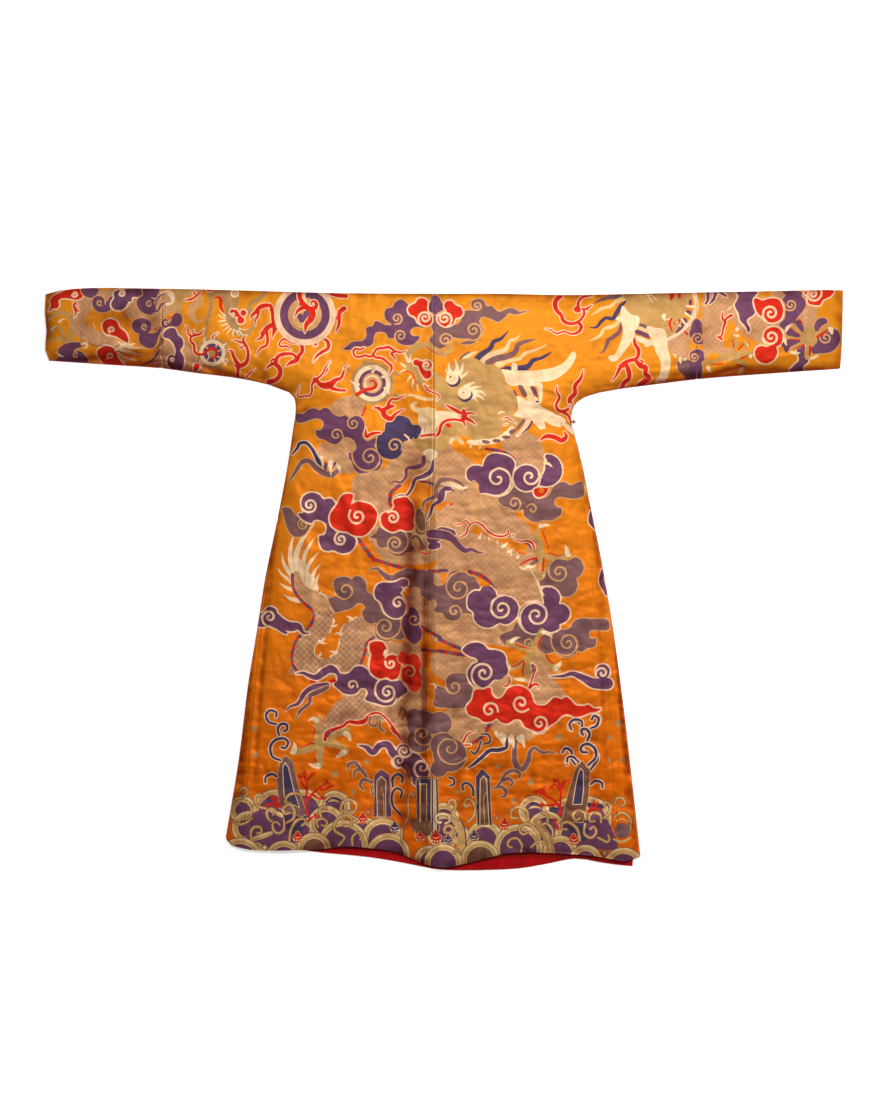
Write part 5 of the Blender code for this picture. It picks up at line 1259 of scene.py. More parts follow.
paint("olive",
    Blob([(172.7, 289.6), (199.2, 289.6), (193.1, 294.2), (186.9, 297.2), (182.9, 304.4), (180.3, 312),
        (174.7, 309.5), (171.6, 300.3)]))
paint("brown", Stroke([(95.1, 296.2), (91, 301.3), (89, 308.5)], [0.4, 0.8, 0.3]),
    Stroke([(155.3, 329.9), (162.4, 333), (161.4, 342.1), (157.3, 348.3)], [1, 4.1, 4.1, 1]))
motif("red", "pink",
    Blob([(80.3, 289.1), (82.9, 294.7), (81.3, 298.3), (75.7, 299.8), (70.6, 298.8), (66, 298.1),
        (60.9, 298.8), (58.4, 301.3), (59.2, 304.9), (57.3, 308.3), (52.8, 308.7), (49, 311.7),
        (51, 305.9), (50.6, 300.3), (54.3, 295.7), (60.4, 292.7), (66.5, 290.1), (73.7, 288.9)]))
curl_line("pink", (74.9, 294.2, 3.1, 1, 160, -1))
motif("red", "pink",
    Stroke([(75.9, 302.1), (73.9, 305.4), (75.2, 308.7), (76.2, 312), (74.2, 317.7)],
        [1.4, 2.4, 2.7, 1.6, 0.3]), Stroke([(75.7, 309), (79.3, 311.7)], [2, 1]),
    Stroke([(75.9, 303.4), (78.3, 305.9)], [1.2, 0.4]))
motif("violet", "tan",
    Blob([(82, 288.6), (97.7, 288.6), (97.1, 294.2), (94.1, 297.2), (89, 297.7), (84.4, 295.4),
        (82.2, 292.7)]))
motif("violet", "tan",
    Blob([(113.7, 296), (111.6, 300.3), (112, 305.4), (109.6, 310.5), (103.3, 312.3), (96.9, 311),
        (93.1, 306.6), (92.4, 301.3), (95.1, 297), (100.4, 296.2), (103.8, 298.5), (105.3, 302.6),
        (108.2, 300.1), (110.4, 297)]))
curl_line("tan", (99.7, 302.6, 3.1, 0.87, 60, 1))
paint("cream", Stroke([(105.5, 300.3), (105.1, 302.9), (105.8, 304.9)], [0.4, 0.8, 0.3]))
motif("violet", "pink",
    Blob([(115.3, 291.3), (123.7, 289.1), (142.2, 288.9), (142, 296.4), (132.3, 297.2), (131.8, 301.3),
        (128.6, 301.8), (126.7, 305.9), (121.6, 309.8), (115.5, 309.8), (111.7, 306.6), (111.8, 302.1),
        (114.3, 298.3), (113.9, 294)]))
curl_line("pink", (121.6, 293.4, 3.3, 0.96, 330, 1))
motif("violet", "tan",
    Blob([(143.6, 289.1), (158.9, 288.9), (157.3, 295.2), (154.1, 303.2), (156.3, 307.7),
        (154.1, 312.6), (150.2, 314.8), (143.1, 312.8), (138, 307.7), (136.9, 301.3), (140, 297.2),
        (143.3, 295)]))
curl_line("tan", (149.4, 304.4, 3.5, 0.87, 290, -1))
paint("cream",
    Stroke([(158.4, 296.4), (165, 292.3), (171.6, 294.7), (173.2, 301.3), (171.1, 303.9)],
        [0.8, 2.7, 6.1, 4.5, 1.4]),
    Stroke([(163, 301.8), (168.1, 304.4), (172.7, 302.6)], [0.6, 3.1, 2]))
paint("violet",
    Stroke([(153.1, 310), (155.3, 305.4), (157.3, 299.3), (160.9, 295.2), (167.6, 293)],
        [1.2, 1.4, 1.4, 1.4, 0.4]),
    Stroke([(149, 316.1), (153.3, 312.3), (158.4, 310.3), (161.4, 304.6), (167, 302.1)],
        [0.4, 1.6, 2, 2, 0.6]))
paint("cream", Stroke([(151.2, 297.2), (154.3, 298.8), (156.8, 298.3)], [0.3, 1, 0.3]))
paint("violet", Stroke([(123.7, 312.6), (126.2, 316.6), (130.3, 321.5)], [0.5, 0.9, 0.5]))
paint("red", Stroke([(123.9, 312.3), (125.7, 315.6)], [0.8, 0.8]))
motif("violet", "tan",
    Blob([(132.2, 326), (133.9, 320.9), (140, 318.3), (146.3, 319.1), (150.8, 322.8), (151.4, 328.9),
        (148.4, 333), (155.5, 333), (159, 328.9), (162.2, 325.8), (161.4, 331.9), (158.4, 336.5),
        (157.3, 342.1), (153.3, 347.4), (147.1, 348), (141, 344.4), (139, 339.1), (139.5, 334.2),
        (134.7, 331.9)]))
curl_line("tan", (144.6, 326.6, 3.3, 0.87, 70, 1))
paint("red", Stroke([(151.4, 329.3), (155.8, 328.9), (159.9, 326.6)], [0.5, 0.9, 0.5]))
motif("violet", "tan",
    Blob([(162.2, 320.9), (165.3, 318.7), (167.8, 320.2), (168.4, 323.6), (171.4, 320.9),
        (172.9, 315.8), (176.7, 313), (181.4, 315.6), (182.2, 321.7), (179, 326), (172.7, 327),
        (168.8, 328.3), (164.3, 327.9), (161.8, 324.8)]))
curl_line("tan", (166.1, 323, 1.6, 0.7, 60, 1))
paint("red", Stroke([(169.1, 319.2), (171.6, 317.4), (173.2, 315.6)], [0.8, 0.9, 0.4]))
motif("violet", "pink",
    Blob([(163.9, 333), (168.4, 328.7), (174.9, 328.7), (178, 335), (182.4, 339.1), (183.1, 346.2),
        (180.4, 350.5), (183.5, 356.4), (184.1, 362.6), (181.3, 370.7), (173.7, 370.2), (168.4, 365.6),
        (167.6, 359), (171, 354.8), (174.5, 356.4), (175.9, 351.3), (173.9, 344.4), (169.6, 339.3),
        (163.9, 337.2)]))
curl_line("pink", (172.4, 360, 2, 0.78, 320, -1))
motif("red", "pink",
    Blob([(102.6, 326.8), (104.5, 321.5), (110.4, 319), (116.7, 321.5), (120, 327.9), (124.9, 331.7),
        (128, 337.6), (128, 342.7), (121.6, 339.6), (116, 336.5), (110.4, 335), (105.1, 333)]))
curl_line("pink", (111.9, 329.9, 3.5, 0.96, 130, 1))
paint("body",
    Stroke([(97.1, 338.1), (109.4, 342.1), (120.6, 347.8), (128.8, 352.1)], [9.2, 9.2, 5.1, 1.4]))
motif("red", "pink",
    Blob([(96.9, 352.9), (100.2, 348.3), (106.3, 346), (113.7, 348.3), (117.8, 354.4), (119.8, 360.5),
        (123.9, 366.1), (105.3, 364.1), (100.4, 359)]))
curl_line("pink", (110.6, 356.4, 3.5, 0.96, 140, 1))
paint("violet", Stroke([(80.8, 331.4), (81.3, 334), (82.3, 336.5)], [0.4, 0.8, 0.3]),
    Stroke([(88, 342.1), (94.1, 345.4), (105.3, 346.2), (111.4, 348.8), (119.6, 352.3),
        (127.8, 352.6)], [0.3, 0.9, 0.5, 0.9, 0.8, 0.3]))
paint("cream", Stroke([(118.6, 342.1), (126.7, 345.2), (136.4, 343.4)], [1.6, 3.1, 0.3]),
    Stroke([(121.6, 345.2), (131.8, 347.8), (144.1, 348.1)], [2.4, 3.1, 0.3]),
    Stroke([(121.6, 350.3), (131.8, 352.9), (143.1, 355.4)], [3.1, 3.5, 0.3]),
    Stroke([(118.6, 353.4), (126.7, 358), (138, 360.7)], [2.7, 3.1, 0.3]),
    Stroke([(117.6, 355.4), (121.6, 360), (128.8, 361.7)], [2.2, 2.2, 0.3]),
    Stroke([(115.5, 350.3), (119.6, 348.3), (123.7, 346.2)], [2, 3.1, 2]))
paint("cream", Stroke([(93.6, 321.7), (94.1, 325.8), (96.1, 328.9)], [0.4, 1.2, 0.3]))
motif("violet", "tan",
    Blob([(58.2, 351.8), (61.2, 346.4), (69.6, 342.7), (81, 343), (81.2, 347), (75.9, 348.9),
        (73.7, 352.3), (79, 351.1), (84.1, 354.4), (86.7, 362.6), (57.3, 361.5), (59.4, 356.4)]))
curl_line("tan", (75.9, 355.9, 3.1, 0.87, 300, -1))
paint("cream", Stroke([(81, 344.2), (85.9, 343.4), (87.1, 346.7), (83.4, 348.8)], [1, 2.7, 2.7, 0.8]),
    Stroke([(56.5, 351.8), (59.9, 355.4), (64, 356.9)], [0.4, 2, 0.3]))
paint("red", Stroke([(55.3, 351.8), (62.4, 345.7), (68.1, 343.2)], [0.3, 0.6, 0.3]),
    Stroke([(80.3, 341.3), (83.9, 340.9), (85.4, 342.1)], [0.3, 0.8, 0.3]))
paint("violet",
    Stroke([(141, 365.6), (147.1, 363.1), (152.2, 360.5), (156.3, 355.4), (160.4, 349.3)],
        [0.6, 1.8, 1.6, 2, 0.8]))
paint("cream", Stroke([(159.4, 351.3), (160.4, 356.4), (164, 363.6)], [0.3, 1.4, 0.6]),
    Stroke([(154.3, 363.6), (160.4, 362), (166.5, 364.1)], [0.3, 1.6, 0.6]))
tell("left sleeve")

# %% Small pearl
paint("dust",
    Stroke([(210.5, 289.6), (211.3, 305.4), (207.7, 319.7), (206.4, 329.9), (205.9, 339.1)],
        [6.7, 4.7, 3.5, 2.9, 2.4]),
    Blob([(214.1, 290.1), (227.9, 289.6), (236.5, 292.1), (238.6, 303.4), (234, 309.5), (228.9, 314.6),
        (225.8, 311.7), (223, 303.4), (220.7, 298.3), (215.6, 296.7)]),
    Stroke([(250.3, 311.5), (250.3, 304.4), (260.5, 297.8), (265.1, 292.1)], [5.1, 3.7, 4.7, 4.1]),
    Stroke([(236, 331.9), (245.2, 335), (251.3, 329.9), (255.4, 320.7)], [6.1, 4.5, 3.7, 2.7]),
    Blob([(223.8, 314.6), (228.9, 312.6), (236, 318.7), (239.1, 325.8), (238.1, 330.9), (233, 329.9),
        (228.9, 325.8)]))
paint("cream", Stroke([(225, 315.6), (221.7, 312.6), (219.2, 310)], [2, 1.4, 0.3]),
    Stroke([(224.8, 318.2), (220.7, 316.6), (218.2, 314.1)], [2, 1.4, 0.3]),
    Stroke([(225.3, 320.7), (220.7, 321.2), (217.4, 321.7)], [2, 1.4, 0.3]),
    Stroke([(227.3, 323.8), (223.3, 325.3), (219.9, 326)], [2, 1.4, 0.3]),
    Stroke([(228.9, 326.3), (225.8, 328.9), (223, 331.4)], [2, 1.4, 0.3]),
    Stroke([(230.9, 328.9), (228.4, 331.9), (226.3, 335)], [2, 1.4, 0.3]),
    Stroke([(234, 329.9), (233, 334), (234, 337.6)], [2, 1.4, 0.3]),
    Stroke([(236.5, 330.9), (238.1, 334.5), (241.1, 336)], [2, 1.4, 0.3]),
    Stroke([(239.1, 330.9), (243.2, 335), (248.3, 336)], [2.2, 1.6, 0.3]),
    Stroke([(239.1, 328.4), (244.2, 329.9), (248.8, 328.9)], [1.6, 1, 0.3]))
paint("red",
    Stroke([(214.1, 298.3), (218.7, 297.4), (220.9, 300.3), (220.7, 305.4), (222.2, 310),
        (224.6, 314.1)], [0.8, 2.7, 3.3, 3.1, 2.2, 0.3]))
motif("red", "pink", Disc(232.8, 312, 2.7), Disc(235.5, 314.6, 2.4), Disc(243.4, 313.1, 2.9),
    Disc(240.9, 320.2, 3.5), Stroke([(236, 310.5), (238.1, 314.6), (240.6, 318.7)], [1.8, 2.7, 4.1]))
curl_line("pink", (243.2, 313.4, 1.4, 0.78, 200, 1), (233, 314.6, 1.2, 0.7, 20, -1))
paint("cream", Disc(234.7, 293.4, 4.3))
paint("dust", Disc(234.7, 293.4, 2.4))
paint("cream", Disc(234.7, 293.4, 1.1))
motif("red", "pink",
    Stroke([(185, 300.3), (191.1, 299.3), (196.2, 296.2), (200.3, 291.1)], [1.2, 2.2, 2, 1.6]),
    Stroke([(195.2, 294.7), (193.7, 292.7), (195.2, 291.1)], [1.6, 1.6, 0.4]),
    Stroke([(206.4, 290.1), (209.5, 290.9), (213.1, 290.1)], [0.4, 2, 0.4]))
paint("tan",
    Stroke([(200.3, 293.2), (200.3, 301.3), (193.2, 307.4), (191.1, 314.6), (196.2, 321.7),
        (202.3, 320.7), (203.4, 316.6), (200.3, 315.6)], [2, 6.1, 8.2, 8.2, 5.7, 3.5, 2, 0.6]))
motif("red", "pink",
    Stroke([(185.5, 325.3), (187.9, 328.9), (188.1, 333), (191.1, 336.5)], [0.4, 1.4, 1.8, 2.2]),
    Stroke([(191.1, 336.5), (196.2, 335), (200.3, 334), (204.4, 328.9)], [2.2, 2.4, 1.8, 0.4]),
    Stroke([(196.2, 335), (193.2, 333), (192.7, 330.9), (194.7, 329.9)], [1.8, 1.4, 1.2, 0.3]),
    Stroke([(191.1, 336.5), (190.6, 341.1), (194.2, 345.2), (194.7, 351.3), (198.3, 354.6),
        (203.4, 354.2)], [2, 2.2, 2.4, 2.7, 2.9, 2.9]))
paint("dust", Disc(212.6, 352.9, 15.3))
paint("dust", Stroke([(201.3, 346.2), (198.3, 342.1), (200.8, 340.6)], [4.1, 2.4, 0.3]),
    Stroke([(223.8, 346.2), (227.9, 342.1), (229.9, 345.2)], [4.1, 2.4, 0.3]),
    Stroke([(224.8, 360.5), (229.9, 362.6), (228.9, 365.6)], [4.1, 2.4, 0.3]),
    Stroke([(218.7, 365.6), (220.7, 369.7), (224.8, 368.7)], [4.1, 2.4, 0.3]),
    Stroke([(201.3, 360.5), (196.2, 363.6), (198.3, 366.6)], [4.1, 2.4, 0.3]))
paint("cream", Disc(212.6, 352.9, 13.1),
    Stroke([(205.4, 343.2), (204.4, 339.1), (206.9, 337)], [3.1, 2, 0.3]),
    Stroke([(221.7, 346.2), (225.8, 344.2), (226.8, 342.1)], [3.1, 2, 0.3]),
    Stroke([(222.8, 360.5), (225.8, 364.6), (224.8, 366.6)], [3.1, 2, 0.3]))
paint("violet", Disc(212.6, 352.9, 9.4))
paint("cream", Stroke([(205.4, 346.2), (208, 348.8)], [1, 1]),
    Stroke([(216.6, 344.2), (216.1, 347.2)], [1, 1]), Stroke([(220.7, 350.3), (218.2, 351.3)], [1, 1]),
    Stroke([(219.7, 357.4), (217.1, 356.4)], [1, 1]), Stroke([(215.6, 361.5), (214.6, 358.5)], [1, 1]),
    Stroke([(207.4, 360), (209, 357.4)], [1, 1]), Disc(212.6, 352.9, 5.1))
paint("dust", Disc(212.6, 352.9, 4.3))
paint("red",
    Stroke([(198.3, 354.6), (203.4, 354.2), (208, 350.3), (212.6, 348.8), (216.6, 352.3),
        (215.6, 356.9), (211.5, 357.7), (210.5, 355.4)], [2.4, 2.7, 2.9, 2.9, 2.9, 2.7, 2, 0.6]))
motif("red", "pink", Stroke([(212.3, 338.6), (214.1, 335.5), (217.7, 333)], [1.4, 1.2, 0.3]),
    Disc(225.8, 361, 0.9), Disc(201.5, 362, 0.9))
motif("red", "pink", Disc(196.7, 366.6, 3.1), Stroke([(196.7, 366.6), (195.2, 370.7)], [5.1, 3.1]))
tell("small pearl")

# %% Great pearl and the flames
motif("red", "pink",
    Stroke([(227.9, 350.3), (231.9, 351.3), (233.5, 356.4), (238.1, 364.1), (241.6, 365.6),
        (246.2, 362.6), (247.8, 358.5), (248.3, 352.3), (246.2, 346.2), (243.7, 342.1), (243.7, 338.1),
        (246.2, 335)], [0.6, 2.7, 3.1, 4.1, 4.7, 4.5, 3.5, 2.9, 2.9, 2.9, 2.2, 0.4]),
    Stroke([(245.2, 343.2), (240.1, 342.1), (236, 340.6), (232.4, 340.1)], [2, 2.2, 1.6, 0.3]),
    Stroke([(243.7, 346.2), (241.1, 348.3), (239.6, 346.2), (241.1, 345.2)], [1.4, 1.6, 1.2, 0.4]),
    Stroke([(238.1, 364.6), (238.1, 370.7), (237.6, 376.8)], [4.1, 3.1, 3.5]),
    Stroke([(236, 366.6), (234.5, 365.6), (234.5, 364.1)], [1.6, 1.6, 0.6]),
    Stroke([(246.2, 377.3), (250.3, 372.8), (255.4, 368.7)], [1.8, 1.6, 0.3]))
motif("red", "pink",
    Stroke([(250.3, 319.2), (252.9, 314.6), (256.4, 311.5), (260.5, 306.9), (266.6, 305.4),
        (271.2, 305.9), (271.7, 309.5), (269.2, 310)], [0.4, 2.7, 4.1, 4.7, 4.7, 3.7, 2.4, 0.4]),
    Stroke([(252.9, 314.1), (250.8, 315.6)], [2, 0.6]),
    Stroke([(258.5, 310.5), (258, 315.6), (255.4, 320.7), (255.4, 325.8)], [3.1, 2.4, 1.6, 0.3]),
    Stroke([(271.2, 306.9), (272.8, 314.6), (273.3, 319.7), (275.3, 325.8), (274.3, 330.9),
        (272.2, 338.1)], [3.7, 3.5, 4.1, 6.1, 3.5, 0.3]),
    Stroke([(273.8, 324.8), (268.7, 326.8), (264.6, 330.9), (262.6, 335), (261, 338.1),
        (255.9, 340.6)], [5.1, 4.7, 4.5, 4.1, 2.7, 0.4]),
    Stroke([(263.1, 334), (261, 332.4), (261.5, 331.4)], [2.4, 2, 0.6]),
    Stroke([(266.6, 330.9), (267.7, 339.1), (266.6, 345.2), (261.5, 347.8), (258.5, 351.3),
        (256.4, 355.9)], [3.5, 2.9, 2.9, 2.4, 1.6, 0.3]))
motif("red", "pink",
    Stroke([(291.6, 349.8), (286, 346.2), (281.4, 346.7), (279.4, 344.2), (281.4, 340.6),
        (285.5, 339.1), (292.1, 342.1), (298.3, 343.2), (301.8, 344.7)],
        [0.3, 1.6, 2, 1.6, 1.8, 2.7, 3.1, 2.7, 3.5]),
    Stroke([(301.8, 344.7), (302.3, 351.3), (299.3, 355.4), (296.2, 360.5), (291.1, 362.6),
        (285.5, 366.6)], [3.7, 3.5, 3.5, 5.1, 3.5, 0.3]),
    Stroke([(297.2, 360.5), (298.8, 359.5), (298.3, 358)], [2.4, 1.6, 0.6]),
    Stroke([(296.7, 358.5), (293.2, 354.4), (286, 353.9), (279.9, 355.4), (276.8, 358.5),
        (275.8, 363.6), (279.9, 368.7), (279.9, 374.8), (275.8, 379.9), (268.7, 381.9)],
        [3.1, 2.7, 3.5, 3.7, 4.1, 4.7, 4.5, 4.5, 4.7, 5.1]),
    Stroke([(276.8, 360.5), (272.8, 359.5), (271.2, 362), (272.8, 363.6)], [3.5, 2.4, 1.6, 0.6]),
    Stroke([(273.8, 363.6), (269.7, 365.6), (265.1, 369.7)], [3.5, 2.7, 0.3]))
motif("red", "pink",
    Stroke([(323.3, 338.6), (327.9, 342.1), (327.9, 348.3), (321.7, 352.3), (316.6, 356.4),
        (313.1, 362)], [1.6, 3.7, 3.5, 3.1, 2.2, 0.3]), Disc(315.6, 344.4, 1.6))
motif("red", "pink",
    Stroke([(299.8, 384.5), (299.3, 389.1), (297.2, 394.7), (300.3, 397.2), (304.4, 395.7),
        (309, 396.2), (312, 392.1), (312, 385), (315.1, 380.9)],
        [0.3, 0.8, 1.4, 1.8, 1.6, 1.8, 2, 1.8, 3.5]),
    Stroke([(315.1, 379.9), (319.7, 376.8), (323.8, 371.7), (326.3, 365.6), (330.9, 360.5)],
        [2.7, 2, 1.8, 1.4, 0.3]),
    Stroke([(316.6, 379.9), (319.7, 384), (325.8, 386), (330.9, 384), (336, 379.9), (341.1, 377.9),
        (344.2, 370.7)], [3.1, 5.1, 7.1, 6.1, 3.7, 2.7, 1.8]),
    Stroke([(313.6, 380.4), (314.6, 377.3)], [2.4, 1.4]),
    Stroke([(327.9, 384), (331.9, 388.1), (338.1, 390.1), (345.2, 390.6)], [5.1, 3.7, 2.7, 2.2]),
    Stroke([(319.7, 383), (321.7, 387.6)], [3.1, 0.8]))
motif("red", "pink", Stroke([(330.9, 294.2), (338.1, 295.7), (346.2, 296.2)], [2.4, 4.1, 4.1]),
    Stroke([(344.2, 308.5), (340.1, 311.5), (339.1, 316.6), (339.1, 323.8), (335.5, 333)],
        [5.1, 4.5, 3.5, 2.7, 0.3]),
    Stroke([(339.1, 317.7), (336, 318.7), (336.5, 315.6)], [2.4, 1.6, 0.5]))
paint("cream", Disc(304.9, 314.6, 30.8))
paint("pink", Disc(304.9, 314.6, 29.6))
paint("violet", Disc(304.9, 314.6, 24.9))
paint("tan", Disc(304.9, 314.6, 16.9))
paint("dust",
    Stroke([(290.6, 315.6), (293.2, 323.8), (299.3, 328.9), (307.4, 329.4)], [0.6, 1.6, 1.6, 0.6]))
paint("cream", Stroke([(304.4, 291.1), (303.9, 298.3), (308, 305.9)], [3.5, 3.7, 0.8]))
motif("red", "cream",
    Stroke([(299.5, 291.1), (300.1, 298.3), (303.9, 304.4), (309, 309.5), (312, 312.6), (311, 318.7),
        (306.4, 324.8), (304.9, 333)], [5.1, 4.5, 4.7, 6.1, 7.8, 6.1, 4.1, 0.4]),
    Stroke([(310, 309.5), (315.1, 308), (316.6, 303.9), (313.8, 301.1), (311, 302.9), (312, 304.9)],
        [4.7, 5.1, 3.7, 2.9, 2, 0.6]),
    Stroke([(306.4, 306.9), (302.3, 304.9), (299.3, 303.9), (299.5, 306.4)], [4.1, 3.1, 2, 0.6]),
    Stroke([(304.4, 306.9), (298.3, 310.5), (294.7, 317.1)], [4.7, 3.5, 0.4]))
paint("violet", Disc(300.3, 316.8, 3.1), Disc(306.4, 313.8, 3.1),
    Stroke([(300.1, 316.8), (302.1, 320.7), (306.6, 314.1)], [5.7, 4.1, 5.1]))
tell("great pearl and the flames")

# %% [markdown]
# ## Rocks and rolling waves at the hem
#
# Above the hem stand the traditional mountain peaks, over rows of round waves with curling crests,
# branches of coral, hooks of spray and jewels. A wave is seven discs, one in another, and the rows
# are laid from the back to the front.

# %% Tools for the hem border
WAVE_BANDS = (("brown", -0.5), ("wheat", 0.2), ("gold", 2.4), ("dust", 4.3), ("wheat", 5.0),
              ("brown", 6.1))
WAVE_HEART = 6.8
CREST_WIDTHS = (0.9, 1.25, 1.15, 0.9)
THIN_EDGE = 0.7
CORE_EDGE = 0.8
CORAL_WIDTHS = (2.7, 2.1, 1.7)
KNOB_REACH = 1.7
KNOB_RADIUS = 1.15
KNOB_TURN = 2.1
JEWEL_EDGE = 0.6
JEWEL_BEAD = 0.3
JEWEL_DOME = 0.85
JEWEL_STRIPE = ((-0.55, -0.25), (0, -0.02), (0.55, -0.25))
JEWEL_STRIPE_WIDTHS = (0.4, 0.9, 0.4)
JEWEL_DOTS = (-0.66, -0.22, 0.22, 0.66)
JEWEL_DOTS_DROP = 0.55
JEWEL_DOTS_BEND = 0.3
JEWEL_DOT = 0.15
DIAMOND_RIM = 0.68
DIAMOND_HEART = 0.45


def wave(centre, radius, fill="violet"):
    """One round wave: a pale band of three threads round a dark middle."""
    for tone, inset in (*WAVE_BANDS, (fill, WAVE_HEART)):
        if radius > inset + 1:
            paint(tone, Disc(*centre, radius - inset))


def crest(path, width=2.2, tone="brown", edge="gold"):
    """A wave's curling tip: a pale line with a dark rim, which thins towards its ends."""
    line = [width * share for share in CREST_WIDTHS]
    paint(tone, Stroke(path, line), grow=THIN_EDGE)
    paint(edge, Stroke(path, line))


def rock(outer, core, tones=("mauve", "navy")):
    """A mountain peak: a dark face with pale edges round a darker core."""
    paint("gold", Facet(outer), grow=THIN_EDGE)
    paint(tones[0], Facet(outer))
    paint("cream", Facet(core), grow=CORE_EDGE)
    paint(tones[1], Facet(core))


def coral(*branches):
    """A red branch with knobbly ends."""
    for path in branches:
        paint("red", Stroke(path, CORAL_WIDTHS))
        x, y = path[-1]
        for k in range(3):
            turn = KNOB_TURN * k + x
            knob = (x + KNOB_REACH * math.cos(turn), y + KNOB_REACH * math.sin(turn))
            paint("red", Disc(*knob, KNOB_RADIUS))


def jewel(centre, size, tone="red"):
    """A heap of treasure: a bead on a dome with a stripe and a row of dots."""
    x, y = centre
    bead, dome = Disc(x, y - size, size * JEWEL_BEAD), Disc(x, y, size * JEWEL_DOME)
    motif(tone, "gold", bead, dome, outline=JEWEL_EDGE)
    paint("cream", Stroke([(x + a * size, y + b * size) for a, b in JEWEL_STRIPE], JEWEL_STRIPE_WIDTHS))
    for a in JEWEL_DOTS:
        drop = JEWEL_DOTS_DROP - JEWEL_DOTS_BEND * abs(a)
        paint("cream", Disc(x + a * size, y + drop * size, size * JEWEL_DOT))


def diamond(centre, size, tones):
    """A small square set on its corner, with a pale rim and a middle."""
    x, y = centre
    for tone, share in ((tones[0], 1), ("gold", DIAMOND_RIM), (tones[1], DIAMOND_HEART)):
        reach = size * share
        paint(tone, Facet([(x - reach, y), (x, y - reach), (x + reach, y), (x, y + reach)]))


print("border tools ready")

# %% Hem border at the wearer's left
wave((242.8, 809.7), 13.7)
wave((275.7, 812.4), 23.3)
wave((304.5, 809.7), 20.6)
wave((334.7, 806.3), 15.8)
wave((248.3, 827.5), 16.5)
wave((270.2, 831.6), 21.9)
wave((299, 831.6), 16.5)
wave((326.5, 823.4), 17.8)
wave((362.1, 838.5), 21.9)
wave((382.7, 838.5), 20.6)
paint("violet",
    Blob([(245.6, 817.9), (263.4, 809.7), (282.6, 817.9), (301.8, 820.7), (307.3, 831.6),
        (296.3, 842.6), (277.1, 841.2), (252.4, 841.2), (238.7, 827.5)]))
paint("navy", Stroke([(266.1, 804.2), (271.6, 797.4), (277.1, 798.7)], [4.1, 5.5, 4.1]),
    Blob([(282.6, 804.2), (296.3, 796), (304.5, 809.7), (305.9, 823.4), (296.3, 837.1),
        (288.1, 831.6)]))
paint("gold", Stroke([(326.5, 801.5), (333.3, 799.4), (338.8, 801.5)], [1.4, 4.1, 1.4]))
paint("navy", Stroke([(325.8, 802.2), (332, 798), (340.2, 800.8)], [1.4, 1.9, 1.1]))
rock(
    [(277.1, 779.5), (279.8, 763.3), (285.3, 755.5), (292.5, 761.7), (297.7, 785), (306.6, 813.8),
        (301.8, 816.6), (279.8, 808.3)],
    [(283.7, 782.3), (283.3, 767.2), (285.3, 763.3), (288.1, 767.2), (293.6, 790.5), (299, 807),
        (285.3, 800.1)])
rock(
    [(373.8, 816.6), (374.5, 793.2), (374.5, 775.1), (381.3, 769.2), (389.3, 774.7), (390.2, 793.2),
        (391.6, 816.6)],
    [(377.9, 816.6), (377.2, 793.2), (377.5, 780.9), (381.3, 776.8), (385.7, 780.9), (385.2, 796),
        (385.4, 816.6)], ("violet", "brown"))
paint("gold", Stroke([(381.3, 787.8), (383.4, 796), (384.1, 816.6)], [0.8, 0.8, 0.8]))
rock(
    [(417, 834.4), (417, 796), (416.3, 780.9), (419.7, 776.8), (430.7, 776.8), (431.4, 804.2),
        (430.7, 834.4)],
    [(420.4, 834.4), (420.4, 798.7), (420.4, 787.8), (422.4, 782.3), (427.9, 785), (428.2, 804.2),
        (427.9, 834.4)], ("navy", "brown"))
paint("brown",
    Blob([(410.1, 820.7), (417, 817.9), (430.7, 817.9), (438.9, 823.4), (438.9, 834.4), (417, 834.4)]))
wave((342.9, 845.3), 25.4)
wave((240.1, 860.4), 22.6)
wave((284, 859.7), 19.2)
wave((314.1, 849.5), 17.1, "brown")
wave((388.2, 854.9), 21.9)
wave((429.3, 860.4), 15.1)
coral([(307.3, 813.8), (305.9, 801.5), (307.3, 787.8), (305.9, 778.2)],
    [(307, 790.5), (301.8, 782.3), (299.7, 776.1)], [(306.6, 782.3), (310, 776.8), (313.4, 774)],
    [(307.3, 800.1), (312.8, 793.2), (319.6, 787.8), (327.2, 782.3)],
    [(319.6, 787.8), (323.7, 789.8), (331.3, 785.7)], [(312.8, 794.6), (319.6, 798.7), (324.4, 797.4)],
    [(305.9, 779.5), (303.8, 775.4), (304.5, 772.7)])
coral([(279.8, 807), (274.4, 801.5), (272.3, 797.4)], [(277.1, 805.6), (271.6, 804.2), (266.8, 804.9)],
    [(279.2, 807), (277.8, 801.5), (276.4, 798.7)], [(308.6, 820.7), (312.8, 816.6), (316.2, 815.9)])
crest([(266.1, 808.3), (257.9, 805.6), (254.9, 798.7), (257.9, 794.6), (262.7, 796), (260.9, 800.1)],
    2.2)
crest([(241.5, 794.6), (242.8, 796.7), (246.7, 794.6), (247.6, 789.8), (242.8, 787.8), (239.4, 791.9)],
    1.6, "brown")
crest([(233.2, 804.2), (238.7, 800.8), (246.9, 802.2), (251.7, 808.3), (249.7, 816.6), (242.8, 819.3)],
    1.9)
crest([(233.2, 820.7), (240.1, 824.1), (246.9, 822), (252.4, 817.9)], 1.6)
crest([(301.8, 796), (296.3, 793.2), (289.4, 794.6), (285.3, 800.1), (286.7, 804.2), (290.8, 802.8)],
    1.9)
crest([(274.4, 822), (268.9, 819.3), (266.8, 812.4), (271.6, 808.3), (275.7, 811.1), (273, 814.5)], 1.9,
    "brown")
crest(
    [(285.3, 823.4), (293.6, 817.9), (294.2, 809.7), (289.4, 804.2), (283.3, 808.3), (285.3, 813.8),
        (289.4, 812.4)], 1.9)
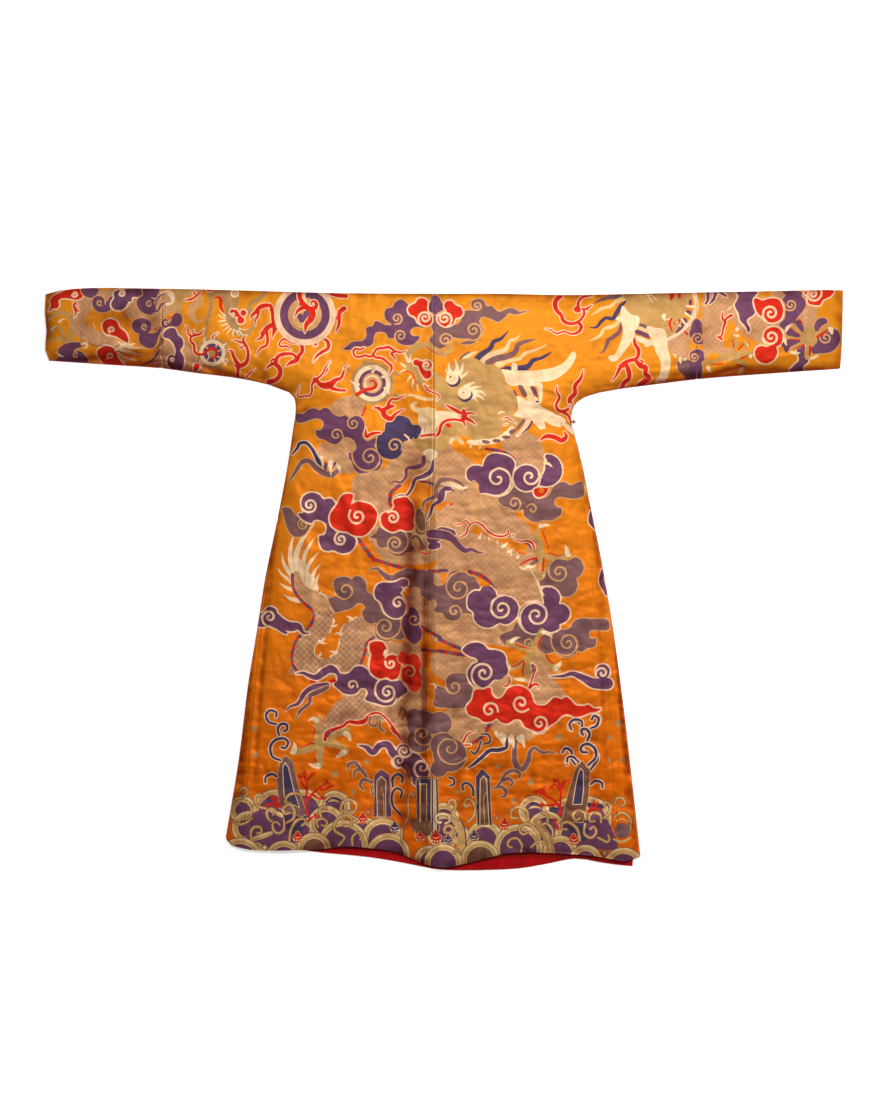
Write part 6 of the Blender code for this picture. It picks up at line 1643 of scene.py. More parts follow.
crest(
    [(284, 819.3), (284, 828.9), (279.2, 833), (273.7, 830.3), (273, 823.4), (277.1, 822),
        (279.8, 824.8)], 1.9, "violet")
crest([(251.1, 838.5), (251.1, 831.6), (254.5, 826.8), (260.7, 827.5), (261.3, 832.3), (257.2, 833)],
    1.9)
crest([(289.4, 841.2), (290.8, 830.3), (296.3, 820.7), (303.2, 818.6), (305.9, 822), (301.8, 825.5)],
    1.9)
crest([(326.5, 808.3), (323.7, 806.3), (319.6, 809.7), (321, 816.6)], 2.2)
crest(
    [(342.9, 815.2), (340.9, 808.3), (344.3, 800.8), (352.5, 800.1), (356.6, 807), (352.5, 812.4),
        (347.7, 811.1)], 2.2)
crest([(362.1, 820.7), (352.5, 816.6), (345.7, 809.7)], 1.6, "navy")
crest([(318.2, 827.5), (316.9, 820.7), (322.4, 818.6), (327.2, 822), (325.1, 826.1), (321.7, 824.8)],
    1.6)
crest(
    [(338.8, 845.3), (344.3, 837.1), (334.7, 830.3), (336.1, 820.7), (344.3, 815.2), (351.1, 817.9),
        (351.1, 824.8), (344.3, 826.1)], 1.9)
crest([(352.5, 845.3), (352.5, 837.1), (358, 832.3), (362.1, 835.1), (360.1, 839.2)], 1.6)
hook([(277.1, 776.8), (272.3, 774), (266.1, 776.8), (265.4, 782.3)], 2.5, "navy", "pink")
hook([(276.4, 724), (268.9, 721.9), (266.1, 715.1), (270.2, 710.3), (276.4, 712.3), (276, 717.1)], 2.5,
    "navy", "pink")
hook([(279.2, 735), (277.8, 728.8), (281.2, 724), (286.7, 724.7), (287, 729.5), (283.7, 731.3)], 2.7,
    "navy", "pink")
hook(
    [(280.5, 760.3), (272.3, 756.2), (270.5, 746.6), (275.7, 739.8), (284, 738.4), (288.3, 742.5),
        (285.3, 748), (281.5, 747.3)], 2.7, "navy", "pink")
hook([(393, 786.4), (392.6, 778.8), (397.1, 774), (402.6, 776.8), (401.9, 782.3)], 2.7)
hook([(400.5, 814.5), (393, 805.6), (392, 794.6), (396.4, 788.4), (401.9, 791.2), (400.5, 797.4)], 2.5)
crest([(401.9, 842.6), (401.9, 828.9), (408.1, 816.6), (408.1, 798.7), (410.8, 793.2), (414.2, 796)],
    1.6)
hook([(406, 765.8), (408.1, 772.7), (410.1, 780.9)], 1.4, "brown", "dust")
hook([(399.1, 715.1), (401.9, 708.2), (406, 712.3), (401.9, 719.2)], 1.4, "brown", "dust")
motif("mauve", "tan",
    Stroke([(347.7, 769.9), (349.1, 763.8), (355.3, 762.8), (360.7, 768.6)], [1.1, 2.7, 3.6, 1.9]),
    Stroke([(353.9, 776.8), (355.3, 770.6), (361.4, 770.2), (366.9, 776.8)], [1.1, 2.7, 3.6, 1.9]),
    Stroke([(363.5, 789.8), (360.1, 785), (363.5, 779.5), (372.4, 782.3)], [1.1, 2.7, 3.3, 2.2]))
hook([(373.1, 785), (371.7, 790.5), (373.8, 796)], 1.1)
paint("dust", Disc(254.5, 728.5, 2.7), Disc(255.4, 754.8, 3), Disc(335.1, 774, 3.3),
    Disc(366.9, 761.7, 2.7), Disc(353.6, 791.9, 2.7))
jewel((297.7, 837.8), 5.2)
jewel((362.8, 819.3), 5.2)
jewel((419.7, 833.7), 5.5)
jewel((436.8, 837.1), 6.3)
jewel((394.8, 828.2), 5.2, "navy")
diamond((368.3, 811.8), 3.3, ("navy", "ground"))
diamond((264.8, 847.4), 4.1, ("mauve", "cream"))
paint("gold", Stroke([(253.1, 839.2), (259.3, 837.1), (270.9, 833)], [4.1, 5.5, 4.1]))
paint("cream", Stroke([(254.5, 837.8), (269.6, 832.3)], [1.1, 1.1]))
tell("hem border at the wearer's left")

# %% Hem border at the wearer's right
wave((443.9, 817.9), 15.4)
wave((533.7, 810.8), 15.4)
wave((588.4, 819.3), 23.2)
wave((571.5, 817.9), 21)
wave((443.9, 830.5), 18.2)
wave((484.5, 838.9), 18.2)
wave((546.3, 829.1), 18.2)
wave((574.3, 836.1), 19.6)
wave((518.2, 848.7), 24.6)
paint("violet",
    Blob([(560.3, 820.7), (574.3, 815.1), (602.4, 816.5), (612.2, 830.5), (616.4, 848.7),
        (588.4, 847.3), (571.5, 840.3)]))
paint("navy", Stroke([(589.8, 805.2), (601, 806.6)], [5.6, 5.6]),
    Blob([(571.5, 806.6), (581.4, 803.8), (585.6, 820.7), (588.4, 837.5), (574.3, 840.3),
        (568.7, 826.3)]), Stroke([(551.9, 809.4), (558.9, 810.8)], [5.6, 5.6]))
paint("gold", Stroke([(528, 808), (535.1, 805.9), (540.7, 808)], [1.4, 3.9, 1.4]))
paint("navy", Stroke([(526.6, 808.7), (533.7, 804.5), (542.1, 807.3)], [1.1, 1.7, 1.1]))
rock(
    [(477.5, 824.9), (476.8, 801), (475.8, 776.9), (481.7, 768.8), (489.7, 775.8), (490.2, 801),
        (491.8, 824.9)],
    [(480.3, 824.9), (480.3, 801), (480.6, 780), (483.4, 776.5), (486.2, 779.3), (487.3, 801),
        (488.8, 824.9)], ("navy", "brown"))
paint("gold", Stroke([(487.3, 791.2), (483.8, 798.2), (484.5, 823.5)], [0.7, 0.8, 0.8]))
rock(
    [(561.7, 821.4), (568.7, 791.2), (575.5, 768.8), (582.1, 761), (589.8, 770.2), (588.4, 795.4),
        (582.8, 822.1)],
    [(572.9, 803.8), (576.4, 782.8), (578.6, 773), (580.7, 768.8), (583, 771.6), (583, 789.8),
        (581.4, 803.8)], ("brown", "navy"))
rock([(420, 826.3), (420, 778.6), (430.5, 778.6), (430.5, 826.3)],
    [(420.7, 826.3), (420.7, 784.2), (426.3, 784.2), (426.3, 826.3)], ("navy", "brown"))
rock([(431.9, 830.5), (431.9, 778.6), (437.5, 778.6), (438.9, 830.5)],
    [(434.3, 830.5), (434, 780), (435.2, 780), (436.1, 830.5)], ("navy", "gold"))
paint("brown", Blob([(417.2, 823.5), (431.2, 822.1), (429.8, 834.7), (417.2, 834.7)]))
wave((459.3, 834.7), 9.8, "violet")
paint("gold", Stroke([(457.2, 819.3), (460.7, 830.5), (460.7, 851.5)], [5.6, 7, 8.4]))
paint("navy", Stroke([(460.7, 819.3), (464.9, 830.5), (466.3, 848.7)], [1.1, 1.1, 0.8]))
wave((480.3, 860), 19.6, "brown")
wave((443.2, 862.8), 18.9)
wave((560.3, 852.9), 17.5, "violet")
wave((585.6, 861.4), 16.8, "violet")
paint("dust", Stroke([(536.5, 820.7), (546.3, 836.1), (551.9, 851.5)], [7, 8.4, 7]))
paint("gold", Stroke([(537.9, 822.1), (547.7, 837.5), (550.5, 851.5)], [2.2, 2.5, 2.2]))
coral([(559.6, 815.1), (560.3, 803.8), (561, 792.6), (563.1, 784.2)],
    [(560.7, 791.2), (554.7, 784.2), (551.2, 787.7)], [(561.7, 787), (564.5, 780.7), (568.7, 781.4)],
    [(558.9, 806.6), (553.3, 799.6), (544.9, 795.4), (539.3, 791.9)],
    [(544.2, 794.7), (540.7, 789.8), (535.1, 791.9)], [(547, 796.8), (544.2, 791.2), (543.5, 788.4)],
    [(558.2, 803.8), (549.1, 805.2), (541.4, 804.5)], [(560.3, 788.4), (558.2, 781.4), (554.7, 780)])
coral([(589.1, 812.2), (594, 808.7), (598.2, 809.4)], [(588.4, 812.2), (591.2, 806.6), (593.3, 803.1)],
    [(591.9, 809.4), (596.8, 805.2), (596.1, 803.8)], [(558.2, 829.1), (556.1, 823.5), (554.7, 820)])
crest([(458.6, 819.3), (453, 814.4), (455.8, 806.6), (454.4, 800.3), (449.5, 800.3), (448.8, 804.5)], 2)
crest(
    [(467.7, 822.1), (474, 815.1), (474.7, 805.2), (469.1, 798.9), (464.2, 801.7), (465.6, 806.6),
        (468.8, 805)], 2)
hook([(473.3, 795.4), (472.6, 787.7), (467, 782.8), (462.4, 784.9), (463.2, 789.8)], 2.5, "navy")
hook([(449.5, 785.6), (453.7, 784.2), (453.7, 779.3), (448.8, 777.2)], 2)
crest(
    [(445.3, 823.5), (449.5, 820.7), (448.1, 815.1), (441, 813.7), (436.1, 816.5), (437.5, 822.1),
        (441, 822.1)], 2, "brown", "cream")
crest([(451.6, 837.5), (453.7, 830.5), (450.2, 825.6), (445.3, 827), (444.6, 831.9), (448.8, 832.6)], 2)
crest([(528, 819.3), (526.6, 810.8), (518.2, 806.6), (511.2, 810.8), (511.9, 817.2), (516.8, 817.9)],
    2.2)
crest([(547.7, 822.1), (547, 815.1), (541.4, 812.2)], 2)
crest(
    [(530.8, 847.3), (539.3, 837.5), (532.2, 826.3), (524.5, 823.5), (518.9, 828.4), (522.4, 834),
        (527.3, 832.6)], 2)
crest([(551.9, 838.9), (552.6, 830.5), (547, 823.5), (542.1, 824.9), (541.4, 829.8), (545.6, 830.5)],
    1.7)
crest([(580, 840.3), (577.1, 829.1), (568.7, 822.1), (562.4, 823.5), (561.7, 828.4), (566.6, 829.1)], 2,
    "brown")
crest([(585.6, 819.3), (584.2, 812.2), (577.1, 810.1), (572.9, 815.1), (575.7, 820), (580, 817.9)], 2,
    "brown")
crest([(601, 822.1), (600.3, 815.1), (593.3, 812.2), (589.1, 816.5), (590.5, 821.4), (594.7, 820.7)], 2,
    "brown")
crest([(584.9, 823.5), (584.2, 833.3), (591.2, 837.5), (596.1, 831.9), (594, 826.3), (589.8, 829.1)], 2,
    "violet")
crest([(603.8, 817.9), (609.4, 812.2), (610.1, 805.2), (605.2, 801.7), (604.5, 805.9)], 2.2)
crest([(598.2, 837.5), (606.6, 841.7), (609.4, 838.9), (608, 834.7)], 1.7)
crest([(615, 803.8), (616.4, 798.2), (622.8, 798.2), (624.9, 803.8), (620.6, 805.9)], 1.7, "brown")
crest([(615, 816.5), (622, 812.2), (630.5, 819.3), (629.1, 831.9), (622, 836.8)], 2)
crest([(521, 851.5), (521.7, 844.5), (516.8, 838.2), (509.8, 839.6), (507.7, 845.2), (511.9, 847.3)],
    1.7, "brown")
crest([(452.3, 854.3), (457.9, 848.7)], 1.4)
hook([(582.1, 726.7), (581.4, 721), (574.3, 719.6), (569.4, 723.9), (571.3, 729.5)], 2.5, "navy",
    "pink")
hook([(590.5, 728.1), (596.8, 725.3), (598.5, 718.2), (594, 715.7), (591.5, 719.6)], 2.5, "navy",
    "pink")
hook([(587, 740.7), (589.5, 733.7), (585.6, 728.8), (581.1, 730.2), (582.8, 734.8)], 2.8, "navy",
    "pink")
hook(
    [(587.7, 765.2), (595.4, 757.5), (594.7, 748.4), (587.7, 743.8), (581.4, 746.3), (581.6, 751.6),
        (587, 752.2)], 2.8, "navy", "pink")
hook([(572.2, 756.8), (570.8, 750.5), (565.2, 748.4), (562.4, 752.6)], 2.5, "navy", "pink")
hook([(578.6, 761.7), (572.9, 756.8), (567.6, 757.5), (567.3, 761.7)], 2.5, "navy", "pink")
hook([(590.5, 784.2), (595.4, 780.7), (601.7, 782.8), (602.1, 787.7)], 2.5, "navy", "pink")
motif("mauve", "tan",
    Stroke([(499.3, 784.2), (504.9, 774.4), (512.6, 770.9), (519.6, 773), (518.9, 778.6)],
        [1.1, 2.5, 3.9, 3.1, 1.1]),
    Stroke([(495.8, 787.7), (501.4, 781.4), (507.7, 778.6), (512.6, 782.1), (509.8, 786.3)],
        [1.1, 2.5, 3.6, 3.1, 1.1]),
    Stroke([(493, 789.1), (500, 786.3), (505.6, 790.5), (504.9, 796.1), (500.7, 796.1)],
        [1.1, 2.8, 3.6, 2.8, 1.1]))
paint("cream", Stroke([(504.2, 736.5), (503.5, 742.1), (504.2, 747)], [4.8, 3.6, 0.3]),
    Stroke([(511.2, 737.2), (513.3, 743.5), (513.3, 748.4)], [4.8, 3.6, 0.3]),
    Stroke([(518.2, 737.9), (522.4, 742.1), (525.2, 747.7)], [4.8, 3.6, 0.3]),
    Stroke([(500.7, 736.5), (501.4, 742.1)], [2.8, 0.4]))
paint("dust", Disc(558.9, 737.2, 3.4), Disc(610.1, 737.2, 2.5), Disc(618.5, 723.2, 3.6),
    Disc(498.6, 765.9, 2.5), Disc(530.8, 781.8, 3.4), Disc(457.2, 791.9, 2.5), Disc(513.6, 800.6, 3.1),
    Disc(623.5, 759.6, 3.1), Disc(609.4, 760.3, 2))
jewel((504.6, 824.9), 5.6)
jewel((573.6, 840.3), 5.3)
jewel((436.1, 838.2), 6.2)
jewel((420, 837.5), 4.8)
jewel((448.1, 840.3), 4.8, "navy")
jewel((474, 836.8), 5.1, "navy")
diamond((496.5, 817.9), 3.1, ("navy", "ground"))
diamond((604.5, 852.9), 4.2, ("brown", "gold"))
wave((623.5, 868.4), 21, "violet")
paint("mauve", Disc(622, 830.5, 7.9))
paint("gold", Stroke([(613.6, 838.9), (622, 841.7), (630.5, 837.5)], [2, 2.8, 2]),
    Stroke([(616.4, 820.7), (622, 818.6), (629.1, 822.1)], [1.1, 1.4, 1.1]))
tell("hem border at the wearer's right")

# %% [markdown]
# ## The dragon on the right sleeve
#
# A second dragon's head faces the great one from the sleeve at the right of the picture, with its
# mane streaming up to the shoulder fold.

# %% Right sleeve head
motif("red", "pink",
    Stroke([(560.4, 296.4), (555.8, 300.4), (555.1, 305.8), (557.1, 311.1), (561.1, 315.1),
        (563.1, 320.5), (568.5, 323.5), (575.2, 323.2), (580.5, 319.8), (583.9, 314.5), (583.9, 310.4),
        (581.9, 308.4)], [4.4, 4.7, 4.6, 4, 3.5, 3.6, 3.2, 3.2, 2.9, 2.7, 2.7, 1.6]),
    Stroke([(578.5, 310.4), (577.9, 304.4), (579.9, 299.7), (583.2, 297.1), (588.6, 296),
        (592.6, 295.7)], [4.7, 2.7, 2.7, 2.4, 1.9, 1.3]),
    Stroke([(576.5, 308.4), (574.5, 309.8), (576.5, 312.5)], [4.4, 2.1, 1.1]),
    Stroke([(583.2, 309.8), (587.2, 308.4), (591.9, 305.4)], [2.3, 2.4, 0.8]),
    Stroke([(587.9, 308.8), (587.6, 311.5)], [1.6, 0.7]),
    Stroke([(578.5, 322.5), (581.2, 326.5), (579.2, 331.2), (573.8, 333.9), (568.5, 333.2),
        (563.8, 331.5), (557.1, 333.5), (553.1, 331.9), (549.7, 329.5), (545, 328.9)],
        [3.2, 3.5, 3.1, 2.3, 1.7, 1.5, 1.7, 1.6, 1.2, 0.4]))
paint("mauve",
    Stroke([(620.5, 296.2), (609.3, 297.5), (599.8, 300.5), (592.9, 303.9)], [4, 4.8, 3.1, 0.5]))
paint("wheat",
    Stroke([(624.8, 297.9), (616.2, 301.4), (610.1, 306.5), (602.4, 308.2), (597.2, 311.7),
        (591.2, 315.1)], [4.8, 3.8, 3.1, 2.9, 2.6, 0.7]))
paint("navy",
    Stroke([(626.1, 300.9), (621.3, 305.7), (616.2, 313.4), (612.7, 318.6), (605.8, 318.1),
        (600.7, 322), (596.4, 327.2), (589, 327.6)], [1.4, 4.6, 4.8, 4, 3.6, 3.4, 2.6, 0.5]))
paint("wheat",
    Stroke([(618.7, 322), (612.7, 326.3), (604.1, 328.9), (600.7, 334.9), (595.5, 338.4),
        (589.5, 341)], [3.4, 3.8, 3.4, 3.1, 2.6, 0.7]))
paint("mauve",
    Stroke([(621.3, 322.9), (619.6, 331.5), (613.6, 336.7), (608.4, 340.1), (605.8, 347),
        (603.2, 351.3), (598.9, 353.9)], [2.6, 4.3, 4.3, 4, 3.8, 2.6, 0.5]))
paint("body",
    Blob([(667.4, 340.1), (677.3, 334.1), (685, 327.2), (691.1, 328), (689.3, 333.2), (689.8, 350.4),
        (688.1, 359), (683.3, 359), (673.8, 354.7), (669.5, 350.4)]))
paint("olive",
    Blob([(624.8, 293.2), (691.9, 292.3), (691.5, 300.5), (686.8, 304.8), (688.1, 309.1), (685, 314.3),
        (682.5, 318.6), (683.3, 322.9), (677.3, 331.5), (673, 335.8), (667, 338.4), (662.7, 333.2),
        (660.1, 328), (655.8, 327.2), (648, 325.9), (645.4, 328), (639.4, 322.9), (637.7, 316),
        (632.5, 315.1), (628.2, 311.7), (625.6, 306.5), (626.5, 300.5)]))
motif("red", "pink",
    Stroke([(633.8, 337.5), (635.1, 344.4), (638.5, 350.4), (636.8, 358.2), (629.1, 360.8),
        (623, 364.2), (619.6, 368.5), (616.2, 375.4), (611.9, 381.4)],
        [2.6, 3.4, 4, 3.4, 3.8, 4.3, 3.4, 2.1, 0.7]),
    Stroke([(624.8, 363.3), (628.2, 369.4), (629.1, 378), (624.8, 382.3), (620.9, 389.2)],
        [4.3, 4.8, 4.3, 4.3, 4.3]),
    Stroke([(635.1, 359.9), (640.3, 365.9), (645.4, 367.7), (645.4, 373.7), (648.9, 378),
        (645.4, 380.6), (638.5, 386.2)], [3.4, 4.8, 5.2, 4.3, 5.5, 5.5, 5.2]),
    Stroke([(640.3, 365.1), (642.4, 361.6), (639.4, 359.9)], [2.1, 1.9, 1.4]),
    Stroke([(623, 366.8), (618.3, 365.9), (620.5, 364.6)], [2.6, 1.7, 1]))
paint("cream",
    Blob([(623, 305.7), (628.2, 311.7), (632.5, 315.1), (638.5, 316.4), (639.4, 322), (636, 331.5),
        (632.5, 340.1), (626.5, 348.7), (621.3, 355.6), (616.2, 360.8), (611, 361.2), (608, 358.2),
        (610.1, 355.6), (614.4, 354.7), (617.9, 348.7), (621.3, 340.1), (623, 333.2), (622.2, 326.3),
        (620.5, 322), (615.3, 319), (620.5, 315.1), (620.5, 310.8)]),
    Blob([(647.2, 326.3), (655.8, 328), (662.7, 328.9), (666.1, 333.2), (667, 340.1), (667.8, 348.7),
        (670.4, 359), (670, 367.7), (667, 378), (663.5, 382.3), (655.8, 383.6), (654.9, 381.4),
        (659.2, 375.4), (660.9, 367.7), (660.1, 360.8), (655.8, 352.2), (653.2, 345.3), (648, 347),
        (643.7, 346.1), (645.4, 344.4), (640.3, 342.7), (635.1, 338.8), (635.1, 335.8), (640.3, 336.7),
        (648.9, 340.1), (651.5, 338.4), (648, 333.2)]))
paint("wheat",
    Stroke([(622.6, 310), (628.2, 317.7), (630.8, 319.4), (630.8, 324.6), (626.5, 333.2),
        (622.2, 344.4)], [0.3, 0.5, 0.6, 0.6, 0.6, 0.3]),
    Stroke([(632.5, 316), (635.1, 321.2), (631.7, 333.2), (625.6, 345.3)], [0.3, 0.5, 0.5, 0.3]),
    Stroke([(657.1, 328.9), (659.2, 340.1), (664.4, 353.9), (664.8, 367.7), (661.8, 378)],
        [0.5, 0.7, 0.7, 0.7, 0.3]),
    Stroke([(660.9, 330.6), (663.1, 341.8), (667, 358.2)], [0.3, 0.5, 0.3]))
paint("mauve", Blob([(640.3, 323.3), (646.3, 325.9), (645.9, 328.9), (639.4, 326.3)]))
paint("wheat", Blob([(639.4, 326.3), (647.2, 329.8), (648, 333.2), (637.9, 328.9)]))
paint("violet", Blob([(636.4, 329.8), (648, 334.1), (649, 338.6), (642, 336), (635.1, 333.2)]))
paint("pink",
    Stroke([(694.1, 292.7), (696.2, 300.5), (696.2, 309.1), (693.6, 317.7), (687.2, 325.5),
        (679.9, 332.4), (673, 336.7), (667, 339.7)], [4.3, 4.5, 4.5, 4.5, 4, 3.8, 3.6, 2.9]))
paint("violet", Blob([(675.1, 333.2), (679.9, 325.5), (682.5, 322.9), (684.2, 326.3), (678.2, 332.4)]),
    Blob([(682.9, 317.7), (687.2, 319.4), (686.3, 323.7), (683.7, 322.9)]),
    Blob([(686.8, 310), (691.5, 311.7), (689.3, 316.9), (685.9, 313.4)]),
    Blob([(689.2, 299.6), (691.9, 300.5), (691.5, 306.1), (688.7, 305.7)]))
paint("cream", Stroke([(686.8, 306.1), (695.8, 307.2)], [2.2, 2.9]),
    Stroke([(685.5, 313.4), (692.4, 318.1)], [2.4, 1.9]),
    Stroke([(681.6, 319.4), (686.3, 325)], [1.9, 1.5]),
    Stroke([(677.3, 322), (680.3, 326.3)], [1.4, 1.5]),
    Blob([(661.8, 315.1), (665.7, 313.8), (664.8, 320.3), (662.2, 318.6)]),
    Stroke([(694.5, 295.3), (696.2, 300.9)], [3.8, 3.4]),
    Stroke([(664.8, 320.3), (671.3, 318.1)], [1.2, 1.5]))
paint("wheat", Stroke([(693.5, 309.1), (691.9, 316)], [0.7, 0.7]))
paint("red", Stroke([(671.3, 318.6), (669.5, 323.7), (672.1, 331.5)], [2.1, 2.6, 1]),
    Stroke([(679.4, 319.9), (678.6, 324.2)], [2.1, 0.9]),
    Stroke([(673.4, 322.9), (674.7, 325)], [1, 1]),
    Blob([(670, 293.2), (674.3, 293.2), (673.4, 297.9), (670.4, 300.7)]),
    Blob([(677.1, 292.7), (680.7, 293.2), (680.3, 299.2), (678.2, 297.5)]),
    Stroke([(684.6, 331.5), (687.2, 334.1)], [1.7, 2.4]))
paint("cream", Stroke([(647.6, 295.3), (650.2, 298.8), (652.8, 303.5)], [1.2, 1, 0.4]),
    Stroke([(652.3, 295.3), (654, 297.9), (657.9, 300.5)], [1, 0.9, 0.4]),
    Stroke([(646.7, 295.3), (651.9, 295.3)], [1, 1.5]))
paint("navy", Stroke([(652.3, 294.3), (659.6, 293.8)], [0.7, 0.7]))
motif("violet", "tan",
    Blob([(690.2, 329.8), (692.8, 322), (696.2, 319), (700.5, 321.2), (703.1, 326.3), (708.3, 328.9),
        (708.3, 334.9), (706.6, 341), (700.5, 344.4), (694.5, 342.7), (691.9, 339.2), (689.3, 334.9)]))
curl_line("tan", (697.8, 338.6, 5.7, 1.3, 190, 1))
motif("violet", "tan",
    Blob([(690.2, 353), (695.4, 349.6), (701.4, 350.4), (704.4, 354.7), (704, 359.9), (701.4, 362.5),
        (702.3, 368.5), (701.4, 374.5), (698.8, 379.3), (685.5, 380.6), (685, 376.3), (679, 371.1),
        (677.3, 364.2), (679, 360.8), (683.3, 360.8), (688.5, 360.8)]))
curl_line("tan", (694.1, 357.1, 4.6, 1.3, 130, -1))
paint("mauve",
    Blob([(678.8, 362.5), (681.6, 361.2), (688.7, 361.2), (688.7, 379.3), (685.5, 379.7),
        (684.6, 376.3), (679.9, 371.1)]))
paint("cream", Blob([(679, 356.9), (681.8, 357.3), (680.9, 363.8), (678.3, 360.8)]),
    Blob([(682.5, 358.2), (687.2, 358.2), (684.6, 361.2)]),
    Blob([(673.4, 353.9), (676.4, 355.2), (675.6, 358.2)]))
tell("right sleeve head")

# %% Right sleeve clouds and claws
paint("body",
    Blob([(704, 293.5), (735.6, 291.6), (806.4, 291.6), (806.4, 305.9), (816, 305.9), (816, 320.3),
        (813.1, 329.8), (812.1, 343.2), (804.5, 344.2), (787.3, 343.2), (762.4, 343.2), (754.7, 349),
        (736.6, 354.7), (728.9, 358.5), (707.9, 360.4), (704, 358.5)]))
paint("ground",
    Blob([(725.6, 324.1), (728.9, 320.7), (732.7, 321.2), (736.6, 327), (743.3, 335.6), (751.9, 339.4),
        (756.7, 343.2), (754.7, 347.1), (749, 352.8), (747.1, 354.7), (750.9, 356.6), (748, 361.4),
        (741.4, 358.5), (737.5, 354.7), (734.7, 349), (731.8, 349), (728.9, 348), (725.1, 349),
        (723.7, 343.2), (723.2, 335.6)]),
    Blob([(707.9, 356.6), (710.7, 353.3), (717.4, 353.3), (719.8, 356.6), (716.5, 359.5),
        (708.8, 360)]),
    Blob([(758.6, 291.6), (770.1, 291.6), (772, 296.3), (766.2, 295.9), (762.4, 298.3),
        (758.6, 296.3)]))
motif("violet", "pink", Stroke([(707.9, 292), (707.9, 299.2), (705.5, 304)], [3.8, 2.9, 1.9]),
    Stroke([(716, 292), (713.6, 299.2), (709.8, 303.5)], [3.3, 2.9, 1.5]),
    Stroke([(719.8, 292), (726, 296.3)], [3.4, 1.9]))
motif("violet", "pink",
    Blob([(737.5, 291.6), (756.7, 291.6), (754.7, 296.3), (752.8, 303), (754.7, 309.7), (753.8, 314.5),
        (747.1, 319.3), (747.1, 323.1), (750, 328.9), (748, 332.7), (746.1, 327.9), (742.3, 323.1),
        (739.9, 320.3), (738.5, 313.6), (734.7, 305.9), (736.6, 301.1), (738.5, 296.3)]))
motif("red", "pink",
    Stroke([(722.7, 312.6), (722.2, 318.4), (725.1, 322.2), (723.2, 327.9), (722.2, 333.7),
        (719.3, 338.4), (717.4, 336.5)], [1, 2.1, 2.9, 2.1, 1.9, 1.9, 1]),
    Stroke([(724.1, 320.7), (728, 317.4), (731.3, 315.5)], [2.3, 2.5, 2.9]),
    Stroke([(717.9, 336), (721.7, 339.4)], [1.1, 2.5]))
paint("olive",
    Blob([(717.4, 358.5), (722.2, 354.7), (729.9, 350.9), (733.7, 343.2), (736.6, 339.4),
        (738.5, 343.2), (735.6, 349), (737.5, 351.8), (743.3, 347.1), (746.1, 341.3), (748, 343.2),
        (744.2, 350.9), (749, 350.9), (754.7, 353.7), (751.9, 357.6), (745.2, 356.6), (741.4, 359.5),
        (747.1, 365.2), (744.2, 369.1), (739.4, 364.3), (733.7, 361.4), (724.1, 361.4), (714.6, 362.4),
        (708.8, 366.2), (706, 365.2), (708.8, 361.4)]),
    Stroke([(733.7, 349), (732.3, 340.4), (737.5, 335.6)], [3.3, 1.9, 1.5]),
    Stroke([(732.7, 335.6), (735.6, 329.8)], [1.3, 2.5]))
paint("red", Stroke([(732.7, 340.4), (733.7, 347.1)], [0.8, 1.7]),
    Stroke([(738.5, 349.4), (743.3, 344.2)], [1.9, 0.8]),
    Stroke([(740.4, 358.5), (748, 355.2)], [1.7, 1.3]),
    Stroke([(711.7, 364.7), (722.2, 363.8)], [1.1, 1.5]),
    Stroke([(736.6, 364.3), (742.3, 366.7)], [1.7, 1]))
paint("cream", Blob([(736.6, 327), (739, 328.9), (737, 331.7), (734.7, 329.8)]),
    Blob([(732.7, 335.6), (738.5, 334.4), (738, 337.5)]),
    Blob([(744.2, 341.3), (748, 344.2), (748.2, 347.5), (746.1, 344.7)]),
    Blob([(749, 354.7), (751.9, 355.2), (751.4, 359), (749, 357.6)]),
    Blob([(706, 366), (709, 366.2), (710.9, 372.1), (707.9, 371.2)]),
    Blob([(739.4, 368.1), (744.2, 367.9), (741.4, 372.9), (737, 373.6)]),
    Blob([(729.9, 306.9), (732.3, 306.4), (728, 310.7), (727, 309.7)]))
motif("red", "pink",
    Blob([(753.8, 301.1), (754.7, 298.3), (758.6, 299.2), (762.4, 300.7), (767.2, 299.2), (772, 298.3),
        (777.7, 299.2), (781.5, 304), (783, 310.7), (781.5, 317.4), (777.7, 321.2), (772, 322.7),
        (766.2, 321.2), (762.4, 317.4), (758.6, 314.5), (755.7, 309.7), (754.3, 305)]))
curl_line("pink", (770.5, 313.4, 8, 1.35, 165, 1))
motif("red", "pink",
    Blob([(763.4, 336.5), (765.3, 330.8), (771, 327.4), (777.7, 327.9), (782, 332.7), (782.5, 338.4),
        (780.6, 344.2), (776.3, 347.1), (777.2, 352.8), (773.9, 359.5), (767.2, 363.3), (760.5, 362.4),
        (755.7, 357.6), (754.7, 351.8), (757.6, 347.1), (762.4, 346.1), (766.2, 347.1), (770.1, 345.1),
        (766.2, 343.2), (763.8, 340.4)]))
curl_line("pink", (771, 337, 8, 1.35, 170, -1))
motif("violet", "tan",
    Blob([(782.5, 291.6), (800.7, 291.6), (801.6, 296.3), (805.4, 301.1), (805.4, 306.9),
        (801.6, 312.6), (796.8, 318.4), (794.9, 324.1), (791.1, 323.1), (786.3, 327), (784.4, 329.8),
        (779.6, 326), (779.6, 324.1), (784.4, 318.4), (785.4, 311.7), (785.4, 306.9), (784.4, 303),
        (782.5, 299.2), (785.4, 295.4)]))
curl_line("tan", (790.4, 305, 5.9, 1.4, 110, -1))
motif("red", "pink",
    Blob([(805.4, 291.6), (832.2, 290.1), (831.3, 295.4), (827.4, 297.8), (822.7, 300.2), (819.8, 305),
        (813.1, 305), (808.3, 303), (807.4, 296.3)]))
curl_line("pink", (812.6, 294, 5, 1.3, 180, 1))
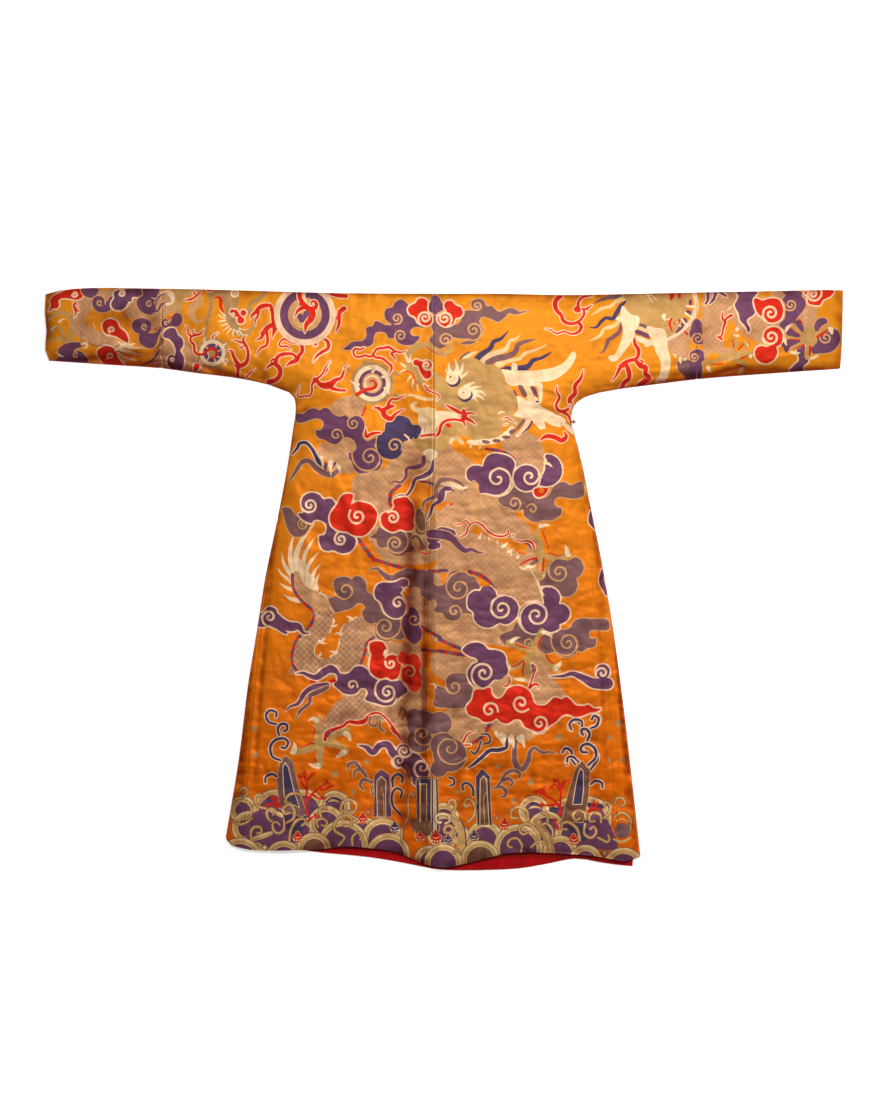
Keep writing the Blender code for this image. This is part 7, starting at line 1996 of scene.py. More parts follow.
motif("violet", "tan",
    Blob([(815, 323.1), (818.8, 318.8), (824.6, 318.4), (827.4, 322.2), (821.7, 326), (817.9, 330.8),
        (815, 331.3), (814.1, 327.9)]))
motif("violet", "tan",
    Blob([(831.3, 329.8), (837, 329.8), (839.9, 336.5), (838.9, 343.2), (834.1, 349.9), (827.4, 352.8),
        (819.8, 353.3), (813.1, 353.7), (811.2, 349), (816, 341.3), (818.8, 336.5), (824.6, 333.7)]))
curl_line("tan", (825.7, 337.7, 6.3, 1.3, 200, -1))
motif("violet", "pink",
    Blob([(796.8, 349), (804.5, 345.1), (804.5, 352.8), (806.4, 358.5), (808.3, 361.4), (803.5, 366.2),
        (801.6, 371), (789.7, 371), (794, 365.2), (798.8, 360.4), (797.8, 354.7)]))
paint("violet",
    Blob([(785.8, 332.2), (790.1, 328.4), (795.9, 331.7), (799.7, 337), (792.1, 337), (787.3, 335.6)]),
    Blob([(795.4, 323.1), (797.8, 319.8), (801.6, 323.1), (804.5, 330.8), (803.1, 332.7),
        (797.8, 328.4)]),
    Blob([(786.8, 340.4), (801.6, 339.9), (796.8, 343.7), (790.1, 347.1), (788.2, 350.9),
        (785.4, 352.8), (783.4, 348), (781.1, 345.1)]))
paint("olive",
    Blob([(804.5, 327), (814.1, 327.9), (815, 332.7), (822.7, 328.9), (828.4, 324.1), (832.2, 327.9),
        (830.3, 331.3), (823.6, 333.2), (817.9, 337.5), (816.9, 342.3), (811.2, 349), (810.7, 354.7),
        (808.3, 360), (805.4, 359), (804, 352.8), (806.4, 344.2), (802.6, 346.6), (791.1, 352.3),
        (787.7, 352.3), (790.6, 347.1), (800.7, 343.2), (802.6, 341.8), (791.1, 339.9), (783.9, 338.9),
        (786.3, 335.6), (796.8, 337.5), (801.6, 337), (800.7, 334.1), (795.9, 332.2), (789.2, 326),
        (793, 323.1), (798.8, 328.9), (803.1, 333.2)]))
paint("red", Stroke([(789.2, 327), (799.2, 335.6)], [1, 2.3]),
    Stroke([(817.4, 337), (828.4, 329.4)], [2.9, 1.7]),
    Stroke([(787.3, 339.2), (799.7, 340.2)], [1, 1.5]),
    Stroke([(793, 349.4), (803.5, 345.1)], [0.8, 2.1]),
    Stroke([(810.2, 347.1), (809.3, 355.2)], [3.1, 1.7]),
    Stroke([(797.8, 318.2), (802.1, 322.7)], [0.8, 1.5]))
paint("violet", Stroke([(791.6, 329.8), (798.3, 335.6)], [0.8, 2.3]),
    Stroke([(790.1, 340.5), (799.7, 341.1)], [0.8, 1.3]))
paint("cream", Blob([(785.4, 332.7), (786.1, 326.5), (791.6, 325), (789.2, 327.9)]),
    Blob([(783, 339.4), (785.4, 338), (786.8, 345.6), (784.4, 343.7)]),
    Blob([(790.1, 351.4), (800.2, 352.8), (795.9, 354.9), (791.1, 353.6)]),
    Blob([(810, 357.6), (818.8, 354.9), (815, 358.5), (810.7, 360)]),
    Blob([(827.9, 327.7), (832.7, 327.7), (832.7, 334.4), (830.3, 333.7)]))
tell("right sleeve clouds and claws")

# %% [markdown]
# ## The outline of each sewn piece
#
# Every sewn piece of cloth is already there as a plain slab. Its outline is the rim where the upper
# face meets the upright edge, so the cloth can be cut exactly to the slab, with no measuring.

# %% Outlines of the slabs
UPPER = ["back_left", "back_right", "gore_left", "gore_right", "sleeve_left_back", "sleeve_right_back"]
LOWER = ["front_left", "front_overlap", "front_right", "sleeve_left_front", "sleeve_right_front"]
LININGS = ["lining_front", "lining_inner"]
RIM_PITCH = 1.6


def to_squares(x, y):
    """Places in metres as squares of the chart, with the second number counted upwards."""
    return np.column_stack([np.asarray(x) / SQUARE + CENTRE_SQUARE[0],
                            np.asarray(y) / SQUARE - CENTRE_SQUARE[1]])


def rim(node):
    """The outline of a slab's upper face, in squares, anticlockwise and at most RIM_PITCH apart."""
    bm = bmesh.new()
    bm.from_mesh(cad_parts[node].data)
    bmesh.ops.remove_doubles(bm, verts=bm.verts, dist=1e-5)
    bm.normal_update()
    neighbours = {}
    for edge in bm.edges:
        up = [face.normal.z > 0.5 for face in edge.link_faces]
        if len(up) == 2 and up[0] != up[1]:
            a, b = (vertex.index for vertex in edge.verts)
            neighbours.setdefault(a, []).append(b)
            neighbours.setdefault(b, []).append(a)
    bm.verts.ensure_lookup_table()
    rings = []
    left = set(neighbours)
    while left:
        ring = [min(left)]
        left.discard(ring[0])
        onward = [n for n in neighbours[ring[-1]] if n in left]
        while onward:
            ring.append(onward[0])
            left.discard(onward[0])
            onward = [n for n in neighbours[ring[-1]] if n in left]
        rings.append(ring)
    places = np.array([bm.verts[i].co[:2] for i in max(rings, key=len)])
    bm.free()
    ring = to_squares(places[:, 0], places[:, 1])
    x, y = ring.T
    if np.sum(x * np.roll(y, -1) - y * np.roll(x, -1)) < 0:
        ring = ring[::-1]
    fine = []
    for a, b in zip(ring, np.roll(ring, -1, axis=0)):
        count = max(1, math.ceil(float(np.linalg.norm(b - a)) / RIM_PITCH))
        fine += [a + (b - a) * k / count for k in range(count)]
    return np.array(fine)


rims = {node: rim(node) for node in UPPER + LOWER + LININGS}
for node, ring in rims.items():
    print(node, len(ring), "points, from", ring.min(axis=0).round(1), "to", ring.max(axis=0).round(1))

# %% [markdown]
# ## How high the cloth lies
#
# A height map with one cell for each square of the chart holds the cloth's rise and fall. It starts
# from the slabs, which a ray finds from above, and is blurred so that none of their facets show. Then
# the folds and creases go in, each a path with a width and a height in millimetres. Last
# come the small ripples that satin always has, as blurred random numbers.

# %% Height of the slabs
MAP_WIDTH = 880
MAP_HEIGHT = 640
MAP_TOP = 250
COARSE = 4
MM = 0.001
PUFF = 4.5 * MM
PUFF_REACH = 9
PUFF_SHAPE = 0.8
FILL_REACHES = (2, 6, 30)
FACET_BLUR = 1.1
CELL_BLUR = 0.6


def blurred(values, across_x, across_y):
    """The map blurred by so many cells each way."""
    rows = np.fft.fftfreq(values.shape[0])[:, None]
    columns = np.fft.rfftfreq(values.shape[1])[None, :]
    soft = np.exp(-2 * math.pi ** 2 * ((rows * across_y) ** 2 + (columns * across_x) ** 2))
    return np.fft.irfft2(np.fft.rfft2(values) * soft, values.shape)


def height_map(nodes, from_above=True, puff=0.0):
    """How high the slabs' outer surface lies, with the gaps beside them filled from next to them.

    puff is how much higher the cloth lies in the middle than at its rim.
    """
    places, triangles = [], []
    for node in nodes:
        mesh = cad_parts[node].data
        first = len(places)
        places += [vertex.co.copy() for vertex in mesh.vertices]
        triangles += [[first + i for i in face.vertices] for face in mesh.polygons]
    tree = BVHTree.FromPolygons(places, triangles)
    found = np.full((MAP_HEIGHT // COARSE, MAP_WIDTH // COARSE), np.nan)
    start = 1.0 if from_above else -1.0
    ray = Vector((0, 0, -start))
    for i in range(found.shape[0]):
        for j in range(found.shape[1]):
            hit = tree.ray_cast(Vector((*at(j * COARSE, i * COARSE + MAP_TOP), start)), ray)[0]
            if hit:
                found[i, j] = hit.z
    known = ~np.isnan(found)
    filled = blurred(known.astype(float), PUFF_REACH / COARSE, PUFF_REACH / COARSE)
    total, weight = np.where(known, found, 0), known.astype(float)
    for reach in FILL_REACHES:
        share = blurred(weight, reach, reach)
        near = ~known & (share > 0.01)
        found[near] = blurred(total, reach, reach)[near] / share[near]
        known |= near
    found[~known] = total.sum() / weight.sum()
    found = blurred(found, FACET_BLUR, FACET_BLUR) + puff * np.clip(filled * 2 - 1, 0, 1) ** PUFF_SHAPE
    rows = np.arange(MAP_HEIGHT) / COARSE
    columns = np.arange(MAP_WIDTH) / COARSE
    r = np.minimum(rows.astype(int), found.shape[0] - 2)[:, None]
    c = np.minimum(columns.astype(int), found.shape[1] - 2)[None, :]
    a, b = rows[:, None] - r, columns[None, :] - c
    fine = ((found[r, c] * (1 - b) + found[r, c + 1] * b) * (1 - a)
            + (found[r + 1, c] * (1 - b) + found[r + 1, c + 1] * b) * a)
    return blurred(fine, COARSE * CELL_BLUR, COARSE * CELL_BLUR)


cloth_top = height_map(UPPER, puff=PUFF)
print("the slabs' tops lie between", *[round(z / MM, 1) for z in (cloth_top.min(), cloth_top.max())], "mm")

# %% Folds and creases
Crease = namedtuple("Crease", "path width height")
CREASES = [
    # The ridge down the centre-back seam, and the valley that shades the cloth to its left
    Crease([(434, 300), (435, 380), (436, 520), (436, 680), (438, 780), (440, 868)], 4, 1.3),
    Crease([(414, 440), (410, 560), (407, 660), (404, 760), (402, 866)], 8, -1.3),
    Crease([(426, 500), (424, 600), (423, 700), (424, 866)], 2.5, -0.6),
    Crease([(392, 560), (386, 660), (380, 760), (376, 850)], 4, 0.6),
    # Long soft folds that fall from the armpits
    Crease([(300, 440), (330, 470), (352, 520), (362, 590)], 5, 0.9),
    Crease([(288, 470), (305, 520), (312, 590), (314, 660)], 5, 0.9),
    Crease([(560, 470), (548, 520), (538, 590), (530, 660)], 6, 0.8),
    Crease([(594, 470), (604, 560), (612, 650), (618, 740), (622, 850)], 3, 1.0),
    Crease([(600, 480), (609, 570), (616, 660), (622, 750)], 2.4, -1.1),
    Crease([(586, 500), (592, 600), (598, 700), (604, 800), (607, 858)], 4, 0.8),
    Crease([(268, 520), (260, 600), (254, 690), (248, 780), (244, 846)], 3, 0.9),
    Crease([(274, 540), (267, 620), (260, 700), (254, 790)], 2.2, -0.9),
    # Diagonal pulls at the armpits
    Crease([(284, 404), (300, 392), (318, 384), (340, 380)], 3, 0.8),
    Crease([(288, 418), (310, 408), (330, 404)], 2.4, -0.7),
    Crease([(292, 432), (316, 428), (340, 430)], 3, 0.7),
    Crease([(572, 404), (556, 392), (538, 386)], 3, 0.8),
    Crease([(568, 418), (548, 410), (530, 408)], 2.4, -0.7),
    # Gathers along the undersides of the sleeves
    Crease([(60, 352), (90, 350), (120, 346), (150, 350)], 2.6, 0.9),
    Crease([(70, 360), (100, 358), (130, 356)], 1.8, -0.7),
    Crease([(120, 362), (150, 358), (180, 362), (210, 372)], 2.4, 0.8),
    Crease([(160, 366), (190, 366), (220, 378), (250, 384)], 2.2, 0.9),
    Crease([(180, 374), (210, 384), (240, 388)], 1.6, -0.7),
    Crease([(220, 366), (250, 378), (275, 388)], 2.2, 0.7),
    Crease([(590, 392), (620, 388), (650, 380), (690, 378)], 2.4, 0.9),
    Crease([(600, 400), (630, 392), (660, 388)], 1.6, -0.7),
    Crease([(640, 372), (670, 370), (700, 366)], 2.2, 0.6),
    Crease([(700, 372), (720, 366), (740, 358), (760, 356)], 2.2, 1.0),
    Crease([(705, 378), (725, 372), (745, 366)], 1.5, -0.8),
    Crease([(760, 362), (785, 356), (810, 350)], 2.4, 0.8),
    Crease([(800, 366), (820, 362), (838, 360)], 2, 0.5),
    # The strained ground beside the gores and above the waves
    Crease([(232, 762), (250, 766), (270, 768), (290, 764)], 2, 0.7),
    Crease([(236, 772), (256, 774), (278, 776)], 1.6, -0.6),
    Crease([(240, 790), (258, 786), (276, 786)], 1.8, 0.5),
    Crease([(300, 756), (330, 760), (360, 766), (384, 776)], 2.2, 0.6),
    Crease([(310, 742), (340, 746), (370, 752)], 1.8, 0.5),
    Crease([(450, 762), (480, 758), (510, 760), (540, 756)], 2.2, 0.6),
    Crease([(520, 742), (550, 744), (576, 740)], 1.8, 0.5),
    Crease([(470, 776), (500, 780), (530, 776), (560, 782)], 1.8, -0.5),
    # The hem, which lifts where the lining shows
    Crease([(300, 862), (330, 858), (360, 858), (392, 864)], 4, 1.4),
    Crease([(500, 866), (540, 858), (580, 856), (610, 862)], 4, 1.4),
]


PATH_STEP = 1.5
END_ANGLE = 0.05
END_SHAPE = 0.6
SPREAD = 0.7


def path_map(path, width):
    """1 on a path, falling softly to 0 beside it and towards its two ends."""
    line = curve(path, step=PATH_STEP) - (0, MAP_TOP)
    strengths = np.sin(np.linspace(END_ANGLE, math.pi - END_ANGLE, len(line))) ** END_SHAPE
    found = np.zeros((MAP_HEIGHT, MAP_WIDTH))
    low = np.maximum(np.floor(line.min(axis=0) - width * 3), 0).astype(int)
    high = np.minimum(np.ceil(line.max(axis=0) + width * 3).astype(int), (MAP_WIDTH, MAP_HEIGHT))
    xs, ys = np.meshgrid(np.arange(low[0], high[0]), np.arange(low[1], high[1]))
    best = np.zeros(xs.shape)
    for (x, y), strength in zip(line, strengths):
        near = (xs - x) ** 2 + (ys - y) ** 2
        best = np.maximum(best, strength * np.exp(-near / (2 * (width * SPREAD) ** 2)))
    found[low[1]:high[1], low[0]:high[0]] = best
    return found


CREASE_DEPTH = 2.0 * MM
relief = np.zeros((MAP_HEIGHT, MAP_WIDTH))
for crease in CREASES:
    relief += path_map(crease.path, crease.width) * crease.height * CREASE_DEPTH
print(len(CREASES), "creases, between", *[round(z / MM, 1) for z in (relief.min(), relief.max())], "mm")

# %% Ripples of the satin
Ripple = namedtuple("Ripple", "across_x across_y height sharp")
RIPPLES = [
    Ripple(11, 6, 0.5, False),
    Ripple(6.5, 3.2, 0.55, True),
    Ripple(3.4, 5.5, 0.35, True),
    Ripple(2.6, 1.5, 0.24, True),
    Ripple(1.3, 1.0, 0.08, False),
]
SEED = 24
CALM_ROWS = (290, 400, 620, 720, 860)
CALM = (0.6, 0.7, 0.9, 1.2, 1.2)
LAST_BLUR = 0.6
random_numbers = np.random.default_rng(SEED)
ripples = np.zeros((MAP_HEIGHT, MAP_WIDTH))
for ripple in RIPPLES:
    rough = blurred(random_numbers.standard_normal(ripples.shape), ripple.across_x, ripple.across_y)
    rough /= rough.std()
    ripples += (np.abs(rough) if ripple.sharp else rough) * ripple.height * MM
# The shoulders lie smoother than the skirt
ripples *= np.interp(np.arange(MAP_HEIGHT) + MAP_TOP, CALM_ROWS, CALM)[:, None]
cloth_top += blurred(relief + ripples, LAST_BLUR, LAST_BLUR)
print("ripples up to", round(ripples.max() / MM, 2), "mm")

# %% [markdown]
# ## Painted shade in the hollows
#
# Satin gives light back along the slope it lies on, so its hollows and its flanks look much deeper in
# colour than its crests. That shade is painted into the colour here: the height map shows where the
# hollows are, which are painted darker, and on the crests the painted shade is weaker. The broad dark
# places, such as the flank beside the ridge and the undersides of the sleeves, are painted shade given
# as soft bands.

# %% Painted shade
# Each band is a path, a width in squares, and how strong its painted shade is
Band = namedtuple("Band", "path width depth")
BANDS = [
    # Painted shade on the flank to the left of the ridge, and a thin dark line in the seam
    Band([(418, 420), (414, 520), (413, 620), (411, 720), (408, 800), (406, 868)], 16, 0.5),
    Band([(428, 560), (426, 660), (425, 760), (426, 868)], 6, 0.35),
    Band([(437.5, 330), (438.2, 500), (438.6, 700), (440, 868)], 2.2, 0.4),
    Band([(452, 640), (458, 740), (462, 860)], 6, 0.16),
    # Painted shade at the shoulder fold
    Band([(50, 291), (160, 290), (300, 291), (440, 293), (580, 295), (700, 292), (842, 290)], 5, 0.42),
    # Painted shade at the cuffs and the undersides of the sleeves
    Band([(50, 290), (47, 320), (50, 356)], 9, 0.6),
    Band([(838, 290), (840, 330), (838, 368)], 7, 0.34),
    Band([(54, 354), (110, 358), (170, 364), (230, 374), (290, 392)], 9, 0.8),
    Band([(60, 340), (120, 350), (180, 352)], 8, 0.35),
    Band([(56, 316), (110, 318), (180, 322)], 16, 0.34),
    Band([(252, 358), (260, 366), (268, 380)], 4, 0.45),
    Band([(150, 300), (156, 330), (160, 362)], 7, 0.34),
    Band([(115, 296), (130, 320), (138, 350)], 8, 0.22),
    Band([(586, 392), (640, 382), (700, 376), (770, 372), (836, 368)], 7, 0.7),
    Band([(598, 390), (650, 385), (700, 379), (740, 375), (790, 371), (836, 368)], 2.6, 0.6),
    Band([(702, 378), (716, 373), (735, 366), (752, 367), (772, 364)], 2.4, 0.6),
    Band([(770, 360), (800, 352), (838, 358)], 6, 0.2),
    Band([(700, 296), (704, 330), (700, 372)], 6, 0.25),
    Band([(744, 298), (748, 330), (742, 368)], 6, 0.22),
    # Painted shade below the armpits and down the sides
    Band([(292, 394), (286, 440), (274, 520), (262, 620)], 5, 0.3),
    Band([(578, 396), (588, 450), (598, 540), (606, 640)], 5, 0.22),
    Band([(258, 640), (246, 740), (236, 840)], 7, 0.4),
    Band([(612, 560), (620, 660), (626, 760), (631, 850)], 5, 0.2),
    Band([(597, 600), (602, 700), (606, 800), (608, 850)], 4, 0.4),
    # Painted shade above the waves
    Band([(236, 838), (300, 846), (380, 856), (440, 864), (520, 858), (600, 856)], 8, 0.3),
    Band([(250, 780), (300, 776), (350, 790)], 9, 0.18),
    Band([(500, 786), (560, 790), (600, 780)], 9, 0.18),
    Band([(320, 716), (350, 726), (400, 730)], 8, 0.16),
]
# How deep a hollow takes the full painted shade, how strong that shade is, how much the crests take off
# it, and the darkest painted shade
HOLLOW = 1.5 * MM
HOLLOW_BLUR = 6
HOLLOW_PAINTED_SHADE = 0.7
CREST_PAINTED_SHADE = -0.35
DARKEST_PAINTED_SHADE = 0.9
# Painted shade: darker in the hollows of the height map and along the bands, weaker on the crests
hollows = (blurred(cloth_top, HOLLOW_BLUR, HOLLOW_BLUR) - cloth_top) / HOLLOW
painted_shade_map = HOLLOW_PAINTED_SHADE * np.clip(hollows, CREST_PAINTED_SHADE, 1)
for band in BANDS:
    painted_shade_map += path_map(band.path, band.width) * band.depth
painted_shade_map = np.clip(blurred(painted_shade_map, 1, 1), 0, DARKEST_PAINTED_SHADE)
# The darkest painted shade
print("the deepest colour is", round(float(painted_shade_map.max()), 2))

# %% [markdown]
# ## Cutting the cloth
#
# The pattern could be a picture, but a lesson with no pictures needs another way. Here each piece of
# cloth is cut like marquetry: the piece's outline and all the chart's outlines go into one planar
# triangulation, so every colour meets the next along a clean line, and each triangle takes the tone
# of the topmost shape over it. The same triangulation carries an even lattice of points, so that the
# cloth can bend into its folds, and rows of points beside the rim, where it rolls over.

# %% The cutting tools
LATTICE_PITCH = 2.0
RIM_INSETS = (0.3, 0.8, 1.5, 2.4)
RIM_CLEARANCE = 0.5
ROW_SHARE = 0.866
GLUE = 1e-6


def signed_area(outline):
    """The area inside an outline, negative if it runs clockwise."""
    x, y = outline.T
    return 0.5 * float(np.sum(x * np.roll(y, -1) - y * np.roll(x, -1)))


def inwards(ring):
    """The unit direction into the cloth at each point of its rim."""
    return across(np.vstack([ring[-1:], ring, ring[:1]]))[1:-1]


def to_rim(points, ring):
    """How far each point is from the rim, and the number of the rim's nearest point."""
    tree = KDTree(len(ring))
    for k, (x, y) in enumerate(ring):
        tree.insert((x, y, 0), k)
    tree.balance()
    index = np.array([tree.find((x, y, 0))[1] for x, y in points])
    corner = ring[index]
    distance = np.linalg.norm(points - corner, axis=1)
    for beside in (np.roll(ring, -1, axis=0), np.roll(ring, 1, axis=0)):
        along = beside[index] - corner
        share = np.sum((points - corner) * along, axis=1) / np.sum(along * along, axis=1)
        foot = corner + along * np.clip(share, 0, 1)[:, None]
        distance = np.minimum(distance, np.linalg.norm(points - foot, axis=1))
    return distance, index


def cut(ring, motifs, pitch=LATTICE_PITCH):
    """Triangulates a piece of cloth. Returns its points in squares, its triangles and their tones."""
    low, high = ring.min(axis=0), ring.max(axis=0)
    outlines, tones = [ring], [tone_names.index("ground")]
    for tone, outline in motifs:
        flipped = outline * (1, -1)
        if (flipped.max(axis=0) > low).all() and (flipped.min(axis=0) < high).all():
            outlines.append(flipped if signed_area(flipped) > 0 else flipped[::-1])
            tones.append(tone)
    lattice = []
    for k, row in enumerate(np.arange(low[1], high[1], pitch * ROW_SHARE)):
        columns = np.arange(low[0] + (k % 2) * pitch / 2, high[0], pitch)
        lattice.append(np.column_stack([columns, np.full(len(columns), row)]))
    lattice = np.vstack(lattice)
    lattice = lattice[is_inside(lattice, ring)]
    loose = [lattice[to_rim(lattice, ring)[0] > RIM_INSETS[-1] + RIM_CLEARANCE]]
    for depth in RIM_INSETS:
        moved = ring + inwards(ring) * depth
        loose.append(moved[(to_rim(moved, ring)[0] > depth * 0.9) & is_inside(moved, ring)])
    places = [Vector(p) for group in outlines + loose for p in group]
    faces, first = [], 0
    for outline in outlines:
        faces.append(list(range(first, first + len(outline))))
        first += len(outline)
    found, _, triangles, _, _, sources = delaunay_2d_cdt(places, [], faces, 1, GLUE, True)
    spots = np.array([[found[i][:] for i in triangle] for triangle in triangles]).mean(axis=1)
    kept = [(triangle, max(source, default=0))
            for triangle, source, inside in zip(triangles, sources, is_inside(spots, ring)) if inside]
    used = sorted({i for triangle, _ in kept for i in triangle})
    number = {old: new for new, old in enumerate(used)}
    points = np.array([found[i][:] for i in used])
    corners = np.array([[number[i] for i in triangle] for triangle, _ in kept])
    return points, corners, np.array([tones[source] for _, source in kept])


print("cutting tools ready")

# %% [markdown]
# ## Laying the cloth
#
# A cut piece is laid on its height map. What its rim does depends on where it is: at the shoulder
# fold, the sides and the undersides of the sleeves it rolls over to meet the layer below, at a seam
# it dips into a groove, and at the hem and cuffs it is turned under. The normals are worked out from
# the map itself, so that the many thin triangles of the pattern don't show in the shading.

# %% How a piece meets its rim
MIDDLE = 1.6 * MM
ROLL = 1.7
GROOVE = 1.5
GROOVE_DEPTH = 0.7 * MM
CLOTH = 1.2 * MM
FOLD_LIP = 0.2 * MM
SEAM_REACH = 0.9
HEM_FROM = 800
HEM_FACING = 0.75
CUFFS = (54, 834)
CUFF_FACING = 0.9
SLOPE_REACH = 0.75
STEEPEST = 0.0025
TINY = 1e-6

FOLD, SEAM, OPEN = 0, 1, 2
# How far the cloth is turned under at a fold, a seam and an open edge, in millimetres
TURNED_UNDER = np.array([1.0, 2.5, 10.0])


def rim_kinds(node, neighbours):
    """Whether each point of a rim is a fold, a seam or an open edge."""
    ring = rims[node]
    kinds = np.full(len(ring), FOLD)
    outward = -inwards(ring)
    kinds[(outward[:, 1] < -HEM_FACING) & (-ring[:, 1] > HEM_FROM)] = OPEN
    kinds[(outward[:, 0] < -CUFF_FACING) & (ring[:, 0] < CUFFS[0])] = OPEN
    kinds[(outward[:, 0] > CUFF_FACING) & (ring[:, 0] > CUFFS[1])] = OPEN
    for other in neighbours:
        if other != node:
            kinds[to_rim(ring, rims[other])[0] < SEAM_REACH] = SEAM
    return kinds


def sample(values, squares):
    """The map's value at each place given in squares, with the second number counted upwards."""
    column = np.clip(squares[:, 0], 0, MAP_WIDTH - 1.001)
    row = np.clip(-squares[:, 1] - MAP_TOP, 0, MAP_HEIGHT - 1.001)
    c, r = column.astype(int), row.astype(int)
    b, a = column - c, row - r
    return ((values[r, c] * (1 - b) + values[r, c + 1] * b) * (1 - a)
            + (values[r + 1, c] * (1 - b) + values[r + 1, c + 1] * b) * a)


def lay(points, ring, kinds, surface, up=1):
    """The height and the normal of each point of a cut piece. up is -1 for a piece that faces down."""
    distance, index = to_rim(points, ring)
    height = sample(surface, points)
    steps = ((SLOPE_REACH, 0), (0, SLOPE_REACH))
    rises = [sample(surface, points + step) - sample(surface, points - step) for step in steps]
    slope_x, slope_y = (rise / (2 * SLOPE_REACH) for rise in rises)
    kind = kinds[index]
    inner = inwards(ring)[index]
    share = np.clip(1 - distance / ROLL, 0, 1)
    roll = np.sqrt(np.clip(1 - share ** 2, STEEPEST, 1))
    steep = np.where(share > 0, share / roll / ROLL, 0) * (height - MIDDLE)
    groove = np.clip(1 - distance / GROOVE, 0, 1)
    dip = up * GROOVE_DEPTH * groove ** 2
    dip_slope = up * GROOVE_DEPTH * 2 * groove / GROOVE
    at_fold, at_seam = kind == FOLD, kind == SEAM
    laid = np.where(at_fold, MIDDLE + (height - MIDDLE) * roll, np.where(at_seam, height - dip, height))
    tilt = np.where(at_fold, steep, np.where(at_seam, dip_slope, 0))
    slope_x = slope_x + tilt * inner[:, 0]
    slope_y = slope_y + tilt * inner[:, 1]
    normals = np.column_stack([-slope_x / SQUARE, -slope_y / SQUARE, np.ones(len(points))]) * up
    return laid, normals / np.linalg.norm(normals, axis=1, keepdims=True)


# How much of the scales, of the mottled weave and of the ground each tone has. The ground takes the
# painted light, paler at the shoulders than at the hem, and the fourth channel is replaced by the
# painted shade
TEXTURES = {"scaled": (1, 0.6, 0), "body": (0.4, 1, 0), "ground": (0, 0, 1), "olive": (0, 0.3, 0)}
tone_textures = np.array([(*TEXTURES.get(name, (0, 0, 0)), 1) for name in tone_names], float)


def sewn_piece(name, points, corners, tones, heights, normals, kind, up=1):
    """A mesh of the laid cloth with its rim turned under. kind is each point's kind of rim."""
    ends = np.vstack([corners[:, [0, 1]], corners[:, [1, 2]], corners[:, [2, 0]]])
    owner = np.tile(np.arange(len(corners)), 3)
    lone = {}
    for (a, b), triangle in zip(ends.tolist(), owner.tolist()):
        if (b, a) in lone:
            del lone[(b, a)]
        else:
            lone[(a, b)] = triangle
    into = {}
    for a, b in lone:
        along = points[b] - points[a]
        side = np.array([-along[1], along[0]]) / max(np.linalg.norm(along), TINY)
        for end in (a, b):
            into[end] = into.get(end, 0) + side
    count = len(points)
    number = {vertex: k for k, vertex in enumerate(into)}
    turned = np.array(list(into))
    inner = np.array([side / max(np.linalg.norm(side), TINY) for side in into.values()])
    drop = np.where(kind[turned] == FOLD, FOLD_LIP, CLOTH) * up
    width = TURNED_UNDER[kind[turned]] * MM
    x = (points[:, 0] - CENTRE_SQUARE[0]) * SQUARE
    y = (points[:, 1] + CENTRE_SQUARE[1]) * SQUARE
    top = np.column_stack([x, y, heights])
    edge = np.column_stack([x[turned], y[turned], heights[turned] - drop])
    under = edge + np.column_stack([inner * width[:, None], np.zeros(len(turned))])
    faces, face_tones = corners.tolist(), tones.tolist()
    for (a, b), triangle in lone.items():
        a1, b1 = count + number[a], count + number[b]
        a2, b2 = a1 + len(turned), b1 + len(turned)
        faces += [[b, a, a1, b1], [b1, a1, a2, b2]]
        face_tones += [tones[triangle]] * 2
    if up < 0:
        faces = [face[::-1] for face in faces]
    mesh = bpy.data.meshes.new(name)
    mesh.from_pydata(np.vstack([top, edge, under]).tolist(), [], faces)
    loop_tones = np.repeat(face_tones, [len(face) for face in faces])
    # The painted shade of the hollows and folds goes into the fourth channel of both colour attributes
    depth = sample(painted_shade_map, points)
    loop_painted_shade = np.concatenate([depth, depth[turned], depth[turned]])[np.concatenate(faces)]
    for attribute, values in (("thread", tone_values), ("texture", tone_textures)):
        colours = values[loop_tones]
        colours[:, 3] = loop_painted_shade
        layer = mesh.color_attributes.new(attribute, "FLOAT_COLOR", "CORNER")
        layer.data.foreach_set("color", colours.ravel())
    mesh.shade_smooth()
    blank = np.zeros((2 * len(turned), 3))
    mesh.normals_split_custom_set_from_vertices(np.vstack([normals, blank]).tolist())
    mesh.validate()
    return mesh


def add_piece(name, mesh, material):
    """Puts a finished mesh in the scene as a piece that rides on the robe."""
    mesh.materials.append(material)
    piece = bpy.data.objects.new(name, mesh)
    bpy.context.scene.collection.objects.link(piece)
    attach(piece, "root")
    return piece


print("laying tools ready")

# %% [markdown]
# ## Silk
#
# Satin is a close weave of long floating threads. Seen from a step away it is a smooth colour with a
# soft sheen, faint streaks along the warp and a fine grain. The broad patches and the streaks in its
# colour are partly the weave and partly painted sheen. The chart's tones arrive as an attribute of the
# mesh. A second attribute says where the dragon's scales and the mottled weave of its body go, and
# where the ground is, which is painted paler at the shoulders than at the hem as painted light. Its
# fourth channel holds the painted shade of the hollows and folds.

# %% Satin and lining materials
SCALE_PITCH = 0.0145
SCALE_LINE = 0.0010
# Painted light: the ground is painted paler at the shoulders and deeper at the hem
SHOULDER_TONE, HEM_TONE = (241, 146, 28), (236, 106, 6)
SHOULDER_Y, HEM_Y = 0.62, -0.62
SCALE_TONE, SCALE_STRENGTH = (118, 88, 112), 0.75
FLECK_TONE, FLECK_STRENGTH = (178, 118, 92), 0.5
# The colour that the painted shade darkens the satin towards
PAINTED_SHADE_TONE = (140, 76, 60)
LINING_TONE = (192, 5, 12)


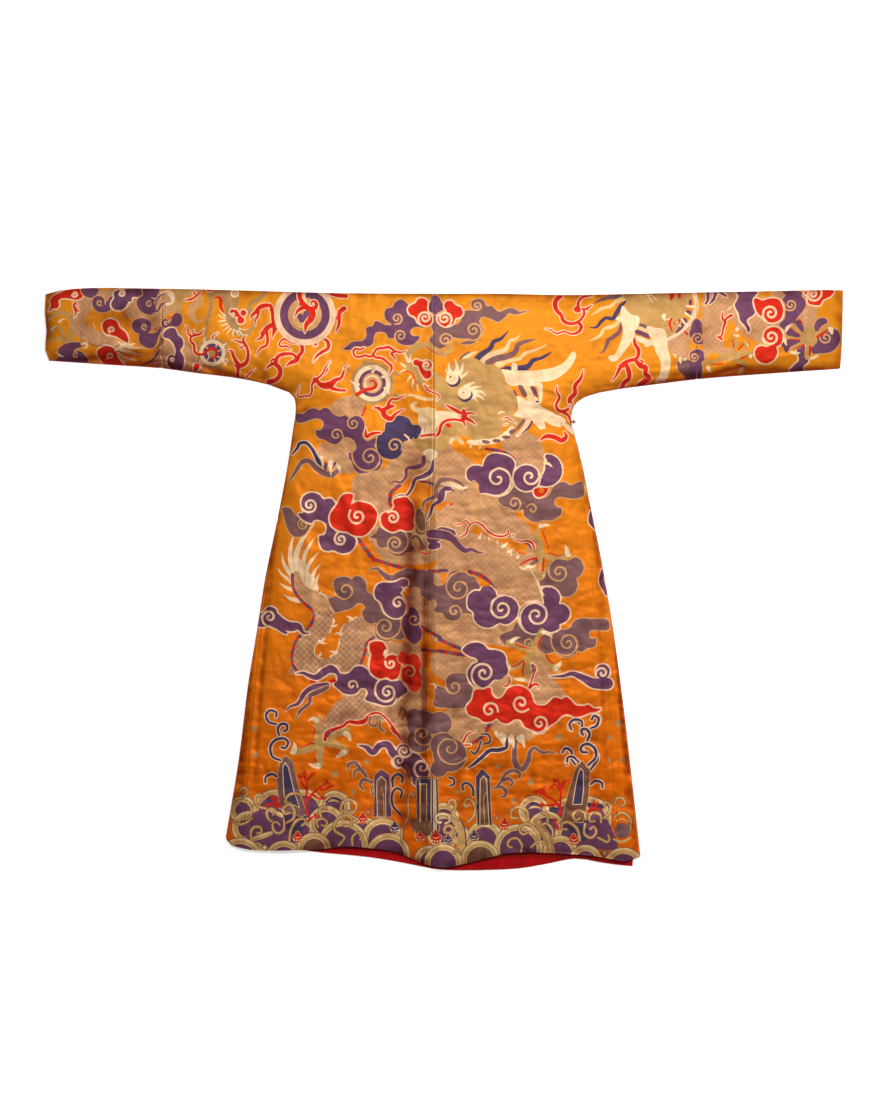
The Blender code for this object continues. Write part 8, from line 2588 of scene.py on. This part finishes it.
def new_material(name, roughness, sheen=0.0, specular=0.4, metallic=0.0):
    """A material with its main shader set, and its node tree."""
    material = bpy.data.materials.new(name)
    material.use_nodes = True
    shader = material.node_tree.nodes["Principled BSDF"]
    shader.inputs["Roughness"].default_value = roughness
    shader.inputs["Sheen Weight"].default_value = sheen
    shader.inputs["Specular IOR Level"].default_value = specular
    shader.inputs["Metallic"].default_value = metallic
    return material, material.node_tree, shader


def node(tree, kind, **values):
    """A new node with its settings and its inputs' values."""
    made = tree.nodes.new(kind)
    for name, value in values.items():
        if name in made.inputs:
            made.inputs[name].default_value = value
        else:
            setattr(made, name, value)
    return made


def mix(tree, factor, first, second, blend="MIX"):
    """The mix of two colours. Each argument is a socket or a plain value."""
    made = node(tree, "ShaderNodeMix", data_type="RGBA", blend_type=blend)
    for socket, value in zip((made.inputs[0], made.inputs[6], made.inputs[7]), (factor, first, second)):
        if isinstance(value, bpy.types.NodeSocket):
            tree.links.new(value, socket)
        else:
            socket.default_value = value
    return made.outputs[2]


def math_node(tree, operation, *values):
    """The result of a sum. Each value is a socket or a number."""
    made = node(tree, "ShaderNodeMath", operation=operation)
    for socket, value in zip(made.inputs, values):
        if isinstance(value, bpy.types.NodeSocket):
            tree.links.new(value, socket)
        else:
            socket.default_value = value
    return made.outputs[0]


def noise(tree, coordinates, stretch, detail=3.0):
    """Noise of that many lumps a metre each way."""
    placed = node(tree, "ShaderNodeMapping")
    placed.inputs["Scale"].default_value = stretch
    tree.links.new(coordinates, placed.inputs["Vector"])
    made = node(tree, "ShaderNodeTexNoise", Scale=1.0, Detail=detail, Roughness=0.6)
    tree.links.new(placed.outputs["Vector"], made.inputs["Vector"])
    return made.outputs["Fac"]


def ramp(tree, factor, low, high, dark, pale):
    """Turns low..high of a factor into dark..pale."""
    made = node(tree, "ShaderNodeMapRange")
    for name, value in (("From Min", low), ("From Max", high), ("To Min", dark), ("To Max", pale)):
        made.inputs[name].default_value = value
    tree.links.new(factor, made.inputs["Value"])
    return made.outputs["Result"]


def satin(name, woven):
    """Silk satin, with the chart's colours if it is woven with a pattern."""
    material, tree, shader = new_material(name, 0.42, specular=0.05, metallic=0.18)
    place = node(tree, "ShaderNodeTexCoord").outputs["Object"]
    axes = node(tree, "ShaderNodeSeparateXYZ")
    tree.links.new(place, axes.inputs[0])
    # Painted light: the ground's colour goes from the paler shoulder tone to the deeper hem tone
    down = ramp(tree, axes.outputs["Y"], SHOULDER_Y, HEM_Y, 0.0, 1.0)
    painted_light_ground = mix(tree, down, linear(SHOULDER_TONE), linear(HEM_TONE))
    if woven:
        thread = node(tree, "ShaderNodeAttribute", attribute_name="thread").outputs["Color"]
        texture = node(tree, "ShaderNodeSeparateColor")
        marks_and_shade = node(tree, "ShaderNodeAttribute", attribute_name="texture")
        tree.links.new(marks_and_shade.outputs["Color"], texture.inputs[0])
        scales, mottle, ground = texture.outputs
        colour = mix(tree, ground, thread, painted_light_ground)
        diagonals = []
        for sign in (1, -1):
            slant = math_node(tree, "ADD", axes.outputs["X"],
                              math_node(tree, "MULTIPLY", axes.outputs["Y"], sign))
            fold = math_node(tree, "PINGPONG", slant, SCALE_PITCH / 2)
            diagonals.append(math_node(tree, "LESS_THAN", fold, SCALE_LINE))
        lines = math_node(tree, "MULTIPLY", math_node(tree, "MAXIMUM", *diagonals), scales)
        lines = math_node(tree, "MULTIPLY", lines, SCALE_STRENGTH)
        colour = mix(tree, lines, colour, linear(SCALE_TONE))
        flecks = ramp(tree, noise(tree, place, (700, 260, 1)), 0.42, 0.62, 0.0, FLECK_STRENGTH)
        colour = mix(tree, math_node(tree, "MULTIPLY", flecks, mottle), colour, linear(FLECK_TONE))
        # Painted shade: the attribute's fourth channel darkens the colour in the hollows and folds
        colour = mix(tree, marks_and_shade.outputs["Alpha"], colour, linear(PAINTED_SHADE_TONE), "MULTIPLY")
    else:
        colour = painted_light_ground
    # Broad patches and warp streaks in the colour: partly the weave's own mottle, partly painted sheen
    patches = ramp(tree, noise(tree, place, (16, 16, 1)), 0.35, 0.65, 0.90, 1.04)
    streaks = ramp(tree, noise(tree, place, (420, 22, 1)), 0.3, 0.7, 0.91, 1.05)
    wear_and_sheen = mix(tree, 1.0, colour, math_node(tree, "MULTIPLY", patches, streaks), "MULTIPLY")
    tree.links.new(wear_and_sheen, shader.inputs["Base Color"])
    grain = noise(tree, place, (900, 500, 1), 2.0)
    bump = node(tree, "ShaderNodeBump", Strength=0.12, Distance=0.0005)
    tree.links.new(grain, bump.inputs["Height"])
    tree.links.new(bump.outputs["Normal"], shader.inputs["Normal"])
    return material


woven_satin = satin("woven_satin", True)
plain_satin = satin("plain_satin", False)

crimson, tree, shader = new_material("crimson_lining", 0.6, sheen=0.05, specular=0.1)
place = node(tree, "ShaderNodeTexCoord").outputs["Object"]
cloudy = ramp(tree, noise(tree, place, (40, 14, 1)), 0.3, 0.7, 0.75, 1.1)
tree.links.new(mix(tree, 1.0, linear(LINING_TONE), cloudy, "MULTIPLY"), shader.inputs["Base Color"])
print("materials:", [material.name for material in bpy.data.materials if material.users])

# %% [markdown]
# ## The upper pieces
#
# Six pieces show their right side: the two halves of the back, the gores and the two sleeve ends.
# They are cut, laid and sewn, and the slab under each is hidden.

# %% Cut and lay the upper pieces
SLOTS = {**dict.fromkeys(UPPER, "satin"), **dict.fromkeys(LOWER, "satin_underside"),
         **dict.fromkeys(LININGS, "lining")}


def make_cloth(node_name, motifs, neighbours, surface, material, up=1, pitch=LATTICE_PITCH):
    """Cuts and lays one piece of cloth, and hides its slab."""
    ring = rims[node_name]
    points, corners, tones = cut(ring, motifs, pitch)
    kinds = rim_kinds(node_name, neighbours)
    heights, normals = lay(points, ring, kinds, surface, up)
    kind = kinds[to_rim(points, ring)[1]]
    mesh = sewn_piece(node_name + "_cloth", points, corners, tones, heights, normals, kind, up)
    piece = add_piece(node_name + "_cloth", mesh, material)
    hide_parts(node_name)


for node_name in UPPER:
    make_cloth(node_name, painted, UPPER, cloth_top, woven_satin)

# %% [markdown]
# ## The hidden side and the lining
#
# The fronts and the undersides of the sleeves lie against the table. They are the same satin with no
# pattern charted, with a few low ripples that lift them off the table. The crimson lining shows below
# the back's hem, where the front is longer.

# %% Lay the under side and the lining
LOW_RIPPLE = 0.45 * MM
HIGHEST_RIPPLE = 2.2
LINING_RIPPLE = 0.35 * MM
LOWER_PITCH = 4.0
LINING_PITCH = 3.0
soft = blurred(random_numbers.standard_normal((MAP_HEIGHT, MAP_WIDTH)), 7, 5)
lifted = np.clip(soft / soft.std(), 0, HIGHEST_RIPPLE) * LOW_RIPPLE
for node_name in LOWER:
    below = height_map([node_name], from_above=False) + lifted
    make_cloth(node_name, [], LOWER, below, plain_satin, up=-1, pitch=LOWER_PITCH)
lining_folds = blurred(random_numbers.standard_normal((MAP_HEIGHT, MAP_WIDTH)), 7, 2.2)
lining_folds *= LINING_RIPPLE / lining_folds.std()
for node_name in LININGS:
    above_it = height_map([node_name]) + np.minimum(lining_folds, 0)
    make_cloth(node_name, [], LININGS, above_it, crimson, pitch=LINING_PITCH)

# %% [markdown]
# ## Piping, stitches and the button
#
# A thin crimson cord is sewn into the seams under the arms and down the sides. A row of running
# stitches in darker silk holds each gore. The knot button keeps its own solid, and only needs a
# finish.

# %% Piping and running stitches
PIPING_RADIUS = 0.9 * MM
STITCH = 1.5
STITCH_PITCH = 3.1
STITCH_RADIUS = 0.3 * MM
STITCH_INSET = 1.6
STITCH_RISE = 0.25 * MM
STITCH_TONE = (196, 96, 14)
UP = Vector((0, 0, 1))


def tube(bm, line, radius, sides=6):
    """Adds a closed tube round a line of points to a bmesh."""
    line = [Vector(place) for place in line]
    loops = []
    for k, place in enumerate(line):
        ahead = (line[min(k + 1, len(line) - 1)] - line[max(k - 1, 0)]).normalized()
        side = ahead.cross(UP).normalized()
        loops.append([
            bm.verts.new(place + side * radius * math.cos(turn) + UP * radius * math.sin(turn))
            for turn in (2 * math.pi * n / sides for n in range(sides))
        ])
    for one, two in zip(loops, loops[1:]):
        for n in range(sides):
            m = (n + 1) % sides
            bm.faces.new([one[n], one[m], two[m], two[n]])
    bm.faces.new(loops[0][::-1])
    bm.faces.new(loops[-1])


def finish_mesh(name, bm, material):
    """A piece from a bmesh whose faces are turned outwards."""
    bmesh.ops.recalc_face_normals(bm, faces=bm.faces[:])
    mesh = bpy.data.meshes.new(name)
    bm.to_mesh(mesh)
    bm.free()
    mesh.shade_smooth()
    return add_piece(name, mesh, material)


def runs(chosen):
    """The unbroken stretches of a closed ring where chosen is true, as lists of numbers."""
    count = len(chosen)
    breaks = [k for k in range(count) if chosen[k] and not chosen[k - 1]]
    found = []
    for first in breaks:
        run = [first]
        while chosen[(run[-1] + 1) % count]:
            run.append((run[-1] + 1) % count)
        found.append(run)
    return found


def in_metres(squares, height):
    """Places in squares, with the second number counted upwards, as places in metres."""
    return np.column_stack([(squares[:, 0] - CENTRE_SQUARE[0]) * SQUARE,
                            (squares[:, 1] + CENTRE_SQUARE[1]) * SQUARE, height])


on_piece = {}
for node_name in UPPER:
    ring, kinds = rims[node_name], rim_kinds(node_name, UPPER)
    below_shoulder = inwards(ring)[:, 1] > -0.5
    bm = bmesh.new()
    for run in runs((kinds == FOLD) & below_shoulder):
        if len(run) > 4:
            tube(bm, in_metres(ring[run[::2]], np.full(len(run[::2]), MIDDLE)), PIPING_RADIUS)
    if bm.verts:
        on_piece[node_name] = [finish_mesh(node_name + "_piping", bm, crimson)]
    else:
        bm.free()

stitch_silk, tree, shader = new_material("stitch_silk", 0.6, specular=0.2)
shader.inputs["Base Color"].default_value = linear(STITCH_TONE)
for node_name, seam_of in (("gore_left", "back_left"), ("gore_right", "back_right")):
    ring = rims[seam_of]
    beside_gore = to_rim(ring, rims[node_name])[0] < SEAM_REACH
    run = max(runs(beside_gore), key=len)
    row = curve((ring + inwards(ring) * STITCH_INSET)[run[::3]], step=STITCH_PITCH)
    ahead = np.gradient(row, axis=0)
    ahead /= np.linalg.norm(ahead, axis=1, keepdims=True)
    bm = bmesh.new()
    for place, direction in zip(row, ahead):
        ends = np.array([place - direction * STITCH / 2, place, place + direction * STITCH / 2])
        heights = sample(cloth_top, ends) + np.array([0, STITCH_RISE, 0])
        tube(bm, in_metres(ends, heights), STITCH_RADIUS, sides=4)
    stitches = finish_mesh(node_name + "_stitches", bm, stitch_silk)
    on_piece.setdefault(seam_of, []).append(stitches)
print("pieces on the cloth:", {name: len(pieces) for name, pieces in on_piece.items()})

# %% Button, loop and tab
METAL_TONES = (126, 120, 104), (176, 170, 150)
CORD_TONE = (206, 24, 32)
old_metal, tree, shader = new_material("old_metal", 0.38, metallic=0.85)
place = node(tree, "ShaderNodeTexCoord").outputs["Object"]
tarnish = ramp(tree, noise(tree, place, (900, 900, 900)), 0.35, 0.65, 0.0, 1.0)
wear_and_sheen = mix(tree, tarnish, *map(linear, METAL_TONES))
tree.links.new(wear_and_sheen, shader.inputs["Base Color"])
red_cord, tree, shader = new_material("red_cord", 0.65, sheen=0.2, specular=0.2)
place = node(tree, "ShaderNodeTexCoord").outputs["Object"]
twist = ramp(tree, noise(tree, place, (1500, 500, 900)), 0.35, 0.65, 0.7, 1.1)
tree.links.new(mix(tree, 1.0, linear(CORD_TONE), twist, "MULTIPLY"), shader.inputs["Base Color"])
for node_name, material in (("button", old_metal), ("button_loop", red_cord), ("loop_tab", red_cord)):
    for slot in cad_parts[node_name].material_slots:
        slot.material = material
print("the button and its loop are finished")
